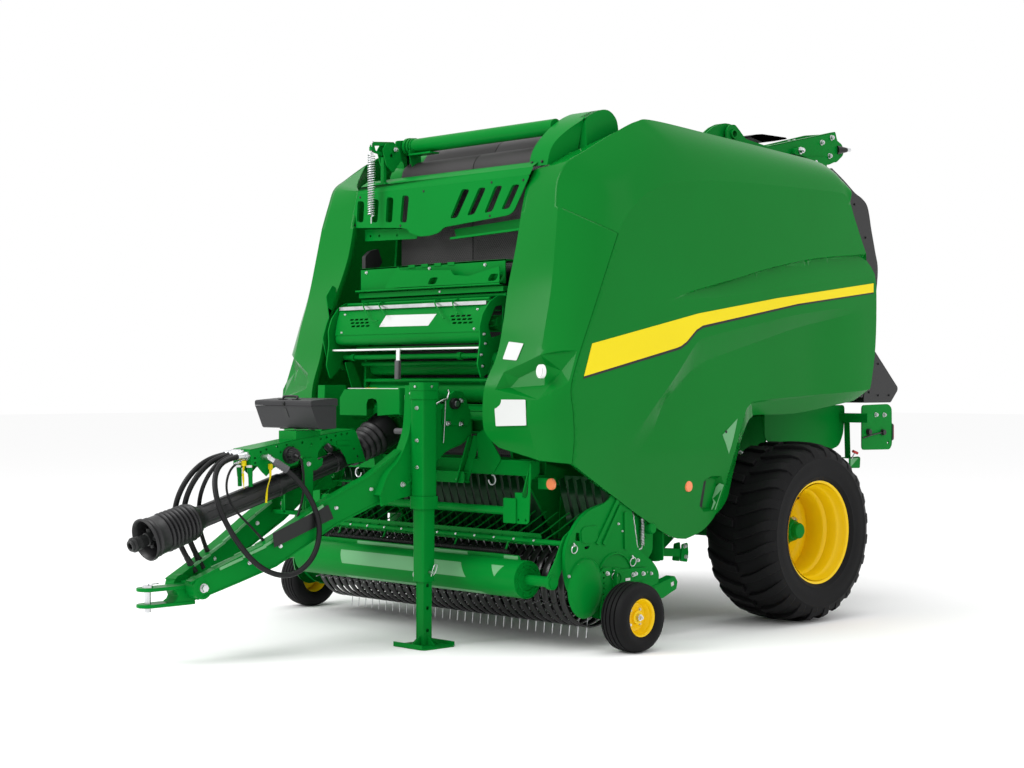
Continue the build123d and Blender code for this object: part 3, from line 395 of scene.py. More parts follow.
for side, sign in SIDES:
    # flat panel of the door
    outline = eased(SEAM, 8) + eased(CREST, 8)[1:] + eased(REAR, 3)[1:] + eased(ARCH, 4)[1:] + eased(FOOT, 3)[1:-1]
    points = list(outline)
    edges = [(i, (i + 1) % len(outline)) for i in range(len(outline))]
    lowered = [(y, z - 0.01) for y, z in SWOOSH_TOP]
    for line in (SWOOSH_TOP, lowered, SWOOSH_LOW, BAND_TOP, BAND_LOW):
        dense = [point for point in eased(line, 10) if inside(point, outline)]
        edges += [(len(points) + i, len(points) + i + 1) for i in range(len(dense) - 1)]
        points += dense
    for share in (1.0, 0.82):
        dense = scaled(PULL, share)
        edges += [(len(points) + i, len(points) + (i + 1) % len(dense)) for i in range(len(dense))]
        points += dense
    cell = 0.03
    for row in range(70):
        for column in range(92):
            spot = (-0.72 + column * cell + (row % 2) * cell / 2, 0.5 + row * cell)
            if inside(spot, outline):
                points.append(spot)
    flat, _, triangles, _, _, _ = delaunay_2d_cdt([Vector(p) for p in points], edges, [], 0, 0.0004)
    bm = bmesh.new()
    made = vertices(bm, [(sign * shield_x(p.x, p.y), p.x, p.y) for p in flat])
    for triangle in triangles:
        middle = sum((flat[i] for i in triangle), Vector((0, 0))) / 3
        if inside(middle, outline):
            bm.faces.new([made[i] for i in triangle])
    # band from the crest over to the roof line
    crest, roof = eased(CREST, 8), eased(ROOF_LINE, 8)
    rows = []
    for i in range(12):
        share = i / 11
        row = []
        for k, ((y, z), (rx, ry, rz)) in enumerate(zip(crest, roof)):
            x = shield_x(y, z)
            swell = sin(pi * share)
            back = ramp(k, 0, 20)
            row.append((
                sign * (x + (rx - x) * share + swell * (ROLL + 0.0066 * back)),
                y + (ry - y) * share - swell * ROLL * (1 - back),
                z + (rz - z) * share + swell * 0.018 * back,
            ))
        rows.append(row)
    rows.append([
        (x - sign * 0.004, y + 0.02 * (1 - ramp(k, 0, 30)), z - 0.02 * ramp(k, 0, 30))
        for k, (x, y, z) in enumerate(rows[-1])
    ])
    add_strip(bm, rows)
    # rear edge turned in, arch flange and foot flange
    rear = [(shield_x(y, z), y, z) for y, z in eased(REAR, 3)]
    add_strip(bm, [[(sign * x, y, z) for x, y, z in rear], [(sign * (x - 0.045), y - 0.004, z) for x, y, z in rear]])
    arch = eased(ARCH, 4)
    middle_arch = Vector((1.25, 0.75))
    flange = []
    for y, z in arch:
        inward = (middle_arch - Vector((y, z))).normalized()
        flange.append([
            (shield_x(y, z) * sign, y, z),
            ((shield_x(y, z) - 0.006) * sign, y + inward.x * 0.01, z + inward.y * 0.01),
            (sign * 1.128, y + inward.x * 0.095 * ramp(z, 0.5, 0.75), z + inward.y * 0.1 * ramp(z, 0.45, 0.6)),
            (sign * 1.1, y + inward.x * 0.095 * ramp(z, 0.5, 0.75), z + inward.y * 0.1 * ramp(z, 0.45, 0.6)),
        ])
    add_strip(bm, [[column[k] for column in flange] for k in range(4)])
    foot = eased(FOOT, 3)
    add_strip(bm, [
        [(sign * shield_x(y, z), y, z) for y, z in foot],
        [(sign * (shield_x(y, z) - 0.04), y + 0.006, z + 0.004) for y, z in foot],
    ])
    shell = piece_of(
        f"door_shell_{side}", bm, f"door_{side}", [shield_green], [f"side_door_{side}"], angle=9,
        outward=Vector((sign, 0, 0.2)),
    )
    thicken(shell)

    # front corner: front face and rolled corner band, with the pressed recess
    bm = bmesh.new()
    seam, crease, inner = eased(SEAM, 8), eased(FRONT_CREASE, 8), eased(FRONT_INNER, 8)

    def corner_spot(share, station):
        """Place on the corner: share 0 to 1 over the front face, 1 to 2 over the band."""
        t = station / (len(SEAM) - 1)
        (y, z), over, first = along(seam, t), Vector(along(crease, t)), Vector(along(inner, t))
        if share <= 1:
            place = first.lerp(over, share)
            return sign * place.x, place.y, place.z
        swell = ROLL * sin(pi * (share - 1))
        place = over.lerp(Vector((shield_x(y, z) - 0.001, y - DOOR_GAP, z)), share - 1)
        return sign * (place.x + swell), place.y - swell, place.z

    stations = len(SEAM) - 1
    border = [(2 * i / 18, 0) for i in range(18)] + [(2, stations * i / 64) for i in range(64)]
    border += [(2 - 2 * i / 18, stations) for i in range(18)] + [(0, stations * (1 - i / 64)) for i in range(64)]
    points = [*border]
    edges = [(i, (i + 1) % len(border)) for i in range(len(border))]
    for loop in PRESSING:
        edges += [(len(points) + i, len(points) + (i + 1) % len(loop)) for i in range(len(loop))]
        points += loop
    points += [
        (share, station) for share in [i / 9 for i in range(1, 18)] for station in [stations * i / 64 for i in range(1, 64)]
        if not inside((share, station), PRESSING[0])
    ]
    edges += [(len(points) + i, len(points) + i + 1) for i in range(2)]
    points += [(1, stations * i / 64) for i in (0.5, 1.5, 2.5)]
    flat, _, triangles, _, _, _ = delaunay_2d_cdt([Vector((p[0], p[1] * SPREAD)) for p in points], edges, [], 1, 0.0001)
    made = []
    floor_middle = sum((Vector(p) for p in PRESSING[1]), Vector((0, 0))) / len(PRESSING[1])
    grown = [tuple(floor_middle + (Vector(p) - floor_middle) * 1.02) for p in PRESSING[1]]
    for p in flat:
        x, y, z = corner_spot(min(max(p.x, 0), 2), min(max(p.y / SPREAD, 0), stations))
        deep = PRESSED if inside((p.x, p.y / SPREAD), grown) else 0
        made.append(bm.verts.new((x - sign * deep * 0.45, y + deep, z)))
    for triangle in triangles:
        bm.faces.new([made[i] for i in triangle])
    # edges turned in along the front face's inner side and the seam
    for share, turn in ((0, Vector((-sign * 0.004, 0.035, 0))), (2, Vector((-sign * 0.02, 0.001, 0)))):
        rim = [Vector(corner_spot(share, stations * i / 64)) for i in range(65)]
        add_strip(bm, [rim, [place + turn for place in rim]])
    # top of the corner, between the front face's top and the roof line
    head = [(0.703, -0.58, 2.3), (0.705, -0.545, 2.44), (0.722, -0.525, 2.512), (0.8, -0.475, 2.548), (0.88, -0.4, 2.6)]
    ridge = eased(ROOF_LINE[:5], 8)
    lip = [along(head, i / (len(ridge) - 1)) for i in range(len(ridge))]
    rows = []
    for i in range(10):
        share = i / 9
        rows.append([
            (sign * (a[0] + (b[0] - a[0]) * share), a[1] + (b[1] - a[1]) * share, a[2] + (b[2] - a[2]) * share)
            for a, b in zip(lip, ridge)
        ])
    add_strip(bm, rows)
    corner = piece_of(
        f"front_corner_shell_{side}", bm, "chassis", [shield_green], [f"front_corner_{side}"], angle=14,
        outward=Vector((sign * 0.5, -1, 0)),
    )
    thicken(corner)


# ---- stripe, reflectors and blank plates ----------------------------------------------
# Film laid on the shields: a yellow arrow with a dark border under it, a white and an amber
# reflector, two blank plates, and at the hand pull behind the arch's corner a dark film of painted shade in its slot, a
# pale film of painted highlight on the recess wall and a pale wedge of painted highlight.
FILM = 0.0012


def add_film(bm, outline, lift, sign, finish=0, cell=0.05):
    """Thin film on the flat panel, its (y, z) outline held lift proud of the surface."""
    dense = []
    for (y0, z0), (y1, z1) in zip(outline, outline[1:] + outline[:1]):
        steps = max(1, int(sqrt((y1 - y0) ** 2 + (z1 - z0) ** 2) / cell))
        dense += [(y0 + (y1 - y0) * i / steps, z0 + (z1 - z0) * i / steps) for i in range(steps)]
    points = dense + [
        (-0.75 + column * cell, 0.5 + row * cell) for row in range(48) for column in range(58)
        if inside((-0.75 + column * cell, 0.5 + row * cell), outline)
    ]
    edges = [(i, (i + 1) % len(dense)) for i in range(len(dense))]
    flat, _, triangles, _, _, _ = delaunay_2d_cdt([Vector(p) for p in points], edges, [], 1, 0.0003)
    skin = vertices(bm, [(sign * (shield_x(p.x, p.y) + lift), p.x, p.y) for p in flat])
    back = vertices(bm, [(sign * (shield_x(p.x, p.y) + lift - FILM), p.x, p.y) for p in flat])
    for triangle in triangles:
        bm.faces.new([skin[i] for i in triangle]).material_index = finish
        bm.faces.new([back[i] for i in reversed(triangle)]).material_index = finish
    for a, b in edges:
        bm.faces.new([skin[a], skin[b], back[b], back[a]]).material_index = finish


def add_closed(bm, rows, finish=0):
    """Closed body through rings of points, the first and last ring filled."""
    made = add_strip(bm, rows, finish, close=True)
    bm.faces.new(list(reversed(made[0]))).material_index = finish
    bm.faces.new(made[-1]).material_index = finish


def add_rod(bm, start, end, radius, tip=None, sides=18, finish=0):
    """Round bar from start to end, or a cone where tip is another radius; closed ends."""
    start, end = Vector(start), Vector(end)
    turn = (end - start).to_track_quat("Z", "Y")
    rows = []
    for place, size in ((start, radius), (end, radius if tip is None else tip)):
        ring = [(size * cos(2 * pi * i / sides), size * sin(2 * pi * i / sides), 0) for i in range(sides)]
        rows.append([place + turn @ Vector(point) for point in ring])
    add_closed(bm, rows, finish)


def side_rod(bm, sign, start, end, y, z, radius, tip=None, sides=18, finish=0):
    """Rod across one side of the machine, from start to end outward."""
    add_rod(bm, (sign * start, y, z), (sign * end, y, z), radius, tip, sides, finish)


def rounded(outline, radius, each=4):
    """Closed outline with every corner rounded to about radius."""
    made = []
    for before, corner, after in zip([outline[-1], *outline], outline, [*outline[1:], outline[0]]):
        before, corner, after = Vector(before), Vector(corner), Vector(after)
        reach = min(radius, (before - corner).length * 0.45, (after - corner).length * 0.45)
        start = corner + (before - corner).normalized() * reach
        end = corner + (after - corner).normalized() * reach
        for i in range(each + 1):
            t = i / each
            made.append(tuple(start * (1 - t) ** 2 + corner * 2 * t * (1 - t) + end * t**2))
    return made


def circle_of(u, v, radius, sides=20):
    """Outline of a circle."""
    return [(u + radius * cos(2 * pi * i / sides), v + radius * sin(2 * pi * i / sides)) for i in range(sides)]


def add_plate(bm, outline, spot, thick, holes=(), finish=0):
    """Flat plate with holes; spot turns (u, v, w) into a place, w being from 0 to thick."""
    points, edges = [], []
    for loop in (outline, *holes):
        first = len(points)
        points += [Vector(point) for point in loop]
        edges += [(first + i, first + (i + 1) % len(loop)) for i in range(len(loop))]
    flat, _, triangles, _, _, _ = delaunay_2d_cdt(points, edges, [], 0, 0.00001)
    top = vertices(bm, [spot(p.x, p.y, thick) for p in flat])
    low = vertices(bm, [spot(p.x, p.y, 0.0) for p in flat])
    for face in triangles:
        middle = sum((flat[i] for i in face), Vector((0, 0))) / 3
        if inside(middle, outline) and not any(inside(middle, hole) for hole in holes):
            bm.faces.new([top[i] for i in face]).material_index = finish
            bm.faces.new([low[i] for i in reversed(face)]).material_index = finish
    for a, b in edges:
        bm.faces.new([top[a], top[b], low[b], low[a]]).material_index = finish


STRIPE = [
    (-0.551, 1.584), (0.289, 1.76), (0.986, 1.865), (1.971, 1.989), (1.971, 1.934), (1.192, 1.84), (0.326, 1.695),
    (0.271, 1.67), (0.189, 1.604), (0.143, 1.58), (0.107, 1.57), (-0.611, 1.415),
]
BORDER = [
    (-0.611, 1.415), (0.107, 1.57), (0.143, 1.58), (0.189, 1.604), (0.271, 1.67), (0.326, 1.695), (1.192, 1.84),
    (1.971, 1.934), (1.971, 1.926), (1.192, 1.829), (0.33, 1.682), (0.278, 1.66), (0.194, 1.592), (0.145, 1.566),
    (0.107, 1.556),
    (-0.616, 1.402),
]
for side, sign in SIDES:
    bm = bmesh.new()
    add_film(bm, STRIPE, 0.0016, sign)
    add_film(bm, BORDER, 0.0014, sign, finish=1)
    piece_of(f"stripe_{side}", bm, f"door_{side}", [film_yellow, dark_steel], angle=30)
    bm = bmesh.new()
    amber_x = shield_x(0.244, 0.816)
    side_rod(bm, sign, amber_x - 0.006, amber_x + 0.004, 0.244, 0.816, 0.031, 0.029, sides=36)
    side_rod(bm, sign, amber_x + 0.004, amber_x + 0.006, 0.244, 0.816, 0.0255, 0.0245, sides=36)
    screw_x = shield_x(0.545, 1.108)
    side_rod(bm, sign, screw_x - 0.004, screw_x + 0.003, 0.545, 1.108, 0.01, 0.008, finish=1)
    # dark film in the hand pull's slot: painted shade where the opening is
    add_film(bm, [(0.388, 0.828), (0.428, 0.838), (0.412, 0.69), (0.372, 0.7)], 0.002, sign, finish=1, cell=0.02)
    # pale green film on the recess's wall: painted highlight
    add_film(bm, [(0.525, 0.822), (0.543, 0.812), (0.488, 0.676), (0.47, 0.676)], 0.004, sign, finish=2, cell=0.02)
    # pale green wedge on the panel: painted highlight
    add_film(bm, [(0.655, 1.18), (0.512, 1.092), (0.568, 0.985)], 0.0016, sign, finish=2)
    piece_of(f"door_reflector_{side}", bm, f"door_{side}", [amber_lens, dark_steel, painted_highlight_green], bevel=0.001)
bm = bmesh.new()
add_rod(bm, (1.072, -0.795, 1.44), (1.068, -0.812, 1.44), 0.037, 0.035, sides=36)
add_rod(bm, (1.068, -0.812, 1.44), (1.067, -0.815, 1.44), 0.03, 0.028, sides=36)
piece_of("front_reflector", bm, "chassis", [white_lens], bevel=0.001)
bm = bmesh.new()
plate = rounded([(0.808, 1.596), (0.908, 1.585), (0.884, 1.497), (0.79, 1.505)], 0.006)
add_plate(bm, plate, lambda u, v, w: (u, -0.764 - (1.62 - v) * 0.278 + (u - 0.86) * 0.112 - w, v), 0.0015)
plate = rounded([(0.79, 1.295), (1.0, 1.296), (1.02, 1.165), (0.818, 1.158)], 0.006)
add_plate(bm, plate, lambda u, v, w: (u, -0.872 - w + (v - 1.19) * 0.1235 + (u - 0.86) * 0.097, v), 0.0015)
piece_of("corner_plates", bm, "chassis", [blank_label])


# ---- drawbar --------------------------------------------------------------------------
# Two welded tongue beams that rise from the hitch boss and flare into tall headstock plates
# with a folded edge; tabbed top seams whose pale green is painted highlight, bolts, a blank name plate and hose
# fittings.
def oblong(u0, v0, u1, v1):
    """Corners of a rectangle between two opposite ones."""
    return [(u0, v0), (u1, v0), (u1, v1), (u0, v1)]


def flat_bar(wide, high):
    """Section of a bar or a flat about its middle, by its half sizes."""
    return oblong(-wide, -high, wide, high)


def add_slab(bm, front, back, finish=0):
    """Flat body between two like outlines."""
    near, far = vertices(bm, front), vertices(bm, back)
    bm.faces.new(near).material_index = finish
    bm.faces.new(list(reversed(far))).material_index = finish
    for i in range(len(near)):
        j = (i + 1) % len(near)
        bm.faces.new([near[i], far[i], far[j], near[j]]).material_index = finish


def add_box(bm, low, high, finish=0):
    """Box between two opposite corners."""
    corners = oblong(low[0], low[2], high[0], high[2])
    add_slab(bm, *([(x, y, z) for x, z in corners] for y in (low[1], high[1])), finish)


def add_sweep(bm, path, section, finish=0, scales=None):
    """Closed section of (across, up) points swept along a path, its width kept level."""
    rows = []
    for i, place in enumerate(path):
        before = Vector(path[max(i - 1, 0)])
        after = Vector(path[min(i + 1, len(path) - 1)])
        ahead = (after - before).normalized()
        across = Vector((0, 0, 1)).cross(ahead)
        across = across.normalized() if across.length > 0.05 else Vector((1, 0, 0))
        up = ahead.cross(across)
        grow = scales[i] if scales else 1.0
        rows.append([Vector(place) + across * a + up * (u * grow) for a, u in section])
    add_closed(bm, rows, finish)


def add_tube(bm, path, radius, sides=12, finish=0, smooth=0):
    """Round wire or tube along a path of points, eased where smooth is a count."""
    line = eased([tuple(point) for point in path], smooth) if smooth else path
    line = [Vector(point) for point in line]
    turn = (line[1] - line[0]).to_track_quat("Z", "Y")
    ring = [Vector((radius * cos(2 * pi * i / sides), radius * sin(2 * pi * i / sides), 0)) for i in range(sides)]
    rows = []
    for i, place in enumerate(line):
        ahead = (line[min(i + 1, len(line) - 1)] - line[max(i - 1, 0)]).normalized()
        turn = (turn @ Vector((0, 0, 1))).rotation_difference(ahead) @ turn
        rows.append([place + turn @ point for point in ring])
    add_closed(bm, rows, finish)


def add_nut(bm, place, axis, across, finish=0, stud=0.0):
    """Hexagon head or nut on a washer, standing out along axis, with its stud's end."""
    place, axis = Vector(place), Vector(axis).normalized()
    add_rod(bm, place, place + axis * across * 0.12, across * 0.68, sides=18, finish=finish)
    add_rod(bm, place, place + axis * across * 0.62, across * 0.56, sides=6, finish=finish)
    if stud:
        add_rod(bm, place, place + axis * (across * 0.62 + stud), across * 0.3, sides=12, finish=finish)


def side_nut(bm, sign, x, y, z, across, finish=0, stud=0.0):
    """Nut that faces outward on one side of the machine."""
    add_nut(bm, (sign * x, y, z), (sign, 0, 0), across, finish, stud)


def side_plate(bm, outline, x, thick, holes=(), finish=0):
    """Plate in the (y, z) plane, from x towards +X by thick."""
    add_plate(bm, outline, lambda u, v, w: (x + w, u, v), thick, holes, finish)


def flank(bm, sign, outline, x, thick, holes=(), finish=0):
    """Plate in the (y, z) plane on one side, from x outward by thick."""
    add_plate(bm, outline, lambda u, v, w: (sign * (x + w), u, v), thick, holes, finish)


TONGUE = [  # x, y, z and height of the left beam's middle line
    (0.084, -2.25, 0.362, 0.1), (0.13, -2.05, 0.44, 0.12), (0.185, -1.86, 0.52, 0.136), (0.205, -1.7, 0.612, 0.142),
    (0.225, -1.51, 0.715, 0.148), (0.312, -1.29, 0.83, 0.16), (0.362, -1.1, 0.96, 0.18),
]
HEADSTOCK = [
    (-1.06, 1.368), (-0.9, 1.368), (-0.88, 1.235), (-0.85, 1.176), (-0.76, 1.172), (-0.66, 1.215), (-0.658, 1.1),
    (-0.734, 1.056), (-0.82, 1.03), (-0.886, 0.99), (-0.925, 0.925), (-0.945, 0.86), (-0.958, 0.806), (-1.0, 0.788),
    (-1.112, 0.786), (-1.194, 0.772), (-1.29, 0.742), (-1.3, 0.8), (-1.249, 0.905), (-1.185, 0.968),
    (-1.14, 1.035), (-1.105, 1.115), (-1.09, 1.2), (-1.08, 1.3),
]
EAR = [
    (-0.88, 1.16), (-0.872, 1.25), (-0.84, 1.31), (-0.79, 1.338), (-0.735, 1.335), (-0.705, 1.29), (-0.665, 1.195), (-0.7, 1.15)
]
bm = bmesh.new()
for sign in (1, -1):
    path = [(sign * x, y, z) for x, y, z, _ in TONGUE]
    scales = [height / 0.148 for _, _, _, height in TONGUE]
    add_sweep(bm, path, oblong(-0.03, -0.07, 0.03, 0.066), scales=scales)
    add_sweep(bm, path, oblong(-0.035, 0.062, 0.035, 0.072), scales=scales)
    add_sweep(bm, path, oblong(-0.035, -0.074, 0.035, -0.066), scales=scales)
    # tabs along the top seam, their pale green a painted highlight, and bolts through the webs
    for i, length in ((0.6, 0.1), (1.2, 0.08), (1.75, 0.11), (2.4, 0.09), (3.1, 0.12)):
        a, b = Vector(along(path, i / 6)), Vector(along(path, i / 6 + length))
        grow = along([(s,) for s in scales], i / 6)[0]
        for edge in (-0.034, 0.034):
            spot = a + Vector((edge, 0, 0.074 * grow))
            add_sweep(bm, [spot, spot + (b - a).normalized() * 0.13], oblong(-0.006, -0.01, 0.006, 0.004), finish=3)
    for i in (1.4, 2.3, 3.2, 4.1, 4.9):
        spot = Vector(along(path, i / 6))
        add_nut(bm, spot + Vector((sign * 0.03, 0, 0.012)), (sign, -0.15 * sign, 0), 0.016, finish=1)
        add_nut(bm, spot + Vector((-sign * 0.03, 0, 0.012)), (-sign, 0.15 * sign, 0), 0.016, finish=1)
    # headstock plate, its folded edge and the ear
    holes = [circle_of(-1.045, 1.275, 0.01), circle_of(-0.99, 0.86, 0.01)]
    flank(bm, sign, HEADSTOCK, 0.382, 0.012, holes=holes)
    curl = eased(
        [(-1.3, 0.8), (-1.249, 0.905), (-1.185, 0.968), (-1.14, 1.035), (-1.105, 1.115), (-1.09, 1.2), (-1.08, 1.368)], 5
    )
    add_sweep(bm, [(sign * 0.368, y, z) for y, z in curl], flat_bar(0.03, 0.004))
    lower = eased(
        [(-0.658, 1.096), (-0.734, 1.052), (-0.82, 1.026), (-0.886, 0.986), (-0.925, 0.921), (-0.945, 0.856), (-0.958, 0.806)],
        5
    )
    add_sweep(bm, [(sign * 0.372, y, z) for y, z in lower], flat_bar(0.022, 0.003))
    flank(bm, sign, EAR, 0.395, 0.01, holes=[circle_of(-0.8, 1.27, 0.026)])
    for y, z in ((-0.745, 1.285), (-0.84, 1.165), (-0.745, 1.16), (-1.065, 0.87), (-1.15, 0.85)):
        add_nut(bm, (sign * 0.405 if z > 1 else sign * 0.394, y, z), (sign, 0, 0), 0.022, finish=1, stud=0.006)
    # boss that the beams' fronts are welded to, with its through bolt
    side_rod(bm, sign, 0.05, 0.126, -2.212, 0.372, 0.056, sides=40)
    side_rod(bm, sign, 0.126, 0.13, -2.212, 0.372, 0.036, 0.033, sides=32)
    side_nut(bm, sign, 0.129, -2.212, 0.372, 0.034, finish=1)
# cross plates between the headstock plates, and the nose block
for y, low, high in ((-0.7, 0.84, 0.9), (-0.7, 1.18, 1.24)):
    add_box(bm, (-0.382, y, low), (0.382, y + 0.008, high))
    add_box(bm, (-0.382, y, high - 0.008), (0.382, y + 0.045, high))
    add_box(bm, (-0.382, y, low), (0.382, y + 0.045, low + 0.008))
add_box(bm, (-0.382, -1.0, 0.832), (0.382, -0.945, 0.84))
side_plate(
    bm, rounded([(-2.232, 0.322), (-2.15, 0.33), (-2.08, 0.356), (-2.06, 0.42), (-2.15, 0.412), (-2.232, 0.396)], 0.015), -0.09,
    0.18
)
# fittings that the front hoses end in
for node, (_, diameter, route) in list(HOSE_ROUTES.items())[1:]:
    end, before = Vector(route[-1]) / 1000, Vector(route[-2]) / 1000
    ahead = (end - before).normalized()
    add_rod(bm, end - ahead * 0.03, end, diameter * 0.56, finish=2)
    add_rod(bm, end, end + ahead * 0.022, diameter * 0.7, sides=6, finish=2)
    add_rod(bm, end + ahead * 0.022, end + ahead * 0.06, diameter * 0.52, finish=2)
# blank name plate on the left beam
place = [(0.236, -1.862, 0.556), (0.256, -1.5, 0.684), (0.256, -1.535, 0.756), (0.236, -1.872, 0.628)]
front, back = vertices(bm, [(x + 0.003, y, z) for x, y, z in place]), vertices(bm, place)
bm.faces.new(front).material_index = 2
for i in range(4):
    bm.faces.new([front[i], back[i], back[(i + 1) % 4], front[(i + 1) % 4]]).material_index = 2
piece_of("drawbar_frame", bm, "chassis", [green, zinc, dark_steel, painted_highlight_green], ["drawbar"], bevel=0.003, angle=30)

# ---- hitch ----------------------------------------------------------------------------
# Cast clevis: two round-nosed plates on a waisted body, and a zinc drawbar pin with its
# head, washer and ring.
def level_plate(bm, outline, z, thick, holes=()):
    """Level plate, from z upward by thick."""
    add_plate(bm, outline, lambda u, v, w: (u, v, z + w), thick, holes)


bm = bmesh.new()
nose = [(0.055 * sin(pi * i / 12), -2.45 - 0.055 * cos(pi * i / 12)) for i in range(-6, 7)]
tongue_plate = [*nose, (0.055, -2.33), (0.05, -2.205), (-0.05, -2.205), (-0.055, -2.33)]
for low in (0.286, 0.366):
    level_plate(bm, tongue_plate, low, 0.018, holes=[circle_of(0, -2.45, 0.016)])
waist = [
    (-2.345, 0.384), (-2.335, 0.368), (-2.312, 0.352), (-2.304, 0.334), (-2.312, 0.318), (-2.335, 0.303), (-2.345, 0.287),
    (-2.235, 0.29), (-2.15, 0.33), (-2.15, 0.402), (-2.235, 0.388)
]
side_plate(bm, waist, -0.049, 0.098)
piece_of("hitch_casting", bm, "chassis", [green], ["hitch_clevis"], bevel=0.005, angle=35)
bm = bmesh.new()
add_rod(bm, (0, -2.45, 0.264), (0, -2.45, 0.392), 0.0155, sides=28)
add_rod(bm, (0, -2.45, 0.384), (0, -2.45, 0.394), 0.027, 0.025, sides=32)
add_rod(bm, (0, -2.45, 0.262), (0, -2.45, 0.27), 0.011, 0.0135, sides=28)
ring = [
    (0.026 * sin(2 * pi * i / 20), -2.418 + 0.024 * cos(2 * pi * i / 20), 0.399 + 0.004 * sin(2 * pi * i / 20))
    for i in range(21)
]
add_tube(bm, ring, 0.0025, sides=8)
piece_of("hitch_pin_turned", bm, "chassis", [zinc], ["hitch_pin"], bevel=0.001)


# ---- roof box -------------------------------------------------------------------------
# Rounded hood on the left only: a sheet that rises from the grille's end and rolls back over
# the chamber, an inner web under its edge and a closed side box with a bevelled front edge.
def front_plate(bm, outline, y, thick, holes=()):
    """Plate in the (x, z) plane, from y towards the front by thick."""
    add_plate(bm, outline, lambda u, v, w: (u, y - w, v), thick, holes)


bm = bmesh.new()
hood = eased(
    [
        (-0.515, 2.536), (-0.498, 2.6), (-0.462, 2.668), (-0.392, 2.748), (-0.31, 2.806), (-0.215, 2.846), (-0.145, 2.846),
        (-0.092, 2.805), (-0.075, 2.74)
    ],
    6
)
left_edge = [0.692 + 0.035 * ramp(z, 2.6, 2.8) for y, z in hood]
outer_edge = [0.83 + 0.108 * ramp(y, -0.5, -0.33) for y, z in hood]
add_strip(bm, [
    [(x, y + 0.012, z - 0.008) for (y, z), x in zip(hood, left_edge)],
    [(x, y, z) for (y, z), x in zip(hood, left_edge)],
    [(x, y, z) for (y, z), x in zip(hood, outer_edge)],
])
# inner web, from the sheet's outer edge back to the side box
front_run = [(x, y, z) for (y, z), x in zip(hood, outer_edge) if y < -0.335]
web_foot = [(0.862 + 0.076 * i / len(front_run), -0.338, 2.56 + (place[2] - 2.536) * 0.99) for i, place in enumerate(front_run)]
add_strip(bm, [front_run, web_foot])
crown = [(y, z) for y, z in hood if y > -0.335]
side_plate(bm, [(-0.32, 2.58), (-0.34, 2.77), *crown, (-0.075, 2.62)], 0.88, 0.06)
for x in (0.715, 0.79):
    add_nut(bm, (x, -0.512, 2.556), (0, -1, 0.35), 0.012, finish=1)
piece_of("roof_hood", bm, "chassis", [green, dark_steel], ["roof_box"], bevel=0.004, angle=25)

# ---- top tube and lock lever ----------------------------------------------------------
# Cross tube over the belts with collars at its right end, end plates, the lock lever with
# its slotted plate and the coil spring that hangs from it behind the grille.
bm = bmesh.new()
add_rod(bm, (-0.49, -0.33, 2.768), (0.715, -0.33, 2.768), 0.043, sides=48)
for x, reach, size in ((-0.5, 0.022, 0.053), (-0.468, 0.014, 0.05), (-0.442, 0.008, 0.048)):
    add_rod(bm, (x, -0.33, 2.768), (x + reach, -0.33, 2.768), size, sides=40)
end_plate = rounded(
    [(-0.415, 2.8), (-0.32, 2.812), (-0.3, 2.7), (-0.315, 2.56), (-0.34, 2.56), (-0.36, 2.68), (-0.42, 2.72)], 0.015
)
side_plate(bm, end_plate, -0.52, 0.01)
side_plate(bm, rounded([(-0.4, 2.74), (-0.31, 2.74), (-0.305, 2.64), (-0.335, 2.6), (-0.385, 2.66)], 0.012), -0.42, 0.008)
add_box(bm, (-0.604, -0.332, 2.56), (-0.51, -0.316, 2.74))
add_box(bm, (-0.42, -0.4, 2.706), (-0.23, -0.33, 2.716))
# lever and its bracket
lever = rounded([(-0.64, 2.742), (-0.625, 2.772), (-0.459, 2.785), (-0.43, 2.73), (-0.52, 2.694), (-0.62, 2.712)], 0.012)
side_plate(bm, lever, -0.486, 0.01, holes=[rounded([(-0.61, 2.75), (-0.5, 2.76), (-0.53, 2.716), (-0.6, 2.722)], 0.008)])
bracket = rounded([(-0.566, 2.729), (-0.538, 2.77), (-0.444, 2.757), (-0.423, 2.682), (-0.488, 2.6), (-0.538, 2.64)], 0.01)
side_plate(bm, bracket, -0.46, 0.008, holes=[circle_of(-0.5, 2.7, 0.012)])
side_plate(bm, bracket, -0.51, 0.008)
add_rod(bm, (-0.515, -0.48, 2.735), (-0.44, -0.48, 2.735), 0.014, sides=20)
add_nut(bm, (-0.44, -0.48, 2.735), (1, 0, 0), 0.022, finish=1, stud=0.006)
add_box(bm, (-0.498, -0.545, 2.53), (-0.47, -0.525, 2.69))
add_box(bm, (-0.56, -0.56, 2.53), (-0.44, -0.47, 2.54))
# short link from the lever to the spring
add_rod(bm, (-0.481, -0.63, 2.742), (-0.481, -0.63, 2.72), 0.012, sides=16)
piece_of("top_tube_lock", bm, "chassis", [green, zinc], ["top_tube"], bevel=0.0015, angle=30)
bm = bmesh.new()
turns = 26
coil = [
    (-0.48 + 0.019 * cos(2 * pi * i / 14), -0.63 + 0.019 * sin(2 * pi * i / 14), 2.345 + 0.355 * i / (14 * turns))
    for i in range(14 * turns + 1)
]
add_tube(bm, coil, 0.0036, sides=8)
add_tube(bm, [(-0.48, -0.63, 2.7), (-0.48, -0.63, 2.76), (-0.48, -0.618, 2.775)], 0.005, sides=10)
add_tube(bm, [(-0.461, -0.63, 2.345), (-0.48, -0.63, 2.335), (-0.48, -0.63, 2.3)], 0.0045, sides=10)
piece_of("tension_coil", bm, "chassis", [zinc], ["tension_spring"])

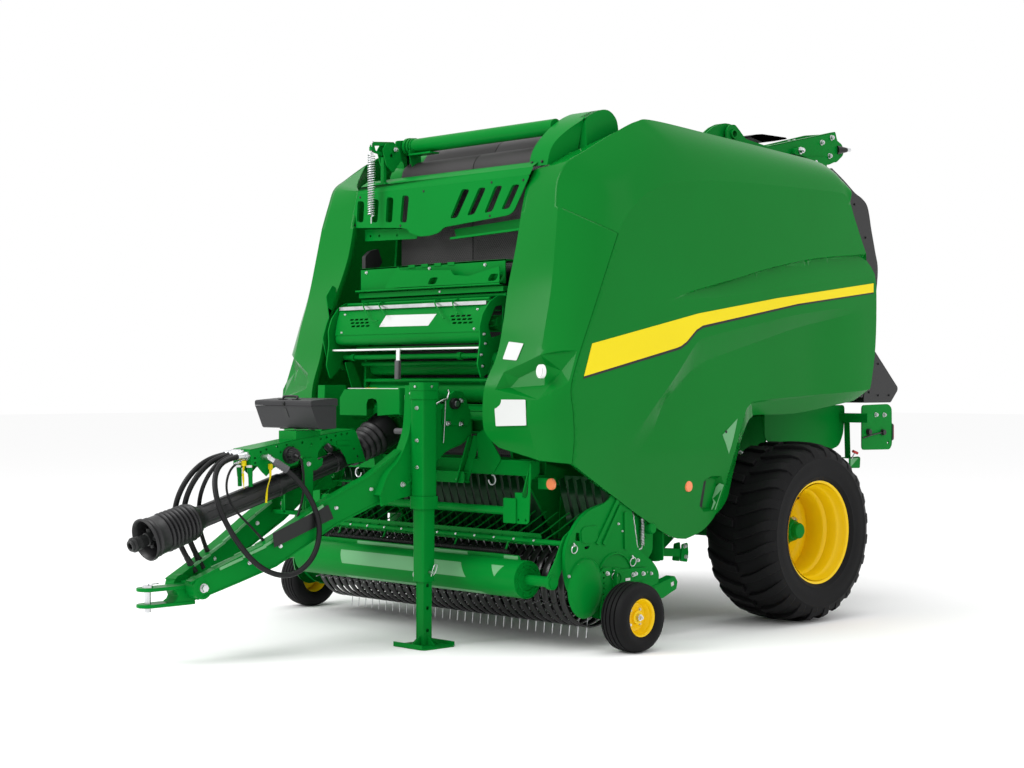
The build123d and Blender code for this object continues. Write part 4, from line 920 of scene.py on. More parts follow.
# ---- grille ---------------------------------------------------------------------------
# Front sheet with four upright slots, a bare centre and four leaning slots; its top edge
# folds back to the belts, a stiffener sits behind it and screws run along its edges.
bm = bmesh.new()
GRILLE_Y = -0.56
sheet = rounded([
    (-0.746, 2.294), (-0.69, 2.487), (0.749, 2.487), (0.627, 2.301), (0.584, 2.282), (0.072, 2.249), (0.025, 2.22),
    (-0.05, 2.209), (-0.134, 2.208), (-0.223, 2.235), (-0.239, 2.257), (-0.3, 2.268),
], 0.02)
slots = [
    [(-0.693, 2.324), (-0.633, 2.32), (-0.624, 2.44), (-0.684, 2.45)],
    [(-0.564, 2.315), (-0.505, 2.312), (-0.491, 2.442), (-0.55, 2.452)],
    [(-0.432, 2.307), (-0.375, 2.304), (-0.362, 2.445), (-0.42, 2.453)],
    [(-0.304, 2.299), (-0.247, 2.295), (-0.226, 2.444), (-0.283, 2.454)],
    [(0.119, 2.293), (0.178, 2.295), (0.28, 2.443), (0.219, 2.451)],
    [(0.257, 2.3), (0.318, 2.306), (0.411, 2.443), (0.355, 2.448)],
    [(0.396, 2.306), (0.46, 2.312), (0.54, 2.444), (0.482, 2.448)],
    [(0.529, 2.316), (0.591, 2.318), (0.673, 2.441), (0.617, 2.443)],
]
front_plate(bm, sheet, GRILLE_Y, 0.004, holes=[rounded(slot, 0.018) for slot in slots])
# rims turned in round the slots
for slot in slots:
    rim = rounded(slot, 0.018)
    add_strip(bm, [[(x, GRILLE_Y - 0.002, z) for x, z in rim], [(x, GRILLE_Y + 0.012, z) for x, z in rim]], close=True)
# top edge folded back, in two bends
for (y0, z0), (y1, z1) in (
    ((-0.564, 2.487), (-0.548, 2.53)), ((-0.548, 2.53), (-0.505, 2.562)), ((-0.505, 2.562), (-0.47, 2.566))
):
    left0, left1 = -0.69 + (z0 - 2.487) * 0.35, -0.69 + (z1 - 2.487) * 0.35
    add_strip(bm, [[(left0, y0, z0), (0.749, y0, z0)], [(left1, y1, z1), (0.76, y1, z1)]])
add_strip(bm, [[(-0.69, -0.56, 2.487), (0.749, -0.56, 2.487)], [(-0.68, -0.545, 2.525), (0.75, -0.545, 2.525)]])
# stiffener behind the right half, its foot folded forward
front_plate(bm, [(0.08, 2.24), (0.69, 2.27), (0.69, 2.205), (0.1, 2.185)], -0.49, 0.004)
add_strip(bm, [[(0.1, -0.494, 2.185), (0.69, -0.494, 2.205)], [(0.1, -0.545, 2.18), (0.69, -0.545, 2.2)]])
add_strip(bm, [[(0.1, -0.545, 2.18), (0.69, -0.545, 2.2)], [(0.1, -0.545, 2.192), (0.69, -0.545, 2.212)]])
front_plate(
    bm, [(-0.69, 2.285), (-0.2, 2.262), (-0.23, 2.205), (-0.69, 2.215)], -0.5, 0.004,
    holes=[circle_of(-0.56, 2.24, 0.008), circle_of(-0.4, 2.235, 0.008), circle_of(-0.64, 2.243, 0.008)]
)
for x, z in ((-0.1, 2.462), (0.455, 2.468), (0.44, 2.288), (-0.66, 2.468), (-0.705, 2.308), (-0.3, 2.28), (0.7, 2.462)):
    add_rod(bm, (x, GRILLE_Y - 0.004, z), (x, GRILLE_Y - 0.007, z), 0.0075, 0.006, sides=14, finish=1)
piece_of("grille_sheet", bm, "chassis", [green, dark_steel], ["grille"], bevel=0.0012, angle=30)

# ---- belts ----------------------------------------------------------------------------
# Two wide rubber belts, a diamond tread woven into them, that run up the front, over two
# rollers above the grille and round the chamber; the gap between them is left of the middle.
def add_sheet(bm, line, places, close=False):
    """Sheet that carries a (y, z) line across the machine, through the places in x."""
    return add_strip(bm, [[(x, y, z) for y, z in line] for x in places], close=close)


def belt_finish():
    """Rubber with two crossing sets of fine ridges, its grooves coloured near-black as painted shade."""
    material = finish_of("belt tread", (0.05, 0.047, 0.048), (0.04, 0.038, 0.039), 0.55, specular=0.35, grain=260, relief=0.1)
    nodes, links = material.node_tree.nodes, material.node_tree.links
    place = nodes.new("ShaderNodeTexCoord")
    parts = nodes.new("ShaderNodeSeparateXYZ")
    links.new(place.outputs["Object"], parts.inputs["Vector"])

    def work(operation, *values):
        """Math node on numbers or on the sockets of other nodes."""
        step = nodes.new("ShaderNodeMath")
        step.operation = operation
        for inlet, value in zip(step.inputs, values):
            if isinstance(value, (int, float)):
                inlet.default_value = value
            else:
                links.new(value, inlet)
        return step.outputs[0]

    run = work("ADD", parts.outputs["Y"], parts.outputs["Z"])
    slanted = [work("MULTIPLY_ADD", run, way * 0.8, parts.outputs["X"]) for way in (1, -1)]
    both = work("MAXIMUM", *(work("SINE", work("MULTIPLY", line, 2 * pi / 0.016)) for line in slanted))
    # grooves near-black and crowns lighter: painted shade in the tread's grooves
    shade = nodes.new("ShaderNodeValToRGB")
    groove, crown = shade.color_ramp.elements
    groove.position, crown.position = 0.35, 0.9
    groove.color, crown.color = (0.008, 0.008, 0.008, 1), (0.055, 0.05, 0.052, 1)
    links.new(both, shade.inputs["Fac"])
    links.new(shade.outputs["Color"], nodes["Principled BSDF"].inputs["Base Color"])
    relief = nodes.new("ShaderNodeBump")
    dial(relief, {"Strength": 0.6, "Distance": 0.001})
    links.new(both, relief.inputs["Height"])
    links.new(relief.outputs["Normal"], nodes["Principled BSDF"].inputs["Normal"])
    return material


def arc_of(cy, cz, radius, start, end, steps):
    """Points of an arc in the (y, z) plane, its angles in degrees from +Y to +Z."""
    return [
        (
            cy + radius * cos(radians(start + (end - start) * i / steps)),
            cz + radius * sin(radians(start + (end - start) * i / steps))
        )
        for i in range(steps + 1)
    ]


belt_rubber = belt_finish()
loop = [
    *[(-0.4, 1.55 + 0.1 * i) for i in range(10)],
    *arc_of(-0.3, 2.574, 0.1, 180, 62, 14),
    *arc_of(-0.12, 2.655, 0.11, 150, 88, 8),
    *[(0.1 + 0.15 * i, 2.752 - 0.006 * i) for i in range(6)],
    *arc_of(0.975, 2.626, 0.096, 88, 70, 3),
    *arc_of(1.455, 2.475, 0.096, 70, 22, 6),
    *[(1.6, 2.38), (1.66, 2.23)],
    *arc_of(1.622, 2.09, 0.096, 22, -4, 4),
    *[(1.71, 1.85), (1.695, 1.6)],
    *arc_of(1.585, 1.42, 0.096, -4, -62, 6),
    *arc_of(1.33, 0.89, 0.096, -40, -74, 5),
    *arc_of(0.89, 0.755, 0.096, -74, -91, 3),
    (0.7, 0.655),
    *arc_of(0.475, 0.745, 0.096, -91, -150, 6),
    *arc_of(-0.2, 1.02, 0.096, -150, -192, 6),
    (-0.36, 1.3),
]
bm = bmesh.new()
for low, high in ((-0.481, 0.128), (0.134, 0.59)):
    rows = []
    for x, shrink in ((low, 0.0095), (low, 0.001), (low + 0.002, 0.0), (high - 0.002, 0.0), (high, 0.001), (high, 0.0095)):
        row = []
        for before, spot, after in zip([loop[-1], *loop], loop, [*loop[1:], loop[0]]):
            ahead = (Vector(after) - Vector(before)).normalized()
            row.append((x, spot[0] + ahead.y * shrink, spot[1] - ahead.x * shrink))
        rows.append(row)
    rows.append(rows[0])
    add_strip(bm, rows, close=True)
# the left belt's edge, which runs out past the chamber wall over the two front rollers
brim = loop[8:36]
add_sheet(bm, brim, (0.585, 0.668))
piece_of("belt_set", bm, "chassis", [belt_rubber], ["belts"], angle=40)

# ---- shelf ----------------------------------------------------------------------------
# Folded sheet across the chamber's front: a back panel, a lighter front plate with a cut
# upper edge and oval holes, and the two folded beams below it.
def cross_rod(bm, half, y, z, radius, sides=18, finish=0):
    """Rod across the machine, reaching half its length to each side."""
    add_rod(bm, (-half, y, z), (half, y, z), radius, sides=sides, finish=finish)


bm = bmesh.new()
front_plate(bm, [(-0.604, 1.915), (-0.604, 2.045), (0.604, 2.045), (0.604, 1.915)], -0.6, 0.006)
add_box(bm, (-0.604, -0.606, 2.036), (0.604, -0.45, 2.044))
for x in (-0.18, -0.07, 0.04, 0.15):
    add_box(bm, (x, -0.61, 2.03), (x + 0.055, -0.6, 2.047))
plate = rounded([
    (-0.34, 1.92), (-0.225, 2.04), (-0.205, 2.017), (0.22, 2.0), (0.24, 1.972), (0.363, 1.961), (0.473, 1.982),
    (0.604, 2.005), (0.604, 1.918),
], 0.01)
ovals = [rounded([(x - 0.045, 1.928), (x + 0.02, 1.928), (x + 0.045, 1.965), (x - 0.02, 1.965)], 0.016) for x in (0.072, 0.555)]
front_plate(bm, plate, -0.644, 0.005, holes=ovals)
for oval in ovals:
    add_strip(bm, [[(x, -0.646, z) for x, z in oval], [(x, -0.615, z) for x, z in oval]], close=True)
add_strip(
    bm,
    [
        [(-0.604, -0.649, 1.916), (0.604, -0.649, 1.916)], [(-0.604, -0.649, 1.908), (0.604, -0.649, 1.908)],
        [(-0.604, -0.6, 1.902), (0.604, -0.6, 1.902)]
    ]
)
add_box(bm, (-0.604, -0.62, 1.872), (0.604, -0.56, 1.9))
cross_rod(bm, 0.604, -0.59, 1.856, 0.012, sides=16)
for x in (-0.55, 0.0, 0.45):
    add_nut(bm, (x, -0.606, 2.02), (0, -1, 0), 0.014, finish=1)
add_nut(bm, (0.1, -0.62, 1.886), (0, -1, 0), 0.01, finish=1)
# black guide block on the right wall, behind the shelf's end
guide = rounded(
    [(-0.6, 2.115), (-0.56, 2.15), (-0.5, 2.165), (-0.47, 2.086), (-0.51, 2.042), (-0.54, 1.975), (-0.6, 1.96)], 0.008
)
side_plate(bm, guide, -0.6, 0.03, finish=2)
piece_of("shelf_sheet", bm, "chassis", [green, zinc, plastic], ["shelf"], bevel=0.0015, angle=30)

# ---- net box and cover ----------------------------------------------------------------
# Curved cover with a pale top edge, two groups of slots and a blank plate; bent rods, the
# pale and the green cross rods, the lock lever, and a shaped side plate with bolts and hub.
COVER_LOW, COVER_HIGH = -0.68, 0.56
bm = bmesh.new()
cover = eased([(-0.65, 1.829), (-0.676, 1.822), (-0.7, 1.79), (-0.722, 1.72), (-0.734, 1.655)], 5)
under = eased([(-0.734, 1.655), (-0.735, 1.63), (-0.722, 1.606), (-0.69, 1.596), (-0.66, 1.6)], 5)
slots = []
for start in (-0.56, 0.3):
    for row in range(3):
        top, low = 0.748 - 0.019 * row, 0.738 - 0.019 * row
        for i in range(4):
            x = start + row * 0.012 + 0.043 * i
            slots.append([(x, top), (x + 0.03, top), (x + 0.024, low), (x - 0.006, low)])


def on_cover(u, v, w):
    """Place on the cover's face, v being z less one metre."""
    z = 1 + v
    for (y0, z0), (y1, z1) in zip(cover, cover[1:]):
        if z1 <= z <= z0:
            return (u, y0 + (y1 - y0) * (z0 - z) / (z0 - z1) - w, z)
    return (u, cover[-1][0] - w, z)


rows = [z - 1 for y, z in cover[4:]]
grid = [(COVER_LOW, v) for v in rows] + [(COVER_HIGH, v) for v in reversed(rows)]
add_plate(bm, grid, on_cover, 0.004, holes=slots)
top_edge = [point for point in cover if point[1] >= cover[4][1] - 0.0001]
add_sheet(bm, top_edge, (COVER_LOW, COVER_HIGH))
add_sheet(bm, under, (COVER_LOW, COVER_HIGH))
add_strip(bm, [[(x, y + 0.004, z) for y, z in under] for x in (COVER_LOW, COVER_HIGH)])
for x in (COVER_LOW, COVER_HIGH - 0.004):
    side_plate(bm, [*cover, *under[1:], (-0.69, 1.64), (-0.68, 1.76), (-0.65, 1.8)], x, 0.004)
# pale strip along the top edge
add_box(bm, (COVER_LOW, -0.706, 1.8), (COVER_HIGH, -0.684, 1.82), finish=1)
label = [(-0.248, 0.762), (0.179, 0.759), (0.127, 0.695), (-0.291, 0.697)]
add_plate(bm, label, lambda u, v, w: on_cover(u, v, w + 0.004), 0.0015, finish=2)
for x, z in ((-0.62, 1.775), (0.5, 1.775), (-0.62, 1.67), (0.5, 1.67)):
    add_nut(bm, on_cover(x, z - 1, 0.004), (0, -1, 0.2), 0.01, finish=1)
add_rod(bm, (COVER_LOW + 0.02, -0.655, 1.835), (COVER_HIGH - 0.02, -0.655, 1.835), 0.008, sides=16)
piece_of("net_cover_sheet", bm, "net_cover", [green, zinc, blank_label], ["net_cover"], bevel=0.001, angle=30)

bm = bmesh.new()
add_box(bm, (-0.604, -0.64, 1.56), (0.575, -0.545, 1.566))
add_strip(bm, [[(-0.604, -0.64, 1.56), (0.575, -0.64, 1.56)], [(-0.604, -0.64, 1.588), (0.575, -0.64, 1.588)]])
add_rod(bm, (-0.695, -0.6, 1.7), (0.575, -0.6, 1.7), 0.045, sides=40)
add_rod(bm, (-0.69, -0.655, 1.528), (0.575, -0.655, 1.528), 0.014, sides=20)
for x in (-0.62, 0.29, 0.48):
    add_rod(bm, (x, -0.655, 1.528), (x + 0.03, -0.655, 1.528), 0.021, sides=24)
for y, z, size in ((-0.59, 1.49, 0.012), (-0.57, 1.395, 0.01)):
    cross_rod(bm, 0.604, y, z, size, sides=16)
# right side plate with its slot, bolts and hub, and the shaped plate on the far side
near = rounded([
    (-0.545, 1.56), (-0.545, 1.845), (-0.64, 1.848), (-0.7, 1.815), (-0.752, 1.75), (-0.775, 1.68), (-0.77, 1.6),
    (-0.79, 1.48), (-0.76, 1.4), (-0.7, 1.455), (-0.66, 1.54),
], 0.016)
slot = rounded([(-0.6, 1.8), (-0.66, 1.79), (-0.715, 1.69), (-0.69, 1.62), (-0.61, 1.64)], 0.012)
side_plate(bm, near, 0.575, 0.01, holes=[slot])
side_plate(bm, near, -0.702, 0.01, holes=[slot])
for i in range(5):
    z = 1.655 + 0.028 * i
    add_box(bm, (0.56, -0.69 + 0.012 * i, z), (0.578, -0.61, z + 0.004))
for x, way in ((0.585, 1), (-0.702, -1)):
    add_rod(bm, (x, -0.64, 1.5), (x + way * 0.03, -0.64, 1.5), 0.05, 0.046, sides=36)
    add_rod(bm, (x, -0.64, 1.5), (x + way * 0.045, -0.64, 1.5), 0.022, 0.018, sides=24)
    for turn in range(4):
        spot = (x + way * 0.03, -0.64 + 0.034 * cos(0.8 + turn * pi / 2), 1.5 + 0.034 * sin(0.8 + turn * pi / 2))
        add_nut(bm, spot, (way, 0, 0), 0.01, finish=1)
    for y, z in ((-0.745, 1.64), (-0.735, 1.59), (-0.765, 1.53), (-0.755, 1.47), (-0.56, 1.8)):
        add_nut(bm, (x, y, z), (way, 0, 0), 0.013, finish=1, stud=0.004)
# far lever and slanted guide plates
far = rounded(
    [
        (-0.764, 1.885), (-0.718, 1.95), (-0.691, 1.936), (-0.7, 1.853), (-0.76, 1.728), (-0.79, 1.64), (-0.77, 1.557),
        (-0.745, 1.475), (-0.715, 1.6)
    ],
    0.012
)
side_plate(bm, far, -0.735, 0.008)
for x in (-0.64, 0.59):
    side_plate(bm, rounded([(-0.7, 1.5), (-0.64, 1.5), (-0.56, 1.33), (-0.575, 1.29), (-0.64, 1.33)], 0.01), x, 0.006)
piece_of("net_box_frame", bm, "chassis", [green, zinc], ["net_box"], bevel=0.0015, angle=30)

bm = bmesh.new()
add_rod(bm, (-0.7, -0.74, 1.568), (0.572, -0.74, 1.568), 0.006, sides=12)
for path in (
    [(-0.47, -0.655, 1.842), (-0.459, -0.712, 1.832), (-0.334, -0.76, 1.736), (-0.261, -0.768, 1.731)],
    [(-0.33, -0.655, 1.842), (-0.316, -0.712, 1.823), (-0.206, -0.755, 1.761)],
    [(0.15, -0.655, 1.842), (0.155, -0.712, 1.824), (0.292, -0.765, 1.729)],
    [(0.298, -0.655, 1.842), (0.303, -0.712, 1.816), (0.393, -0.758, 1.753)],
):
    add_tube(bm, path, 0.004, sides=8, finish=1, smooth=4)
piece_of("net_rods", bm, "chassis", [white_lens, green])
bm = bmesh.new()
add_sweep(bm, [(-0.092, -0.76, 1.572), (-0.092, -0.762, 1.5)], flat_bar(0.014, 0.004))
add_sweep(
    bm, [(-0.092, -0.762, 1.505), (-0.092, -0.765, 1.4)],
    [
        (-0.017, -0.009), (-0.012, -0.013), (0.012, -0.013), (0.017, -0.009), (0.017, 0.009), (0.012, 0.013), (-0.012, 0.013),
        (-0.017, 0.009)
    ],
    finish=1
)
piece_of("net_lock_lever", bm, "chassis", [white_lens, grip_grey], bevel=0.002)

# ---- chamber rollers ------------------------------------------------------------------
# Turned steel rollers with stepped ends: three across the front, the lowest of them ribbed,
# and those that carry the belts.
bm = bmesh.new()
ROLLERS = [  # y, z and radius
    (-0.5, 1.465, 0.04), (-0.48, 1.34, 0.07), (-0.47, 1.18, 0.08), (-0.3, 2.574, 0.088), (-0.12, 2.655, 0.098),
    (0.975, 2.626, 0.083), (1.455, 2.475, 0.083), (1.622, 2.09, 0.083), (1.585, 1.42, 0.083), (1.33, 0.89, 0.083),
    (0.475, 0.745, 0.083), (-0.2, 1.02, 0.083),
]
for y, z, radius in ROLLERS:
    profile = [(0, 0), (0, radius * 0.5), (0.004, radius * 0.98), (0.012, radius), (0.6, radius)]
    rows = []
    for x, size in profile + [(1.208 - x, size) for x, size in reversed(profile[1:-1])] + [(1.208, 0)]:
        rows.append([(-0.604 + x, y + size * cos(2 * pi * i / 36), z + size * sin(2 * pi * i / 36)) for i in range(36)])
    add_strip(bm, rows, close=True)
y, z, radius = ROLLERS[2]  # ribs along the starter roller
for rib_y, rib_z in circle_of(y, z, radius + 0.002, sides=10):
    cross_rod(bm, 0.598, rib_y, rib_z, 0.005, sides=8)
piece_of("roller_set", bm, "chassis", [green], ["chamber_rollers"], angle=30)

# ---- hose bracket ---------------------------------------------------------------------
# Long folded channel over the drive shaft: shaped side plates full of holes with a hook and a
# pointed tab, a top plate, bulkhead fittings, plug and cap, lanyards and the stand below.
BRACKET = eased([(-1.888, 1.043), (-1.6, 1.086), (-1.311, 1.122), (-1.215, 1.134)], 2) + [
    (-1.2, 1.12), (-1.17, 1.05), (-1.133, 0.961), (-1.256, 0.949), (-1.275, 0.99), (-1.31, 1.032), (-1.36, 1.054),
    (-1.43, 1.05), (-1.455, 1.02), (-1.462, 0.985), (-1.448, 0.975), (-1.436, 0.99), (-1.424, 0.985), (-1.43, 0.95),
    (-1.47, 0.925), (-1.52, 0.925), (-1.545, 0.955), (-1.56, 1.0), (-1.575, 1.0), (-1.59, 0.96), (-1.64, 0.948),
    (-1.7, 0.962), (-1.745, 0.945), (-1.79, 0.905), (-1.82, 0.93), (-1.85, 0.962), (-1.888, 0.962),
]
BRACKET_HOLES = [
    (-1.862, 1.0), (-1.826, 1.03), (-1.79, 1.042), (-1.76, 1.01), (-1.722, 1.055), (-1.7, 1.025), (-1.66, 1.062),
    (-1.62, 1.05), (-1.56, 1.072), (-1.5, 1.06), (-1.44, 1.088), (-1.4, 1.095), (-1.37, 1.08), (-1.34, 1.102),
    (-1.3, 1.108), (-1.262, 1.112), (-1.215, 1.03), (-1.19, 0.99), (-1.86, 0.975),
]
bm = bmesh.new()
for sign in (1, -1):
    holes = [circle_of(y, z, 0.0065, sides=12) for y, z in BRACKET_HOLES]
    flank(bm, sign, BRACKET, 0.07, 0.006, holes=holes)
    # standing post and its brace
    add_sweep(bm, [(sign * 0.08, -1.53, 0.7), (sign * 0.08, -1.53, 0.99)], flat_bar(0.008, 0.03))
    side_nut(bm, sign, 0.088, -1.53, 0.96, 0.018, finish=1)
    add_nut(bm, (sign * 0.13, -1.53, 0.712), (0, 0, 1), 0.02, finish=1, stud=0.008)
    add_box(bm, (sign * 0.1 - 0.006, -1.56, 0.712), (sign * 0.1 + 0.006, -1.5, 0.77))
top = [(y, z) for y, z in BRACKET[:7]]
add_strip(bm, [[(x, y, z + 0.002) for y, z in top] for x in (-0.076, 0.076)])
add_strip(bm, [[(x, y, z - 0.003) for y, z in top] for x in (-0.076, 0.076)])
add_strip(bm, [[(x, top[0][0], top[0][1] + 0.002), (x, top[0][0], top[0][1] - 0.003)] for x in (-0.076, 0.076)])
front_plate(bm, rounded(oblong(-0.072, 0.962, 0.072, 1.044), 0.008), -1.884, 0.006)
add_box(bm, (-0.183, -1.56, 0.692), (0.183, -1.5, 0.712))
add_box(bm, (-0.074, -1.6, 1.086), (0.074, -1.44, 1.132))
add_box(bm, (0.076, -1.335, 1.052), (0.081, -1.245, 1.074))
# fittings that the hoses leave from, each a nut, a ferrule and a collar
for node, (_, diameter, route) in HOSE_ROUTES.items():
    start, after = Vector(route[0]) / 1000, Vector(route[1]) / 1000
    out = (after - start).normalized()
    add_rod(bm, start - out * 0.03, start - out * 0.012, diameter * 0.85, sides=6, finish=1)
    add_rod(bm, start - out * 0.014, start, diameter * 0.68, sides=20, finish=1)
    add_rod(bm, start, start + out * 0.04, diameter * 0.6, sides=20, finish=1)
# elbow and ribbed sleeve on the left plate, where the loop comes back
end, before = Vector(HOSE_ROUTES["hose_left_loop"][2][-1]) / 1000, Vector(HOSE_ROUTES["hose_left_loop"][2][-2]) / 1000
way = (end - before).normalized()
add_rod(bm, end, end + way * 0.045, 0.015, sides=20, finish=1)
add_rod(bm, (0.074, -1.815, 1.004), (0.135, -1.815, 1.004), 0.014, sides=6, finish=1)
for i in range(7):
    add_rod(bm, end - way * (0.01 + 0.011 * i), end - way * (0.017 + 0.011 * i), 0.0205, sides=20, finish=3)
add_rod(bm, end - way * 0.086, end, 0.0175, sides=20, finish=3)
# round plug on its socket, a spare cap and a clip for the cable
add_rod(bm, (0.076, -1.644, 1.009), (0.1, -1.644, 1.009), 0.046, 0.042, sides=36, finish=2)
add_rod(bm, (0.1, -1.644, 1.009), (0.128, -1.644, 1.009), 0.034, 0.03, sides=32, finish=2)
add_rod(bm, (0.128, -1.644, 1.009), (0.15, -1.64, 1.0), 0.013, 0.01, sides=16, finish=2)
for i in range(12):
    turn = 2 * pi * i / 12
    add_rod(
        bm, (0.1, -1.644 + 0.034 * cos(turn), 1.009 + 0.034 * sin(turn)),
        (0.126, -1.644 + 0.032 * cos(turn), 1.009 + 0.032 * sin(turn)), 0.004, sides=8, finish=2
    )
add_rod(bm, (0.08, -1.4, 1.048), (0.11, -1.4, 1.03), 0.02, 0.016, sides=20, finish=2)
piece_of("hose_bracket_frame", bm, "chassis", [green, zinc, plastic, grip_grey], ["hose_bracket"], bevel=0.0012, angle=30)

# lanyards of the dust caps, the caps, and two spare green couplers that hang below the front
bm = bmesh.new()
for path in (
    [(0.082, -1.771, 0.946), (0.088, -1.776, 0.9), (0.084, -1.792, 0.84), (0.086, -1.8, 0.77)],
    [(0.04, -1.905, 0.966), (0.042, -1.912, 0.93), (0.04, -1.908, 0.88), (0.041, -1.905, 0.846)],
):
    add_sweep(bm, eased(path, 5), flat_bar(0.006, 0.0012))
    add_box(bm, tuple(Vector(path[0]) - Vector((0.009, 0.009, 0.006))), tuple(Vector(path[0]) + Vector((0.009, 0.009, 0.022))))
piece_of("cap_lanyards", bm, "chassis", [film_yellow], bevel=0.0006)
bm = bmesh.new()
for x, y in ((-0.01, -1.9), (0.062, -1.885)):
    add_rod(bm, (x, y, 0.96), (x, y + 0.004, 0.905), 0.014, 0.012, sides=20)
    add_rod(bm, (x, y + 0.004, 0.905), (x, y + 0.006, 0.855), 0.011, sides=16)
    add_rod(bm, (x, y, 0.952), (x, y, 0.965), 0.018, sides=6, finish=1)
piece_of("spare_couplers", bm, "chassis", [green, zinc], bevel=0.001)
bm = bmesh.new()
cable = eased(
    [
        (0.15, -1.64, 1.0), (0.172, -1.64, 0.98), (0.19, -1.64, 0.9), (0.194, -1.65, 0.8), (0.19, -1.68, 0.7),
        (0.176, -1.72, 0.63)
    ],
    8
)
add_tube(bm, cable, 0.006, sides=10)
piece_of("plug_cable", bm, "chassis", [hose_rubber])

# ---- toolbox --------------------------------------------------------------------------
# Moulded box whose front leans back to its foot, with a rim, a hasp and a ribbed floor; the
# lid has a chamfered crown, a lip over the rim, a flat handle, a latch and hinge knuckles.
bm = bmesh.new()
section = [(-1.606, 1.262), (-1.604, 1.255), (-1.56, 1.15), (-1.552, 1.144), (-1.45, 1.144), (-1.442, 1.15), (-1.442, 1.262)]
side_plate(bm, section, -0.272, 0.48)
add_box(bm, (-0.2722, -1.6068, 1.256), (0.2082, -1.4415, 1.262))
for x in (-0.12, 0.0, 0.12):
    add_box(bm, (x - 0.008, -1.552, 1.139), (x + 0.008, -1.44, 1.147))
add_plate(
    bm, rounded([(-0.014, 1.2), (0.014, 1.2), (0.012, 1.25), (-0.012, 1.25)], 0.005), lambda u, v,
    w: (u - 0.02, -1.6 + (1.25 - v) * 0.42 - w, v), 0.004, finish=1
)
piece_of("toolbox_body", bm, "chassis", [box_grey, dark_steel], ["toolbox"], bevel=0.004, angle=25)
bm = bmesh.new()
crown = [
    (-1.6075, 1.2635), (-1.609, 1.28), (-1.605, 1.288), (-1.596, 1.291), (-1.448, 1.302), (-1.434, 1.298), (-1.432, 1.2635)
]
side_plate(bm, crown, -0.2725, 0.481)
handle = [
    (-0.09, -1.56, 1.292), (-0.092, -1.556, 1.304), (-0.078, -1.552, 1.3105), (0.014, -1.552, 1.3105), (0.028, -1.556, 1.304),
    (0.026, -1.56, 1.292)
]
add_tube(bm, handle, 0.0065, sides=16, finish=1, smooth=3)
for x in (-0.091, 0.027):
    add_box(bm, (x - 0.016, -1.578, 1.29), (x + 0.016, -1.542, 1.298), finish=1)
add_box(bm, (-0.03, -1.613, 1.264), (-0.01, -1.608, 1.284), finish=1)
add_rod(bm, (-0.02, -1.611, 1.272), (-0.02, -1.615, 1.272), 0.005, sides=16, finish=1)
for x in (-0.15, 0.15):
    add_rod(bm, (x - 0.02, -1.4265, 1.272), (x + 0.02, -1.4265, 1.272), 0.004, sides=12, finish=1)
piece_of("toolbox_lid_shell", bm, "toolbox_lid", [box_grey, dark_steel, zinc], ["toolbox_lid"], bevel=0.003, angle=25)

# ---- gearbox and its guard ------------------------------------------------------------
# Cast gearbox with ribs and bolted cover; a folded guard with an arched slot, a pale strip
# on its top edge and arms to the headstock.
def add_lathe(bm, origin, axis, profile, sides=48, finish=0, caps=True):
    """Turned body: profile of (distance along the axis, radius) from origin, ends closed by caps."""
    origin, axis = Vector(origin), Vector(axis).normalized()
    turn = axis.to_track_quat("Z", "Y")
    rows = []
    for reach, radius in profile:
        rows.append([
            origin + axis * reach + turn @ Vector((radius * cos(2 * pi * i / sides), radius * sin(2 * pi * i / sides), 0))
            for i in range(sides)
        ])
    made = add_strip(bm, rows, finish, close=True)
    for ring, radius in ((made[0], profile[0][1]), (made[-1], profile[-1][1])):
        if caps and radius > 0.001:
            bm.faces.new(ring).material_index = finish


def side_box(bm, sign, near, far, finish=0):
    """Box on one side of the machine between two opposite corners."""
    low, high = sorted((sign * near[0], sign * far[0]))
    add_box(bm, (low, *near[1:]), (high, *far[1:]), finish)


bm = bmesh.new()
side_plate(bm, rounded([(-0.86, 1.05), (-0.715, 1.045), (-0.701, 1.06), (-0.701, 1.195), (-0.86, 1.198)], 0.02), -0.105, 0.21)
add_lathe(
    bm, (0, -0.935, 1.13), (0, 1, 0), [(0, 0.024), (0.004, 0.04), (0.04, 0.045), (0.05, 0.062), (0.062, 0.066), (0.078, 0.066)]
)
for x, z in circle_of(0, 1.13, 0.055, sides=6):
    add_nut(bm, (x, -0.873, z), (0, -1, 0), 0.011, finish=1)
for x in (-0.109, -0.055, 0.0, 0.055, 0.103):
    add_box(bm, (x, -0.85, 1.19), (x + 0.006, -0.71, 1.203))
add_rod(bm, (0.06, -0.8, 1.195), (0.06, -0.8, 1.218), 0.012, sides=6, finish=1)
for x in (-0.15, 0.15):
    add_rod(bm, (x * 0.7, -0.78, 1.12), (x * 1.05, -0.78, 1.12), 0.04, sides=32)
piece_of("gearbox_casting", bm, "chassis", [green, zinc], ["gearbox"], bevel=0.004, angle=25)

bm = bmesh.new()
arch = [(0.058, 1.205), (0.058, 1.268), (0.07, 1.292), (0.104, 1.298), (0.138, 1.292), (0.15, 1.268), (0.15, 1.205)]
front = [
    (-0.2, 1.205), *[(x - 0.03, z) for x, z in arch], (0.3, 1.218), (0.3, 1.352), (0.28, 1.362), (-0.16, 1.345), (-0.2, 1.3)
]
front_plate(bm, front, -1.086, 0.004)
add_strip(bm, [
    [(-0.2, -1.088, 1.3), (-0.16, -1.088, 1.345), (0.28, -1.088, 1.362), (0.3, -1.088, 1.352)],
    [(-0.2, -0.845, 1.3), (-0.16, -0.845, 1.35), (0.28, -0.845, 1.37), (0.3, -0.845, 1.36)],
])
for x, high in ((-0.2, 1.3), (0.296, 1.355)):
    side_plate(bm, [(-1.086, 1.21), (-0.845, 1.24), (-0.845, high), (-1.086, high)], x, 0.004)
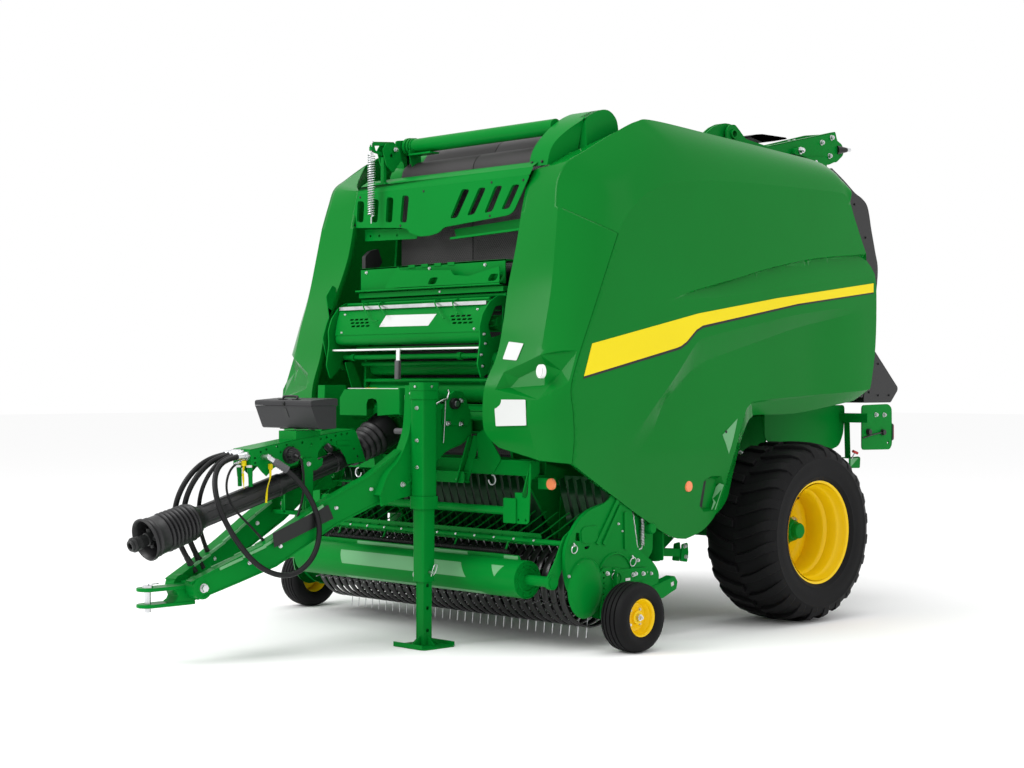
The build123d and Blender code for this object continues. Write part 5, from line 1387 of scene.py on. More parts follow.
for sign in (1, -1):
    side_box(bm, sign, (0.2, -0.9, 1.3), (0.376, -0.86, 1.316))
    add_nut(bm, (sign * 0.34, -0.88, 1.316), (0, 0, 1), 0.018, finish=1)
add_box(bm, (-0.13, -1.091, 1.349), (0.29, -1.06, 1.3525), finish=2)
add_box(bm, (0.02, -1.0915, 1.3525), (0.12, -1.062, 1.354), finish=3)
piece_of(
    "gearbox_guard_sheet", bm, "chassis", [green, zinc, blank_label, film_yellow], ["gearbox_guard"], bevel=0.0015, angle=30
)

# ---- drive shaft ----------------------------------------------------------------------
# Splined steel yoke with its locking collar inside a ribbed bellows guard, a two-stage guard
# tube with ridges, and the ribbed boot over the gearbox's input. Only the shaft turns.
PTO_TIP = Vector((0, -2.55, 0.59))
PTO_AXIS = Vector((0, 0.9595, 0.2818))


def by_shaft(reach, radius, angle):
    """Place beside the shaft: reach along it from its tip, radius and angle round it."""
    turn = PTO_AXIS.rotation_difference(Vector((0, 0, 1))).inverted()
    return PTO_TIP + PTO_AXIS * reach + turn @ Vector((radius * cos(angle), radius * sin(angle), 0))


bm = bmesh.new()
add_lathe(bm, PTO_TIP, PTO_AXIS, [
    (0.075, 0.0), (0.075, 0.0165), (0.003, 0.0165), (0.0, 0.019), (0.0, 0.026), (0.004, 0.029), (0.012, 0.029),
    (0.014, 0.036), (0.018, 0.038), (0.028, 0.038), (0.031, 0.036), (0.032, 0.031), (0.045, 0.03), (0.047, 0.034),
    (0.06, 0.034), (0.063, 0.029), (0.095, 0.029), (0.097, 0.034), (0.15, 0.034), (0.165, 0.03), (0.18, 0.023),
    (1.418, 0.023), (1.42, 0.0),
], sides=40)
for i in range(6):  # splines in the bore
    add_rod(bm, by_shaft(0.002, 0.0158, pi * i / 3), by_shaft(0.074, 0.0158, pi * i / 3), 0.0022, sides=8)
for i in range(2):  # cross of the joint behind the yoke
    add_rod(bm, by_shaft(0.125, -0.05, pi * i / 2), by_shaft(0.125, 0.05, pi * i / 2), 0.013, sides=20)
piece_of("drive_shaft_yoke", bm, "drive_shaft", [dark_steel], ["pto_shaft"], bevel=0.0006)
bm = bmesh.new()
bellows = []
for i in range(7):
    start = 0.192 + i * 0.024
    ridge = 0.101 - 0.0008 * i
    bellows += [
        (start, ridge - 0.014), (start + 0.005, ridge - 0.003), (start + 0.01, ridge), (start + 0.015, ridge - 0.003),
        (start + 0.02, ridge - 0.014)
    ]
outer = [
    (0.09, 0.098), (0.086, 0.103), (0.09, 0.108), (0.1, 0.108), (0.104, 0.102), (0.118, 0.094), (0.126, 0.101), (0.134, 0.101),
    (0.138, 0.098), (0.182, 0.097), (0.188, 0.088),
    *bellows, (0.366, 0.091), (0.378, 0.086), (0.4, 0.068), (0.412, 0.06), (0.44, 0.057), (0.442, 0.052),
]
inner = [(0.38, 0.054), (0.37, 0.08), (0.188, 0.08), (0.118, 0.088)]
add_lathe(bm, PTO_TIP, PTO_AXIS, [*outer, *inner, outer[0]], sides=56, caps=False)
piece_of("drive_shaft_bellows", bm, "chassis", [plastic], ["pto_front_cone"], angle=50)
bm = bmesh.new()
add_lathe(bm, PTO_TIP, PTO_AXIS, [
    (0.34, 0.048), (0.34, 0.054), (0.905, 0.054), (0.908, 0.058), (0.94, 0.058), (0.944, 0.05), (1.3, 0.05), (1.304, 0.056),
    (1.335, 0.056), (1.34, 0.05), (1.44, 0.05), (1.44, 0.044), (0.34, 0.044), (0.34, 0.048),
], sides=48, caps=False)
for i in range(8):  # ridges along both stages
    for first, last, radius in ((0.4, 0.905, 0.0545), (0.944, 1.3, 0.0505)):
        add_rod(bm, by_shaft(first, radius, pi * i / 4 + 0.3), by_shaft(last, radius, pi * i / 4 + 0.3), 0.0035, sides=8)
piece_of("drive_shaft_tube", bm, "chassis", [plastic], ["pto_guard_tube"], bevel=0.0008, angle=40)
bm = bmesh.new()
boot_foot, boot_head = PTO_TIP + PTO_AXIS * 1.425, Vector((0, -0.925, 1.132))
boot_axis = (boot_head - boot_foot).normalized()
boot_length = (boot_head - boot_foot).length
ribs = [(0.0, 0.054), (0.0, 0.064), (0.018, 0.066), (0.024, 0.06)]
for i in range(5):
    start = 0.03 + i * 0.036
    ridge = 0.074 + 0.0065 * i
    ribs += [(start, ridge - 0.011), (start + 0.01, ridge), (start + 0.02, ridge), (start + 0.03, ridge - 0.01)]
ribs += [
    (boot_length - 0.05, 0.1), (boot_length - 0.01, 0.102), (boot_length, 0.098), (boot_length, 0.08), (0.0, 0.052),
    (0.0, 0.054)
]
add_lathe(bm, boot_foot, boot_axis, ribs, sides=48, caps=False)
piece_of("drive_shaft_boot", bm, "chassis", [plastic], ["pto_rear_cone"], angle=50)

# ---- parking jack ---------------------------------------------------------------------
# Square outer tube with a cap and a collar, a leg with pin holes and a dished foot, a zinc
# pin with its ring and clip, and the bent crank with a grey grip.
JACK_X, JACK_Y = 0.45, -1.05


def jack_square(wide, deep, soft):
    """Rounded rectangle about the jack's axis, by its half sizes."""
    return rounded(oblong(JACK_X - wide, JACK_Y - deep, JACK_X + wide, JACK_Y + deep), soft)


def add_square_tube(bm, low, high, half, wall):
    """Upright square tube on the jack's axis, rounded at its corners and open inside."""
    level_plate(bm, jack_square(half, half, 0.01), low, high - low, holes=[jack_square(half - wall, half - wall, 0.006)])


bm = bmesh.new()
add_square_tube(bm, 0.73, 1.33, 0.048, 0.006)
add_square_tube(bm, 0.722, 0.788, 0.054, 0.008)
add_square_tube(bm, 0.342, 0.74, 0.0415, 0.006)
add_square_tube(bm, 1.296, 1.345, 0.0545, 0.007)
level_plate(bm, jack_square(0.058, 0.058, 0.014), 1.342, 0.042)
add_rod(bm, (JACK_X - 0.058, JACK_Y - 0.025, 1.325), (JACK_X - 0.046, JACK_Y - 0.025, 1.325), 0.02, sides=24)
add_nut(bm, (JACK_X + 0.056, JACK_Y, 1.362), (1, 0, 0), 0.014, finish=1)
add_nut(bm, (JACK_X, JACK_Y - 0.056, 1.362), (0, -1, 0), 0.014, finish=1)
# side plate and bolts that hold the tube on the headstock
side_plate(bm, rounded(oblong(-1.096, 0.9, -1.004, 1.29), 0.012), 0.3945, 0.012)
for z in (0.94, 1.08, 1.25):
    add_nut(bm, (JACK_X, JACK_Y - 0.047, z), (0, -1, 0), 0.016, finish=1)
# pin through the tube's foot, with its ring on one side and a hairpin on the other
add_rod(bm, (JACK_X - 0.066, JACK_Y, 0.392), (JACK_X + 0.074, JACK_Y, 0.392), 0.0085, sides=20, finish=1)
ring = [(JACK_X - 0.062, JACK_Y + 0.02 * sin(2 * pi * i / 20), 0.374 + 0.022 * cos(2 * pi * i / 20)) for i in range(21)]
add_tube(bm, ring, 0.0028, sides=8, finish=1)
hairpin = [
    (0.062, -0.004, 0.372), (0.063, 0, 0.392), (0.066, 0.016, 0.43), (0.066, 0.034, 0.428), (0.064, 0.024, 0.392),
    (0.062, 0.008, 0.376)
]
add_tube(bm, [(JACK_X + x, JACK_Y + y, z) for x, y, z in hairpin], 0.0028, sides=8, finish=1, smooth=4)
piece_of("jack_tube", bm, "chassis", [green, zinc], ["jack_outer"], bevel=0.0015)
bm = bmesh.new()
half = 0.029
for sign in (1, -1):
    holes = [circle_of(JACK_Y, 0.085 + 0.118 * i, 0.01) for i in range(5)]
    edge = rounded(oblong(JACK_Y - half, 0.008, JACK_Y + half, 0.7), 0.002)
    add_plate(bm, edge, lambda u, v, w: (JACK_X + sign * (half - w), u, v), 0.005, holes=holes)
    y = JACK_Y + sign * (half - 0.0045)
    add_box(bm, (JACK_X - half + 0.002, y - 0.0025, 0.008), (JACK_X + half - 0.002, y + 0.0025, 0.7))
level_plate(bm, jack_square(0.125, 0.11, 0.024), 0, 0.008)
for y in (-0.112, 0.112):  # turned-up edges of the foot
    add_sweep(
        bm, [(JACK_X - 0.112, JACK_Y + y, 0.004), (JACK_X + 0.112, JACK_Y + y, 0.004)], oblong(-0.003, -0.002, 0.003, 0.022)
    )
for x, y in ((0.06, 0), (-0.06, 0), (0, 0.06), (0, -0.06)):  # gussets
    a, b = Vector((JACK_X + x * 0.48, JACK_Y + y * 0.48, 0.008)), Vector((JACK_X + x * 1.5, JACK_Y + y * 1.5, 0.008))
    side = (b - a).cross(Vector((0, 0, 1))).normalized() * 0.003
    corners = [a, b, a + Vector((0, 0, 0.05))]
    add_slab(bm, [corner + side for corner in corners], [corner - side for corner in corners])
piece_of("jack_leg_tube", bm, "jack_leg", [green], ["jack_leg"], bevel=0.0008)
bm = bmesh.new()
add_tube(
    bm,
    [
        (0.402, -1.075, 1.325), (0.358, -1.075, 1.325), (0.338, -1.075, 1.318), (0.334, -1.075, 1.295), (0.336, -1.075, 1.16),
        (0.334, -1.075, 1.135), (0.318, -1.075, 1.126), (0.25, -1.075, 1.125)
    ],
    0.0072, sides=16, smooth=4
)
add_rod(bm, (0.392, -1.075, 1.325), (0.376, -1.075, 1.325), 0.013, sides=24)
add_lathe(
    bm, (0.322, -1.075, 1.1252), (-1, 0, 0),
    [(0.0, 0.0), (0.0, 0.013), (0.003, 0.0155), (0.066, 0.0165), (0.07, 0.014), (0.071, 0.0)], sides=28, finish=1
)
piece_of("jack_crank_rod", bm, "chassis", [zinc, grip_grey], ["jack_crank"], bevel=0.0006)

# ---- front crossbeam ------------------------------------------------------------------
# Folded channel across the machine with holes, struts up to the headstock, the tube in front
# of the fingers on notched brackets, lever links on the left and the amber reflectors.
bm = bmesh.new()
beam_face = rounded([(-0.896, 0.892), (0.896, 0.892), (0.9, 0.972), (-0.9, 0.972)], 0.004)
beam_holes = [circle_of(sign * x, 0.942, 0.011) for sign in (1, -1) for x in (0.383, 0.545, 0.86)]
front_plate(bm, beam_face, -0.65, 0.006, holes=beam_holes)
for z in (0.892, 0.966):
    add_box(bm, (-0.88, -0.65, z), (0.88, -0.572, z + 0.006))
add_box(bm, (-0.88, -0.578, 0.892), (0.88, -0.572, 0.972))
add_box(bm, (-0.376, -0.64, 1.112), (0.376, -0.634, 1.184))
add_box(bm, (-0.628, -0.634, 1.112), (0.628, -0.576, 1.118))
add_box(bm, (-0.628, -0.634, 1.178), (0.628, -0.576, 1.184))
add_box(bm, (-0.628, -0.58, 1.112), (0.628, -0.576, 1.184))
cross_rod(bm, 0.859, -0.748, 0.712, 0.022, sides=32)
for sign in (1, -1):
    # folded arm down to the lower tube, with a notched front face
    arm = [
        (-0.642, 0.97), (-0.642, 0.906), (-0.73, 0.862), (-0.738, 0.8), (-0.738, 0.672), (-0.768, 0.656), (-0.768, 0.79),
        (-0.708, 0.97)
    ]
    side_plate(bm, rounded(arm, 0.012), sign * 0.892, 0.008)
    face = [
        (0.846, 0.812), (0.9, 0.813), (0.902, 0.79), (0.93, 0.786), (0.94, 0.806), (0.956, 0.966), (0.964, 0.966),
        (0.948, 0.665), (0.934, 0.652), (0.858, 0.651)
    ]
    front_plate(
        bm, rounded([(sign * x, z) for x, z in face], 0.005), -0.765, 0.006,
        holes=[circle_of(sign * 0.872, 0.672, 0.0065), circle_of(sign * 0.925, 0.672, 0.0065)]
    )
    front_plate(
        bm, rounded([(sign * 0.768, 0.652), (sign * 0.86, 0.652), (sign * 0.862, 0.782), (sign * 0.77, 0.782)], 0.006), -0.772,
        0.008
    )
    for x in (0.794, 0.836):
        add_nut(bm, (sign * x, -0.772, 0.756), (0, -1, 0), 0.01, finish=1)
    side_rod(bm, sign, 0.859, 0.866, -0.748, 0.712, 0.014, sides=20, finish=2)
    # bracket that holds the amber reflector at the beam's end
    side_box(bm, sign, (0.9, -0.654, 0.828), (0.975, -0.646, 0.886))
    side_box(bm, sign, (0.968, -0.65, 0.828), (0.975, -0.6, 0.886))
    add_rod(bm, (sign * 0.995, -0.648, 0.857), (sign * 0.995, -0.66, 0.857), 0.031, 0.029, sides=36, finish=3)
    add_rod(bm, (sign * 0.995, -0.66, 0.857), (sign * 0.995, -0.663, 0.857), 0.025, 0.023, sides=36, finish=3)
    side_box(bm, sign, (0.965, -0.65, 0.84), (1.02, -0.645, 0.874))
    # strut from the crossbeam up to the headstock, with its gusset plate
    foot, head = Vector((sign * 0.325, -0.69, 0.842)), Vector((sign * 0.4, -0.664, 1.092))
    add_sweep(bm, [foot, head], flat_bar(0.03, 0.004))
    add_sweep(bm, [foot + Vector((sign * 0.028, 0.02, 0)), head + Vector((sign * 0.028, 0.02, 0))], flat_bar(0.003, 0.022))
    add_nut(bm, foot + Vector((0, -0.004, 0.014)), (0, -1, 0), 0.014, finish=1)
    brace = [(sign * 0.44, 1.105), (sign * 0.505, 1.135), (sign * 0.63, 0.975), (sign * 0.57, 0.9), (sign * 0.452, 0.975)]
    front_plate(bm, rounded(brace, 0.012), -0.656, 0.006)
    # spring hook under the beam
    hook = [(sign * (0.56 + 0.026 * sin(t)), -0.66, 0.862 + 0.026 * cos(t)) for t in (pi * i / 8 for i in range(13))]
    add_tube(bm, [(sign * 0.56, -0.64, 0.9), *hook], 0.0045, sides=10, finish=1)
piece_of("front_crossbeam_frame", bm, "chassis", [green, zinc, dark_steel, amber_lens], ["front_crossbeam"], bevel=0.0015)
# links and a bearing beside the headstock's left plate
bm = bmesh.new()
add_rod(bm, (0.405, -0.8, 1.27), (0.432, -0.8, 1.27), 0.03, sides=32, finish=1)
add_rod(bm, (0.432, -0.8, 1.27), (0.44, -0.8, 1.27), 0.016, sides=24)
add_tube(
    bm, [(0.425, -1.0, 1.25), (0.425, -0.96, 1.262), (0.425, -0.9, 1.286), (0.425, -0.862, 1.296)], 0.006, sides=12, smooth=3
)
add_tube(bm, [(0.425, -0.862, 1.296), (0.428, -0.85, 1.33), (0.426, -0.858, 1.345)], 0.005, sides=12)
add_rod(bm, (0.405, -1.0, 1.25), (0.434, -1.0, 1.25), 0.012, sides=20)
add_tube(bm, [(0.412, -0.862, 1.296), (0.412, -0.868, 1.18), (0.412, -0.878, 1.06)], 0.0035, sides=8)
piece_of("headstock_links", bm, "chassis", [zinc, dark_steel], bevel=0.0008)

# ---- pickup side shields --------------------------------------------------------------
# Pressed shield a side with a domed bearing cover, a hub ring, folded braces, ringed pins,
# bolts, the lift chain and its spring, a box arm to the rear and the tube across the foot.
def add_dome(bm, sign, x, y, z, wide, high, profile):
    """Oval dome standing on a side plate; profile is (share of the size, how far out)."""
    turns = [2 * pi * i / 40 for i in range(40)]
    rows = [
        [(sign * (x + out), y + wide * share * cos(turn), z + high * share * sin(turn)) for turn in turns]
        for share, out in profile
    ]
    bm.faces.new(add_strip(bm, rows, close=True)[-1])


def add_ring(bm, sign, x, y, z, radius, wire, finish=0, lean=0.0):
    """Ring of wire lying against a side plate."""
    ring = [
        (sign * (x + lean * cos(2 * pi * i / 22)), y + radius * sin(2 * pi * i / 22), z + radius * cos(2 * pi * i / 22))
        for i in range(23)
    ]
    add_tube(bm, ring, wire, sides=8, finish=finish)


SHIELD_HUB = (-0.33, 0.355)  # y and z of the hub ring's middle
SHIELD_EDGE = [
    (-0.33, 0.9), (-0.349, 0.79), (-0.405, 0.752), (-0.47, 0.738), (-0.53, 0.72), (-0.583, 0.688), (-0.625, 0.65),
    (-0.659, 0.606), (-0.684, 0.566), (-0.7, 0.521), (-0.704, 0.47), (-0.699, 0.416), (-0.681, 0.347), (-0.648, 0.286),
    (-0.605, 0.232), (-0.539, 0.18), (-0.439, 0.152), (-0.3, 0.128), (-0.14, 0.138), (-0.05, 0.19), (0.02, 0.29),
    (0.028, 0.36), (-0.02, 0.42), (-0.09, 0.462), (-0.148, 0.5), (-0.19, 0.69), (-0.225, 0.86), (-0.28, 0.94),
]
bm = bmesh.new()
for sign in (1, -1):
    outline = rounded(SHIELD_EDGE, 0.03, each=3)
    window = rounded([(-0.622, 0.612), (-0.596, 0.61), (-0.59, 0.566), (-0.628, 0.572)], 0.006)
    slot = rounded([(-0.56, 0.536), (-0.518, 0.54), (-0.524, 0.524), (-0.556, 0.522)], 0.005)
    flank(bm, sign, outline, 1.135, 0.008, holes=[window, slot, circle_of(-0.3, 0.88, 0.012)])
    # folded lip round the front edge
    lip = eased(SHIELD_EDGE[2:18], 3)
    add_strip(
        bm,
        [
            [(sign * 1.143, y, z) for y, z in lip], [(sign * 1.118, y + 0.002, z) for y, z in lip],
            [(sign * 1.118, y + 0.006, z) for y, z in lip]
        ]
    )
    # raised panel, dome, hub ring and braces
    panel = [(-0.588, 0.62), (-0.56, 0.64), (-0.47, 0.64), (-0.455, 0.56), (-0.54, 0.552), (-0.58, 0.56)]
    flank(bm, sign, rounded(panel, 0.01), 1.143, 0.005)
    add_dome(
        bm, sign, 1.142, -0.556, 0.322, 0.128, 0.158,
        [(1.0, 0.0), (0.97, 0.014), (0.9, 0.026), (0.74, 0.04), (0.52, 0.048), (0.3, 0.051), (0.12, 0.052)]
    )
    for share in (-0.46, 0.6):
        edge = [(share * 0.128 * 1.0, t) for t in (-0.8, -0.4, 0, 0.4, 0.8)]
        line = [
            (sign * (1.146 + 0.044 * (1 - (share**2 + t * t * 0.9) ** 1.3)), -0.556 + y, 0.322 + 0.158 * t * 0.9) for y,
            t in edge
        ]
        add_tube(bm, line, 0.005, sides=8, smooth=4)
    add_dome(
        bm, sign, 1.142, *SHIELD_HUB, 0.138, 0.138,
        [(1.0, 0.0), (0.985, 0.01), (0.955, 0.013), (0.93, 0.012), (0.92, 0.004), (0.6, 0.004)]
    )
    add_dome(
        bm, sign, 1.146, *SHIELD_HUB, 0.058, 0.058,
        [(1.0, 0.0), (0.98, 0.014), (0.92, 0.018), (0.55, 0.018), (0.5, 0.012), (0.2, 0.012)]
    )
    for i in range(6):
        turn = 2 * pi * i / 6 + 0.4
        side_nut(bm, sign, 1.158, -0.33 + 0.044 * cos(turn), 0.355 + 0.044 * sin(turn), 0.01)
    for a, b in (((-0.47, 0.545), (-0.312, 0.765)), ((-0.42, 0.54), (-0.288, 0.735)), ((-0.25, 0.7), (-0.248, 0.505))):
        flat = Vector(b) - Vector(a)
        side_way = Vector((-flat.y, flat.x)).normalized() * 0.011
        strip = [
            tuple(Vector(a) - side_way), tuple(Vector(b) - side_way), tuple(Vector(b) + side_way), tuple(Vector(a) + side_way)
        ]
        flank(bm, sign, rounded(strip, 0.004), 1.143, 0.01)
    # ringed pins and bolt heads
    for y, z, radius in ((-0.648, 0.529, 0.021), (-0.199, 0.434, 0.023), (-0.365, 0.372, 0.02)):
        out = 1.162 if y == -0.365 else 1.143
        side_rod(bm, sign, out, out + 0.016, y, z + radius, 0.007, sides=16, finish=1)
        add_rod(
            bm, (sign * (out + 0.01), y, z + radius - 0.006), (sign * (out + 0.01), y, z + radius + 0.012), 0.0035, sides=10,
            finish=1
        )
        add_ring(bm, sign, out + 0.014, y, z, radius, 0.0028, finish=1, lean=0.004)
    for y, z, across in (
        (-0.615, 0.439, 0.024), (-0.181, 0.37, 0.016), (-0.087, 0.371, 0.016), (-0.04, 0.36, 0.014), (-0.146, 0.438, 0.014),
        (-0.676, 0.392, 0.013), (-0.668, 0.362, 0.013), (-0.27, 0.8, 0.018), (-0.3, 0.64, 0.01), (-0.27, 0.6, 0.008),
    ):
        side_nut(bm, sign, 1.158 if (y, z) == (-0.181, 0.37) else 1.143, y, z, across, finish=1, stud=0.003)
    # box arm to the rear with its square hole, and a cross strap
    arm = rounded([(-0.06, 0.208), (0.052, 0.222), (0.16, 0.262), (0.17, 0.3), (0.148, 0.33), (-0.034, 0.281)], 0.006)
    square = [(0.118, 0.275), (0.146, 0.283), (0.142, 0.306), (0.114, 0.298)]
    for out in (1.09, 1.146):
        flank(bm, sign, arm, out, 0.005, holes=[rounded(square, 0.003)])
    add_sweep(bm, [(sign * 1.1205, -0.04, 0.285), (sign * 1.1205, 0.146, 0.331)], oblong(-0.03, -0.004, 0.03, 0.001))
    add_sweep(
        bm, [(sign * 1.1205, -0.056, 0.208), (sign * 1.1205, 0.052, 0.224), (sign * 1.1205, 0.16, 0.262)],
        oblong(-0.03, -0.001, 0.03, 0.004)
    )
    # inner plate that the pivot boss stands on, behind the chain
    inner = [(-0.3, 0.44), (-0.06, 0.4), (0.016, 0.47), (0.022, 0.64), (-0.05, 0.77), (-0.26, 0.88)]
    flank(bm, sign, rounded(inner, 0.024), 1.098, 0.007, holes=[circle_of(-0.04, 0.6, 0.0305, sides=28)])
    # pivot boss and reel bearing inside
    for a, b, radius, spot in ((1.094, 1.124, 0.048, (-0.04, 0.6)), (1.115, 1.144, 0.06, (-0.37, 0.315))):
        bore = 0.0305 if spot[1] > 0.5 else 0.026
        for x in (a, b - 0.004):
            flank(bm, sign, circle_of(*spot, radius, sides=36), x, 0.004, holes=[circle_of(*spot, bore, sides=28)])
        add_strip(bm, [[(sign * x, y, z) for y, z in circle_of(*spot, radius, sides=36)] for x in (a, b)], close=True)
    # lift chain and its return spring
    foot, head = Vector((sign * 1.122, -0.13, 0.492)), Vector((sign * 1.12, -0.188, 0.8))
    for i in range(11):
        middle = foot + (head - foot) * (i + 0.5) / 11
        up = (head - foot).normalized()
        wide = Vector((0, 1, 0)) if i % 2 else Vector((1, 0, 0))
        link = [middle + up * (0.019 * sin(t)) + wide * (0.0085 * cos(t)) for t in (2 * pi * n / 12 for n in range(13))]
        add_tube(bm, link, 0.003, sides=6, finish=1)
    turns = 24
    coil = [
        (sign * (1.122 + 0.0115 * cos(2 * pi * i / 12)), -0.088 + 0.0115 * sin(2 * pi * i / 12), 0.512 + 0.2 * i / (12 * turns))
        for i in range(12 * turns + 1)
    ]
    add_tube(bm, coil, 0.0026, sides=6, finish=1)
    add_tube(bm, [(sign * 1.122, -0.088, 0.715), (sign * 1.12, -0.094, 0.79)], 0.0035, sides=8, finish=1)
    add_tube(
        bm, [(sign * 1.122, -0.088, 0.512), (sign * 1.122, -0.092, 0.496), (sign * 1.12, -0.122, 0.49)], 0.0035, sides=8,
        finish=1
    )
cross_rod(bm, 1.138, -0.06, 0.195, 0.028, sides=28)
add_box(bm, (1.1595, -0.262, 0.338), (1.1605, -0.225, 0.352), finish=2)
piece_of("pickup_shields", bm, "pickup", [green, zinc, blank_label], ["pickup_frame"], bevel=0.001, angle=32)

# ---- stripper bands and feed guides ---------------------------------------------------
# Crowned steel bands that the tines pass between, their flat on the cross tube, and the
# curved guides that lead up from them to the crossbeam.
REEL = (-0.37, 0.315)  # y and z of the tine reel's axis
PITCH = 0.063  # from tine to tine
# Near-black glossy steel: painted shade on bands that are bright metal where light reaches them.
shade_painted_band_steel = finish_of("band steel in painted shade", (0.01, 0.01, 0.01), (0.006, 0.006, 0.006), 0.3, specular=0.45, grain=420, relief=0.12)
# Dark copy of the green paint: painted shade on the guides behind the pickup.
shade_painted_guide_green = finish_of("shaded green paint", (0.002, 0.06, 0.012), (0.001, 0.045, 0.009), 0.38, specular=0.25)
bm = bmesh.new()
for index in range(33):
    middle = (index - 16) * PITCH
    arc = arc_of(*REEL, 1.0, -60, -290, 34)
    rows = []
    for across, out in (
        (-0.021, 0.218), (-0.0215, 0.2235), (-0.012, 0.2265), (0.012, 0.2265), (0.0215, 0.2235), (0.021, 0.218)
    ):
        line = [(middle + across, -0.37 + (y + 0.37) * out, 0.315 + (z - 0.315) * out) for y, z in arc]
        rows.append([(middle + across, -0.096, 0.17 + (out - 0.2265) * 0.4), *line])
    add_strip(bm, rows, close=True)
    for y, z in (arc[0], arc[-1]):
        add_rod(
            bm, (middle, -0.37 + (y + 0.37) * 0.2245, 0.315 + (z - 0.315) * 0.2245),
            (middle, -0.37 + (y + 0.37) * 0.23, 0.315 + (z - 0.315) * 0.23), 0.006, sides=8, finish=1
        )
add_box(bm, (-1.13, -0.1, 0.146), (1.13, -0.089, 0.19))
piece_of("stripper_band_set", bm, "pickup", [shade_painted_band_steel, zinc], ["stripper_bands"], angle=40)
bm = bmesh.new()
for index in range(35):
    x = (index - 17) * PITCH
    if 0.56 < abs(x) < 0.76:
        continue
    curve = eased(
        [
            (x, -0.3, 0.56), (x + 0.004, -0.318, 0.64), (x - 0.012, -0.322, 0.72), (x - 0.03, -0.33, 0.8),
            (x - 0.034, -0.35, 0.87)
        ],
        5
    )
    add_sweep(bm, curve, oblong(-0.0035, -0.03, 0.0035, 0.003))
for low, high in ((-1.12, -0.77), (-0.56, 0.56), (0.77, 1.12)):
    add_strip(
        bm,
        [
            [(x, y, z) for x in (low, high)] for y,
            z in (
                (-0.262, 0.56), (-0.29, 0.64), (-0.294, 0.72), (-0.302, 0.8), (-0.322, 0.88), (-0.318, 0.882), (-0.298, 0.802),
                (-0.29, 0.722), (-0.286, 0.642), (-0.258, 0.562)
            )
        ]
    )
piece_of("feed_guides", bm, "pickup", [shade_painted_guide_green], angle=40)

# ---- tine reel ------------------------------------------------------------------------
# Shaft with four drilled discs and five bars; each bar carries spring tines that start in a
# coil round the bar and end in a slightly swept straight leg.
bm = bmesh.new()
cross_rod(bm, 1.14, *REEL, 0.0248, sides=28)
cross_rod(bm, 1.09, *REEL, 0.045, sides=32)
for disc_x in (-1.074, -0.364, 0.356, 1.066):
    rim = [circle_of(-0.37 + 0.095 * cos(radians(a)), 0.315 + 0.095 * sin(radians(a)), 0.024) for a in range(54, 400, 72)]
    side_plate(bm, circle_of(*REEL, 0.163, sides=60), disc_x, 0.008, holes=[*rim, circle_of(*REEL, 0.044)])
for row in range(5):
    turn = radians(row * 72 - 90)
    ahead = Vector((0, cos(turn), sin(turn)))
    swept = Vector((0, -sin(turn), cos(turn)))
    bar = Vector((0, *REEL)) + ahead * 0.145
    add_rod(bm, bar + Vector((-1.08, 0, 0)), bar + Vector((1.08, 0, 0)), 0.0138, sides=18)
    for index in range(32):
        x = (index - 15.5) * PITCH
        coil = [
            bar + Vector((x - 0.014 + 0.014 * i / 20, 0, 0)) + swept * (0.0172 * cos(2 * pi * i / 8)) + ahead * (
                0.0172 * sin(2 * pi * i / 8)
            )
            for i in range(21)
        ]
        leg = [
            bar + Vector((x, 0, 0)) + swept * 0.0165 + ahead * 0.02, bar + Vector((x, 0, 0)) + swept * 0.006 + ahead * 0.085,
            bar + Vector((x, 0, 0)) + ahead * 0.142
        ]
        add_tube(bm, [*coil[:19], *leg], 0.0027, sides=6, finish=1)
        add_rod(
            bm, bar + Vector((x - 0.01, 0, 0)) - ahead * 0.019, bar + Vector((x - 0.01, 0, 0)) - ahead * 0.008, 0.006, sides=8,
            finish=1
        )
piece_of("tine_reel_bars", bm, "reel", [dark_steel, zinc], ["tine_reel"], angle=40)

# ---- wind guard -----------------------------------------------------------------------
# Roller with bolted end discs and its shaft, a finger bar with its backing plate, strips,
# a row of coils, curved fingers, pale films of painted reflection and the two swinging arms.
GUARD_ROLLER = (-0.765, 0.365)  # y and z of the roller's axis
bm = bmesh.new()
end = [
    (0.93, 0.0), (0.93, 0.056), (0.936, 0.058), (0.936, 0.066), (0.929, 0.068), (0.929, 0.092), (0.933, 0.094), (0.933, 0.098),
    (0.918, 0.0985)
]
add_lathe(bm, (0, *GUARD_ROLLER), (1, 0, 0), [(-x + 0.03, r) for x, r in end] + [(x, r) for x, r in reversed(end)], sides=64)
cross_rod(bm, 1.122, *GUARD_ROLLER, 0.0275, sides=32)
for sign in (1, -1):
    face = 0.93 if sign > 0 else -0.9
    for y, z in circle_of(*GUARD_ROLLER, 0.079, sides=10):
        add_nut(bm, (face, y, z), (sign, 0, 0), 0.011)
    for z in (0.385, 0.349):
        add_nut(bm, (sign * 1.098, -0.783, z), (0, -1, 0), 0.014, finish=1)
    arm = [
        (-0.42, 0.728), (-0.44, 0.726), (-0.56, 0.668), (-0.684, 0.59), (-0.744, 0.47), (-0.798, 0.395), (-0.8, 0.342),
        (-0.742, 0.334), (-0.64, 0.53), (-0.4, 0.675), (-0.396, 0.7)
    ]
    flank(bm, sign, rounded(arm, 0.018), 1.105, 0.008, holes=[circle_of(-0.655, 0.53, 0.008)])
    flank(bm, sign, circle_of(-0.42, 0.7, 0.036, sides=28), 1.101, 0.005)
    side_rod(bm, sign, 1.1, 1.133, -0.42, 0.7, 0.0215, sides=24)
    side_rod(bm, sign, 1.092, 1.118, *GUARD_ROLLER, 0.038, sides=32)
cross_rod(bm, 1.11, -0.672, 0.556, 0.0138, sides=24)
backing = rounded(oblong(-0.925, 0.532, 0.925, 0.596), 0.022)
front_plate(bm, backing, -0.652, 0.004)
for i in range(13):
    add_nut(bm, (-0.9 + 0.15 * i, -0.684, 0.56), (0, -1, 0), 0.01, finish=1)
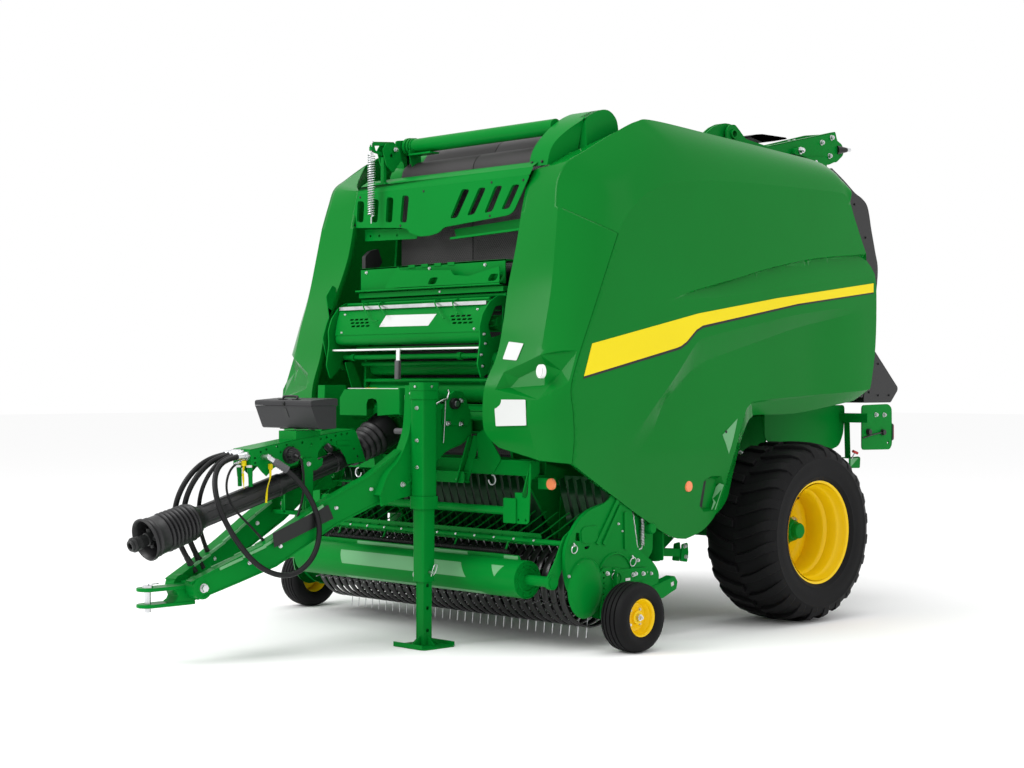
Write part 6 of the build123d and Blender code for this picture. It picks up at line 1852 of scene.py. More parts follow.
front_plate(bm, rounded([(-0.9, 0.444), (0.85, 0.444), (0.86, 0.462), (0.846, 0.482), (-0.896, 0.482)], 0.008), -0.738, 0.004)
add_box(bm, (-0.755, -0.738, 0.478), (0.755, -0.718, 0.482))
add_box(bm, (-0.9, -0.752, 0.44), (0.86, -0.736, 0.448))
for x in (-0.7, -0.3, 0.3, 0.7):
    add_box(bm, (x - 0.006, -0.73, 0.474), (x + 0.006, -0.712, 0.482))
    add_tube(bm, [(x, -0.672, 0.548), (x, -0.69, 0.51), (x, -0.716, 0.48)], 0.006, sides=8)
for index in range(24):
    x = (index - 11.5) * 0.084
    add_tube(
        bm, [(x, -0.672, 0.566), (x, -0.64, 0.58), (x, -0.56, 0.612), (x, -0.47, 0.656), (x, -0.402, 0.688)], 0.0038, sides=8,
        smooth=3
    )
    add_box(bm, (x - 0.009, -0.69, 0.542), (x + 0.009, -0.656, 0.546))
coil = [
    (-0.75 + 1.5 * i / (10 * 100), -0.722 + 0.012 * cos(2 * pi * i / 10), 0.494 + 0.012 * sin(2 * pi * i / 10))
    for i in range(10 * 100 + 1)
]
add_tube(bm, coil, 0.003, sides=6, finish=2)
cross_rod(bm, 0.755, -0.722, 0.494, 0.006, sides=12, finish=2)
# pale films of painted reflection: on the strip, and bent round the roller
for low, high in ((-0.47, 0.455), (0.735, 0.84)):
    add_box(bm, (low, -0.7432, 0.45), (high, -0.7418, 0.478), finish=3)
for top_left, top_right, low_left, low_right, start, stop in (
    (-0.5, 0.507, -0.46, 0.57, 42, -4), (0.738, 0.831, 0.786, 0.788, 45, 8), (-0.48, 0.65, -0.46, 0.69, -52, -74)
):
    rows = []
    for i in range(7):
        t, turn = i / 6, radians(start + (stop - start) * i / 6)
        y, z = -0.765 - 0.099 * cos(turn), 0.365 + 0.099 * sin(turn)
        rows.append([(top_left + (low_left - top_left) * t, y, z), (top_right + (low_right - top_right) * t, y, z)])
    add_strip(bm, rows, finish=3)
piece_of("windguard_roller", bm, "windguard", [green, zinc, dark_steel, painted_highlight_green], ["windguard"], bevel=0.0008, angle=36)

# ---- gauge wheel arms -----------------------------------------------------------------
# Plate arm with a row of height holes, its folded edge, a rear strap and the stub axle.
bm = bmesh.new()
for sign in (1, -1):
    holes = [circle_of(-0.446, 0.2 + 0.028 * i, 0.0065, sides=12) for i in range(8)]
    upright = rounded([(-0.468, 0.15), (-0.37, 0.15), (-0.366, 0.33), (-0.385, 0.418), (-0.452, 0.42), (-0.468, 0.4)], 0.016)
    flank(bm, sign, upright, 1.166, 0.008, holes=holes)
    flank(
        bm, sign, rounded([(-0.46, 0.3), (-0.38, 0.3), (-0.09, 0.336), (-0.082, 0.396), (-0.385, 0.405), (-0.458, 0.4)], 0.014),
        1.15, 0.007
    )
    add_sweep(bm, [(sign * 1.173, -0.372, 0.155), (sign * 1.173, -0.37, 0.4)], flat_bar(0.026, 0.003))
    side_rod(bm, sign, 1.16, 1.196, -0.41, 0.18, 0.034, sides=32)
    side_rod(bm, sign, 1.19, 1.33, -0.41, 0.18, 0.0138, sides=24, finish=1)
    for y, z in ((-0.42, 0.39), (-0.12, 0.366), (-0.2, 0.366)):
        side_nut(bm, sign, 1.174 if y < -0.3 else 1.157, y, z, 0.018, finish=1, stud=0.004)
piece_of("gauge_arm_plates", bm, "pickup", [green, zinc], ["gauge_arms"], bevel=0.0012, angle=32)

# ---- bale chamber ---------------------------------------------------------------------
# Side walls with pressed stiffeners, folded rims and bolted bearing plates, the rotor's star
# plates on their drum, and the slotted knife floor with its blades.
ROTOR = (0.03, 0.5)  # y and z of the rotor's axis
WALL_EDGE = [
    (-0.57, 0.985), (-0.57, 1.35), (-0.56, 1.56), (-0.44, 1.8), (-0.345, 1.96), (-0.3, 2.5), (-0.2, 2.7), (0.1, 2.752),
    (0.9, 2.79), (1.5, 2.68), (1.74, 2.47), (1.86, 2.15), (1.89, 1.65), (1.78, 1.25), (1.48, 0.76), (1.25, 0.62),
    (0.9, 0.56), (0.5, 0.3), (0.25, 0.235), (-0.02, 0.24), (-0.16, 0.33), (-0.25, 0.56), (-0.42, 0.8),
]
bm = bmesh.new()
for sign in (1, -1):
    flank(
        bm, sign, rounded(WALL_EDGE, 0.03), 0.6055, 0.011,
        holes=[circle_of(*ROTOR, 0.0405, sides=32), circle_of(0.45, 1.0, 0.03), circle_of(1.0, 1.0, 0.03)]
    )
    rim = rounded(WALL_EDGE, 0.03)
    add_strip(bm, [[(sign * x, y, z) for y, z in rim] for x in (0.6165, 0.6225)], close=True)
    for y, low, high in ((0.15, 0.9, 2.65), (0.7, 0.7, 2.7), (1.3, 0.9, 2.6)):
        rows = []
        for z in (low, low + 0.02, high - 0.02, high):
            out = 0.0 if z in (low, high) else 0.034
            rows.append(
                [
                    (sign * (0.6165 + out * share), y + across, z) for across,
                    share in ((-0.034, 0), (-0.026, 1), (0.026, 1), (0.034, 0))
                ]
            )
        add_strip(bm, rows)
    flank(bm, sign, circle_of(*ROTOR, 0.08, sides=40), 0.617, 0.02, holes=[circle_of(*ROTOR, 0.0405, sides=32)])
    for i in range(4):
        turn = pi / 4 + pi * i / 2
        side_nut(bm, sign, 0.637, 0.03 + 0.064 * cos(turn), 0.5 + 0.064 * sin(turn), 0.014, finish=1)
    for y, z in ((1.5, 2.48), (1.64, 2.08), (1.3, 0.86), (0.9, 0.74), (-0.22, 2.6), (0.98, 2.64)):
        flank(bm, sign, rounded([(y + a, z + b) for a, b in flat_bar(0.055, 0.055)], 0.014), 0.6165, 0.01)
        side_rod(bm, sign, 0.6265, 0.64, y, z, 0.03, 0.027, sides=28)
        for a, b in ((-1, -1), (-1, 1), (1, -1), (1, 1)):
            side_nut(bm, sign, 0.6265, y + 0.038 * a, z + 0.038 * b, 0.011, finish=1)
    # dark inner wall behind the tyre
    wheel_wall = [
        (1.3, 1.24), (2.118, 1.24), (2.118, 1.18), (2.104, 1.06), (2.06, 0.985), (1.95, 0.955), (1.45, 0.955), (1.3, 1.05)
    ]
    flank(bm, sign, rounded(wheel_wall, 0.03), 0.864, 0.006)
    for y in (1.45, 1.95):
        side_rod(bm, sign, 0.64, 0.866, y, 1.19, 0.018, sides=20)
    # infill beside the wall, below the side rail, and the apron towards the wheel
    flank(bm, sign, rounded([(-0.255, 0.46), (0.06, 0.42), (0.06, 0.56), (-0.24, 0.76)], 0.01), 0.656, 0.006)
    front_plate(
        bm, rounded([(sign * 0.625, 0.42), (sign * 1.136, 0.42), (sign * 1.132, 0.78), (sign * 0.625, 0.82)], 0.012), 0.072,
        0.006
    )
    side_box(bm, sign, (0.662, 0.066, 0.412), (1.085, 0.1, 0.42))
piece_of("chamber_wall_sheets", bm, "chassis", [green, zinc], ["chamber_walls"], bevel=0.0012, angle=32)
bm = bmesh.new()
cross_rod(bm, 0.64, *ROTOR, 0.0395, sides=32)
add_lathe(
    bm, (0, *ROTOR), (1, 0, 0),
    [(-0.585, 0.04), (-0.585, 0.106), (-0.581, 0.11), (0.581, 0.11), (0.585, 0.106), (0.585, 0.04)], sides=48
)
for index in range(19):
    x = (index - 9) * PITCH
    for arm in range(3):
        turn = radians(arm * 120 + index * 14)
        spots = [
            (0.246, 0.0), (0.232, 0.085), (0.17, 0.3), (0.112, 0.62), (0.1, 0.62), (0.1, -0.36), (0.112, -0.36), (0.17, -0.16),
            (0.235, -0.045)
        ]
        blade = [(0.03 + r * cos(turn + a), 0.5 + r * sin(turn + a)) for r, a in spots]
        side_plate(bm, rounded(blade, 0.01, each=2), x - 0.004, 0.008)
piece_of("rotor_stars", bm, "rotor", [green], ["feed_rotor"], bevel=0.0008, angle=32)
bm = bmesh.new()
for index in range(20):
    x = (index - 10) * PITCH + 0.004
    arc = arc_of(*ROTOR, 0.262, -112, -27, 22)
    back = arc_of(*ROTOR, 0.271, -112, -27, 22)
    if index < 19:
        add_strip(
            bm,
            [
                [(x, y, z) for y, z in arc], [(x + 0.055, y, z) for y, z in arc], [(x + 0.055, y, z) for y, z in back],
                [(x, y, z) for y, z in back]
            ],
            close=False
        )
    if 0 < index < 19:
        knife = rounded([(-0.06, 0.252), (-0.01, 0.3), (0.06, 0.33), (0.11, 0.306), (0.14, 0.262), (0.06, 0.238)], 0.006)
        side_plate(bm, knife, x - 0.0065, 0.005, finish=1)
for z_turn in (-110, -70, -30):
    y, z = 0.03 + 0.2665 * cos(radians(z_turn)), 0.5 + 0.2665 * sin(radians(z_turn))
    add_box(bm, (-0.6, y - 0.006, z - 0.004), (0.6, y + 0.006, z + 0.004))
piece_of("knife_floor_sheet", bm, "chassis", [green, zinc], ["knife_floor"], angle=40)

# ---- main frame -----------------------------------------------------------------------
# Square axle beam with its hub stubs, bolted hangers, side rails on stand-offs, the pickup's
# pivot pins with drop legs, and the short tube and bracket behind the pickup.
bm = bmesh.new()
square = flat_bar(0.065, 0.065)
side_plate(bm, rounded([(1.19 + a, 0.52 + b) for a, b in square], 0.012), -0.88, 1.76)
for sign in (1, -1):
    side_rod(bm, sign, 0.87, 1.09, 1.19, 0.52, 0.0495, sides=36)
    flank(bm, sign, rounded(oblong(1.1, 0.43, 1.28, 0.61), 0.02), 0.872, 0.01)
    hanger = [(1.0, 0.59), (1.1, 0.455), (1.28, 0.455), (1.38, 0.59), (1.46, 0.83), (1.3, 1.0), (0.9, 1.0), (0.82, 0.8)]
    flank(
        bm, sign, rounded(hanger, 0.03), 0.667, 0.016,
        holes=[circle_of(1.15, 0.78, 0.05, sides=28), circle_of(1.33, 0.86, 0.022), circle_of(0.96, 0.86, 0.022)]
    )
    for y, z in ((0.9, 0.93), (1.12, 0.95), (1.3, 0.95), (1.04, 0.64), (1.34, 0.64)):
        side_nut(bm, sign, 0.683, y, z, 0.028, finish=1, stud=0.008)
    rail = [(sign * 0.7, -0.562, 0.93), (sign * 0.7, 0.29, 0.742), (sign * 0.7, 1.14, 0.6)]
    add_sweep(bm, rail, flat_bar(0.03, 0.045))
    for y, z in ((-0.45, 0.905), (0.22, 0.755), (0.6, 0.69), (1.2, 0.9)):
        side_rod(bm, sign, 0.6175, 0.7, y, z, 0.028, sides=24)
        add_nut(bm, (sign * 0.729 if z < 0.9 or y < 0 else sign * 0.683, y, z), (sign, 0, 0), 0.02, finish=1)
    side_rod(bm, sign, 0.6175, 1.15, -0.04, 0.6, 0.0298, sides=32)
    side_rod(bm, sign, 1.15, 1.16, -0.04, 0.6, 0.0298, 0.024, sides=32)
    add_sweep(bm, [(sign * 0.7, -0.04, 0.812), (sign * 0.7, -0.041, 0.6)], flat_bar(0.03, 0.045))
    # tube and bracket behind the pickup
    add_sweep(bm, [(sign * 0.97, 0.06, 0.458), (sign * 0.97, 0.392, 0.432)], flat_bar(0.024, 0.022))
    ear = rounded([(0.372, 0.386), (0.428, 0.378), (0.44, 0.43), (0.432, 0.486), (0.386, 0.48)], 0.008)
    for x in (0.994, 0.938):
        flank(bm, sign, ear, x, 0.008)
    for y, z in ((0.404, 0.468), (0.414, 0.408)):
        side_nut(bm, sign, 1.002, y, z, 0.018, finish=1, stud=0.006)
piece_of("main_frame_beams", bm, "chassis", [green, zinc], ["main_frame"], bevel=0.002, angle=32)

# ---- upper frame ----------------------------------------------------------------------
# Rails over the chamber with the doors' hinge knuckles, cross arms, and the eye plates with
# their sleeves that the rear gate swings on.
bm = bmesh.new()
for sign in (1, -1):
    for start in (0.15, 0.95):
        for y in (start, start + 0.056):
            add_plate(
                bm, circle_of(sign * 1.04, 2.725, 0.015, sides=24), lambda u, v, w: (u, y + w, v), 0.004,
                holes=[circle_of(sign * 1.04, 2.725, 0.0085, sides=20)]
            )
        add_strip(
            bm, [[(x, y, z) for x, z in circle_of(sign * 1.04, 2.725, 0.015, sides=24)] for y in (start, start + 0.06)],
            close=True
        )
        side_box(bm, sign, (0.975, start, 2.711), (1.03, start + 0.06, 2.719))
    add_sweep(bm, [(sign * 0.985, -0.058, 2.7175), (sign * 0.985, 1.478, 2.7175)], flat_bar(0.015, 0.0175))
    for y in (0.04, 1.0):
        add_sweep(bm, [(sign * 0.618, y, 2.72), (sign * 0.984, y, 2.72)], flat_bar(0.02, 0.02))
        add_nut(bm, (sign * 0.95, y, 2.74), (0, 0, 1), 0.018, finish=1)
    eye = [
        (0.99, 2.702), (0.985, 2.8), (1.01, 2.868), (1.07, 2.908), (1.134, 2.934), (1.19, 2.944), (1.236, 2.944),
        (1.285, 2.928), (1.325, 2.898), (1.35, 2.85), (1.372, 2.78), (1.39, 2.702)
    ]
    for x in (0.622, 0.648):
        flank(bm, sign, rounded(eye, 0.012), x, 0.01, holes=[circle_of(1.23, 2.88, 0.0305, sides=32)])
    add_strip(
        bm,
        [
            [(sign * x, y, z) for y, z in circle_of(1.23, 2.88, r, sides=40)] for x,
            r in ((0.632, 0.028), (0.699, 0.028), (0.6995, 0.02), (0.668, 0.02))
        ],
        close=True
    )
    add_strip(
        bm,
        [
            [(sign * x, y, z) for y, z in circle_of(1.23, 2.88, r, sides=40)] for x,
            r in ((0.658, 0.0295), (0.671, 0.0295), (0.671, 0.046), (0.658, 0.046))
        ],
        close=True
    )
    side_box(bm, sign, (0.618, 0.99, 2.701), (0.66, 1.392, 2.711))
    # two low rounded boxes on the roof ahead of the eye plates
    flank(
        bm, sign, rounded([(0.53, 2.79), (0.52, 2.838), (0.545, 2.856), (0.7, 2.846), (0.74, 2.826), (0.745, 2.79)], 0.012),
        0.63, 0.07
    )
    side_nut(bm, sign, 0.7, 0.62, 2.826, 0.016, finish=1)
    side_nut(bm, sign, 0.7, 0.7, 2.822, 0.016, finish=1)
    flank(
        bm, sign, rounded([(0.78, 2.79), (0.785, 2.832), (0.83, 2.852), (0.9, 2.85), (0.95, 2.826), (0.955, 2.79)], 0.02), 0.63,
        0.06
    )
piece_of("upper_frame_rails", bm, "chassis", [green, zinc], ["upper_frame"], bevel=0.0012, angle=32)

# ---- rear gate ------------------------------------------------------------------------
# Paired arms with bolts, a bracket and a cross tube, the rubber roller on a zinc pin, the
# black curtain with ribbed sides, and the hollow flap below it.
GATE_ARM = [
    (1.165, 2.846), (1.168, 2.9), (1.2, 2.934), (1.25, 2.938), (1.29, 2.91), (1.35, 2.862), (1.572, 2.836), (2.276, 2.993),
    (2.291, 2.95), (2.306, 2.93), (2.308, 2.812), (2.2, 2.775), (2.0, 2.77), (1.6, 2.778), (1.38, 2.796), (1.23, 2.806),
]
bm = bmesh.new()
for sign in (1, -1):
    bore = circle_of(1.23, 2.88, 0.0308, sides=32)
    flank(bm, sign, rounded(GATE_ARM, 0.012), 0.676, 0.01, holes=[bore])
    inner = [(1.5, 2.8), (1.56, 2.834), (2.12, 2.968), (2.286, 2.99), (2.29, 2.82), (2.15, 2.785)]
    add_plate(bm, rounded(inner, 0.012), lambda u, v, w: (sign * (0.56 - w), u, v), 0.01)
    # folded top flange with its light edge
    add_sweep(bm, [(sign * 0.668, 1.58, 2.838), (sign * 0.668, 2.272, 2.992)], oblong(-0.018, -0.003, 0.018, 0.002))
    for y, z in ((2.125, 2.911), (2.231, 2.952), (2.208, 2.833), (2.05, 2.779)):
        side_nut(bm, sign, 0.686, y, z, 0.026, finish=1, stud=0.006)
    for x in (0.64, 0.6):
        add_nut(bm, (sign * x, 1.9, 2.905), (0, -0.2, 1), 0.018, finish=1)
    # bracket with a hexagon pin, and the nose that carries the roller's pin
    flank(bm, sign, rounded([(1.8, 2.806), (1.812, 2.842), (1.88, 2.862), (1.92, 2.84), (1.95, 2.8)], 0.01), 0.686, 0.03)
    side_nut(bm, sign, 0.716, 1.862, 2.834, 0.034, finish=1, stud=0.01)
    nose = [(2.215, 2.8), (2.3, 2.8), (2.372, 2.85), (2.384, 2.886), (2.36, 2.922), (2.29, 2.95), (2.24, 2.925)]
    flank(bm, sign, rounded(nose, 0.014), 0.664, 0.012)
    add_rod(bm, (sign * 0.678, 2.3, 2.88), (sign * 0.706, 2.372, 2.884), 0.03, 0.014, sides=28, finish=2)
    add_rod(bm, (sign * 0.69, 2.322, 2.882), (sign * 0.712, 2.398, 2.886), 0.012, sides=20, finish=1)
    # drop plate that carries the curtain
    drop = [(1.9, 2.8), (2.16, 2.82), (2.166, 2.7), (2.15, 2.516), (2.052, 2.56), (1.94, 2.68)]
    flank(bm, sign, rounded(drop, 0.016), 0.689, 0.012, holes=[circle_of(2.06, 2.7, 0.018)])
cross_rod(bm, 0.684, 1.7, 2.83, 0.034, sides=32)
cross_rod(bm, 0.556, 2.08, 2.88, 0.022, sides=24)
piece_of("gate_arm_plates", bm, "gate", [green, zinc, dark_steel], ["gate_arms"], bevel=0.0012, angle=32)
bm = bmesh.new()
add_lathe(bm, (0, 2.24, 2.87), (1, 0, 0), [
    (-0.662, 0.0), (-0.662, 0.02), (-0.648, 0.022), (-0.646, 0.05), (-0.64, 0.055), (0.64, 0.055), (0.646, 0.05),
    (0.648, 0.022), (0.662, 0.02), (0.662, 0.0),
], sides=48)
add_strip(
    bm,
    [
        [(x, y, z) for x in (-0.34, 0.34)] for y,
        z in (
            (1.84, 2.96), (1.9, 2.976), (1.962, 2.984), (2.214, 2.985), (2.222, 2.976), (2.08, 2.948), (1.962, 2.932),
            (1.84, 2.952)
        )
    ]
)
piece_of("gate_roller_rubber", bm, "gate", [rubber], ["gate_roller"], angle=40)
CURTAIN_LINE = [
    (1.8, 2.695), (1.93, 2.628), (2.042, 2.562), (2.122, 2.53), (2.182, 2.478), (2.222, 2.34), (2.262, 2.21), (2.293, 2.09),
    (2.262, 1.88), (2.215, 1.64), (2.172, 1.46), (2.13, 1.29)
]
bm = bmesh.new()
curve = eased(CURTAIN_LINE, 5)
back = [(y - 0.014, z - 0.004) for y, z in curve]
columns = [-0.998 + 1.996 * i / 40 for i in range(41)]
add_strip(bm, [[(x, y - 0.004 * (i % 4 == 2), z) for y, z in curve] for i, x in enumerate(columns)])
add_sheet(bm, back, columns)
for x in (-0.998, 0.998):
    add_strip(bm, [[(x, y, z) for y, z in curve], [(x, y, z) for y, z in back]])
for sign in (1, -1):
    inner = [(2.04, 1.29), (2.02, 1.96), (1.94, 2.28), (1.76, 2.66)]
    flank(bm, sign, [*curve, *inner], 0.99, 0.009)
    rib = eased([(1.79, 2.668), (1.968, 2.3), (2.046, 1.962), (2.068, 1.3)], 6)
    add_tube(bm, [(sign * 0.999, y, z) for y, z in rib], 0.005, sides=8)
    for y, z in ((1.88, 2.62), (2.06, 2.5), (2.18, 2.3), (2.23, 2.06), (2.19, 1.8), (2.14, 1.5), (2.1, 1.34)):
        side_nut(bm, sign, 0.999, y - 0.02, z - 0.01, 0.012)
piece_of("rear_curtain_sheet", bm, "gate", [plastic], ["rear_curtain"], angle=35)
bm = bmesh.new()
flap = rounded([(2.222, 1.616), (2.518, 1.351), (2.516, 1.33), (2.439, 1.254), (2.142, 1.254), (2.142, 1.29)], 0.012)
hollow = rounded([(2.226, 1.586), (2.492, 1.35), (2.43, 1.268), (2.162, 1.268), (2.162, 1.292)], 0.01)
for sign in (1, -1):
    flank(bm, sign, flap, 0.97, 0.028)
    for y, z in ((2.2, 1.32), (2.3, 1.3), (2.42, 1.3), (2.3, 1.5)):
        side_nut(bm, sign, 0.998, y, z, 0.012)
for ring in (flap, hollow):
    add_sheet(bm, ring, (-0.97, 0.97), close=True)
for i in range(9):
    x = -0.88 + 0.22 * i
    add_sweep(bm, [(x, 2.24, 1.602), (x, 2.508, 1.362)], [(-0.012, 0.0), (0.012, 0.0), (0.008, 0.005), (-0.008, 0.005)])
piece_of("gate_flap_shell", bm, "gate", [plastic], ["gate_flap"], bevel=0.001, angle=35)

# ---- rear beam and lamps --------------------------------------------------------------
# Box beam on brackets with rounded lamp plates, bolts, a step bracket, the lamps' cables with
# their knobs, and red lamps with a ribbed lens in a black housing.
def rear_plate(bm, sign, outline, y, thick, finish=0):
    """Plate in the (x, z) plane on one side, from y towards the rear by thick."""
    add_plate(bm, outline, lambda u, v, w: (sign * u, y + w, v), thick, finish=finish)


bm = bmesh.new()
beam_ring = rounded(oblong(2.061, 1.131, 2.119, 1.189), 0.008)
side_plate(bm, beam_ring, -1.079, 2.158)
for sign in (1, -1):
    add_sweep(bm, [(sign * 0.64, 2.07, 1.16), (sign * 0.64, 1.7, 1.16)], flat_bar(0.02, 0.03))
    flank(bm, sign, rounded(oblong(1.642, 1.102, 1.758, 1.248), 0.014), 0.6175, 0.012)
    for y, z in ((1.668, 1.22), (1.732, 1.22), (1.668, 1.128)):
        side_nut(bm, sign, 0.6295, y, z, 0.02, finish=1, stud=0.005)
    lamp_plate = rounded([(2.115, 1.24), (2.402, 1.245), (2.442, 1.22), (2.446, 0.985), (2.42, 0.955), (2.115, 0.96)], 0.026)
    flank(bm, sign, lamp_plate, 0.996, 0.008, holes=[circle_of(2.4, 1.0, 0.01)])
    for y, z in ((2.262, 1.178), (2.352, 1.176)):
        side_nut(bm, sign, 1.004, y, z, 0.022, finish=1, stud=0.005)
    rear_plate(bm, sign, rounded(oblong(0.928, 1.0, 1.004, 1.128), 0.008), 2.438, 0.008)
    # step bracket under the plate
    flank(bm, sign, rounded([(2.08, 0.845), (2.19, 0.842), (2.196, 0.908), (2.176, 0.916), (2.075, 0.912)], 0.01), 0.93, 0.006)
    side_box(bm, sign, (0.86, 2.08, 0.905), (0.936, 2.19, 0.911))
    # pale green triangle on the bracket's face: painted highlight
    flank(bm, sign, [(2.088, 0.852), (2.176, 0.908), (2.088, 0.906)], 0.9362, 0.001, finish=3)
    add_sweep(bm, [(sign * 0.9, 2.11, 0.908), (sign * 0.9, 2.1, 1.132)], flat_bar(0.02, 0.003))
    add_rod(bm, (sign * 0.96, 2.08, 0.952), (sign * 0.966, 2.12, 0.938), 0.009, sides=16, finish=4)
    add_rod(bm, (sign * 0.934, 2.1, 0.9), (sign * 0.963, 2.1, 0.945), 0.004, sides=12, finish=1)
    # cable of the lamp with its two knobs
    add_tube(
        bm,
        [
            (sign * 1.014, 2.34, 1.066), (sign * 1.014, 2.29, 1.062), (sign * 1.012, 2.21, 1.052), (sign * 1.01, 2.15, 1.04),
            (sign * 1.006, 2.12, 1.036)
        ],
        0.0045, sides=10, finish=2, smooth=5
    )
    for y, z in ((2.334, 1.066), (2.176, 1.072)):
        side_rod(bm, sign, 1.004, 1.026, y, z, 0.02, 0.017, sides=20, finish=2)
piece_of("rear_beam_plates", bm, "chassis", [green, zinc, plastic, painted_highlight_green, red_lens], ["rear_beam"], bevel=0.0012, angle=32)
bm = bmesh.new()
for sign in (1, -1):
    face = rounded(oblong(0.931, 1.011, 1.005, 1.119), 0.012)
    rear_plate(bm, sign, face, 2.4485, 0.014, finish=1)
    lens = rounded(oblong(0.934, 1.015, 1.002, 1.115), 0.012)
    rear_plate(bm, sign, lens, 2.4605, 0.01)
    for i in range(6):
        z = 1.028 + 0.015 * i
        side_box(bm, sign, (0.94, 2.47, z), (0.996, 2.4735, z + 0.007))
    for z in (1.022, 1.108):
        add_rod(bm, (sign * 0.968, 2.47, z), (sign * 0.968, 2.4745, z), 0.004, sides=10, finish=1)
piece_of("tail_lamp_lenses", bm, "chassis", [red_lens, plastic], ["tail_lamps"], bevel=0.0012)


# ---- main wheels ----------------------------------------------------------------------
# Flotation tyre with two rows of curved, staggered lugs and deep open shoulders, on a deep
# dished yellow rim whose disc sits well inside, and a green hub cone with zinc nuts.
def add_turned(bm, profile, centre, sides=96, sign=1):
    """Surface of revolution about an X axis through centre; profile is (x, radius)."""
    rows = []
    for x, radius in profile:
        rows.append([
            (centre[0] + sign * x, centre[1] + radius * cos(2 * pi * i / sides), centre[2] + radius * sin(2 * pi * i / sides))
            for i in range(sides)
        ])
    add_strip(bm, rows, close=True)


WHEEL = Vector((1.13, 1.19, 0.52))
LUGS = 24
TREAD = [  # x from the middle, lag in radians, radius of the lug's foot, its height, half its width
    (0.004, 0.0, 0.499, 0.021, 0.024), (0.06, 0.02, 0.499, 0.021, 0.025), (0.12, 0.062, 0.497, 0.022, 0.027),
    (0.175, 0.112, 0.488, 0.024, 0.03), (0.215, 0.142, 0.47, 0.02, 0.032), (0.234, 0.15, 0.444, 0.012, 0.03),
    (0.24, 0.152, 0.42, 0.002, 0.026),
]
CASING = [
    (-0.2, 0.292), (-0.222, 0.305), (-0.238, 0.345), (-0.243, 0.39), (-0.24, 0.43), (-0.225, 0.466), (-0.19, 0.486),
    (-0.12, 0.497), (0.0, 0.5), (0.12, 0.497), (0.19, 0.486), (0.225, 0.466), (0.2395, 0.432), (0.2425, 0.426), (0.2405, 0.42),
    (0.243, 0.39), (0.24, 0.35), (0.233, 0.326), (0.2345, 0.321), (0.229, 0.314), (0.222, 0.303), (0.214, 0.297),
    (0.204, 0.292),
]
RIM = [
    (-0.212, 0.303), (-0.205, 0.28), (-0.18, 0.272), (-0.15, 0.262), (-0.07, 0.25), (0.0, 0.238), (0.072, 0.238),
    (0.082, 0.244),
    (0.092, 0.256), (0.15, 0.262), (0.16, 0.268), (0.168, 0.276), (0.198, 0.28), (0.207, 0.284), (0.213, 0.292), (0.215, 0.301),
    (0.209, 0.306),
]
DISC = [(-0.06, 0.248), (-0.048, 0.24), (-0.046, 0.205), (-0.056, 0.19), (-0.06, 0.17), (-0.06, 0.095)]
HUB = [
    (-0.1, 0.085), (-0.09, 0.1), (-0.064, 0.104), (-0.058, 0.112), (-0.046, 0.112), (-0.04, 0.1), (-0.02, 0.082), (0.02, 0.066),
    (0.048, 0.056), (0.052, 0.047), (0.08, 0.045), (0.086, 0.041), (0.088, 0.0),
]
for side, sign in SIDES:
    centre = (sign * WHEEL.x, WHEEL.y, WHEEL.z)
    bm = bmesh.new()
    add_turned(bm, CASING, centre, sides=120, sign=sign)
    for row in (1, -1):
        for index in range(LUGS):
            start = 2 * pi * (index + (0.5 if row < 0 else 0)) / LUGS
            stations = []
            for x, lag, foot, height, half in TREAD:
                middle = start - lag
                ring = []
                for turn, radius in (
                    (-half / foot, foot - 0.012), (-half * 0.86 / foot, foot + height), (half * 0.86 / foot, foot + height),
                    (half / foot, foot - 0.012)
                ):
                    out = radius if radius < foot else foot + height * cos(min(1, x / 0.24) * 0.9)
                    reach = x if radius < foot else x + height * sin(min(1, x / 0.24) * 0.9) * 0.35
                    ring.append(
                        (
                            centre[0] + sign * row * min(reach, 0.2445), centre[1] + out * cos(middle + turn),
                            centre[2] + out * sin(middle + turn)
                        )
                    )
                stations.append(ring)
            made = add_strip(bm, stations)
            bm.faces.new(made[0])
            bm.faces.new(list(reversed(made[-1])))
    piece_of(f"tyre_{side}", bm, f"wheel_{side}", [rubber], [f"main_tyre_{side}"], bevel=0.004, angle=38)
    bm = bmesh.new()
    add_turned(bm, RIM, centre, sides=96, sign=sign)
    add_turned(bm, [(x, radius - 0.006) for x, radius in RIM[2:-3]], centre, sides=96, sign=sign)
    add_turned(bm, DISC, centre, sides=96, sign=sign)
    add_turned(bm, [(x - 0.01, radius) for x, radius in DISC], centre, sides=96, sign=sign)
    add_rod(
        bm, (centre[0] + sign * 0.206, centre[1] - 0.18, centre[2] + 0.205),
        (centre[0] + sign * 0.18, centre[1] - 0.175, centre[2] + 0.197), 0.006, finish=1
    )
    piece_of(f"rim_{side}", bm, f"wheel_{side}", [yellow, rubber], [f"main_rim_{side}"], angle=40)
    bm = bmesh.new()
    add_turned(bm, HUB, centre, sides=48, sign=sign)
    for index in range(8):
        turn = 2 * pi * (index + 0.5) / 8
        spot = (centre[0] - sign * 0.06, centre[1] + 0.138 * cos(turn), centre[2] + 0.138 * sin(turn))
        add_nut(bm, spot, (sign, 0, 0), 0.027, finish=1, stud=0.01)
    piece_of(f"hub_{side}", bm, f"wheel_{side}", [green, zinc], [f"wheel_hub_{side}"], bevel=0.0015, angle=32)

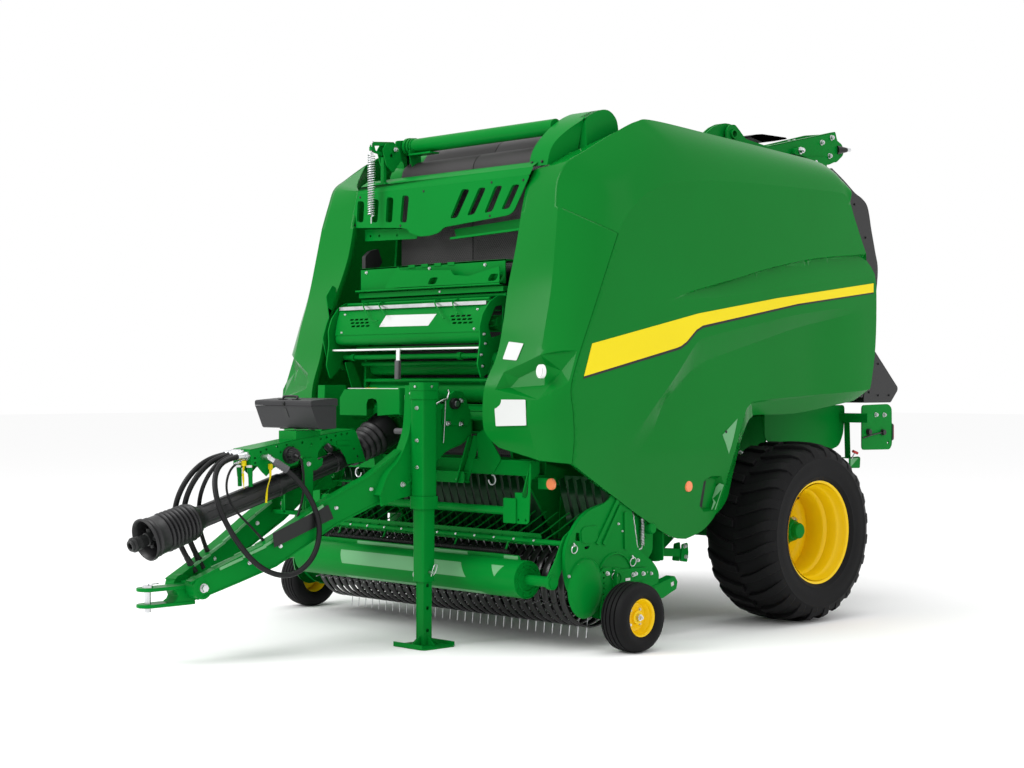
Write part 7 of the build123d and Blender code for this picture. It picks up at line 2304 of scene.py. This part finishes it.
# ---- pickup gauge wheels --------------------------------------------------------------
# Small ribbed implement tyres with four grooves round them, on dished yellow rims with a
# zinc axle nut; each runs on a stub from the pickup's side arm.
GAUGE = Vector((1.345, -0.41, 0.18))
GAUGE_TYRE = [
    (-0.056, 0.09), (-0.068, 0.1), (-0.077, 0.118), (-0.08, 0.138), (-0.077, 0.156), (-0.07, 0.168), (-0.06, 0.1745),
    (-0.052, 0.1765), (-0.05, 0.169), (-0.046, 0.169), (-0.044, 0.178), (-0.03, 0.1792), (-0.028, 0.171), (-0.024, 0.171),
    (-0.022, 0.1796),
    (-0.002, 0.18), (0.0, 0.1715), (0.004, 0.1715), (0.006, 0.1798), (0.026, 0.179), (0.028, 0.171), (0.032, 0.171),
    (0.034, 0.178),
    (0.05, 0.1755), (0.062, 0.171), (0.072, 0.162), (0.078, 0.148), (0.08, 0.134), (0.076, 0.114), (0.067, 0.1), (0.062, 0.099),
    (0.056, 0.091),
]
GAUGE_RIM = [
    (-0.06, 0.098), (-0.056, 0.088), (-0.03, 0.083), (0.028, 0.083), (0.05, 0.087), (0.058, 0.091), (0.062, 0.098),
    (0.058, 0.1),
    (0.052, 0.093), (0.03, 0.08), (0.014, 0.072), (0.01, 0.06), (0.014, 0.044), (0.022, 0.036), (0.036, 0.034), (0.038, 0.0),
]
for side, sign in SIDES:
    centre = (sign * GAUGE.x, GAUGE.y, GAUGE.z)
    bm = bmesh.new()
    add_turned(bm, GAUGE_TYRE, centre, sides=96, sign=sign)
    piece_of(f"gauge_tyre_skin_{side}", bm, f"gauge_wheel_{side}", [rubber], [f"gauge_tyre_{side}"], angle=50)
    bm = bmesh.new()
    add_turned(bm, GAUGE_RIM, centre, sides=64, sign=sign)
    add_rod(bm, (centre[0] + sign * 0.036, *centre[1:]), (centre[0] + sign * 0.052, *centre[1:]), 0.021, 0.017, finish=1)
    add_nut(bm, (centre[0] + sign * 0.05, *centre[1:]), (sign, 0, 0), 0.02, finish=1, stud=0.006)
    for index in range(4):
        turn = pi / 4 + pi * index / 2
        add_nut(
            bm, (centre[0] + sign * 0.012, centre[1] + 0.052 * cos(turn), centre[2] + 0.052 * sin(turn)), (sign, 0, 0), 0.012,
            finish=1
        )
    piece_of(f"gauge_rim_skin_{side}", bm, f"gauge_wheel_{side}", [yellow, zinc], [f"gauge_rim_{side}"], angle=35)
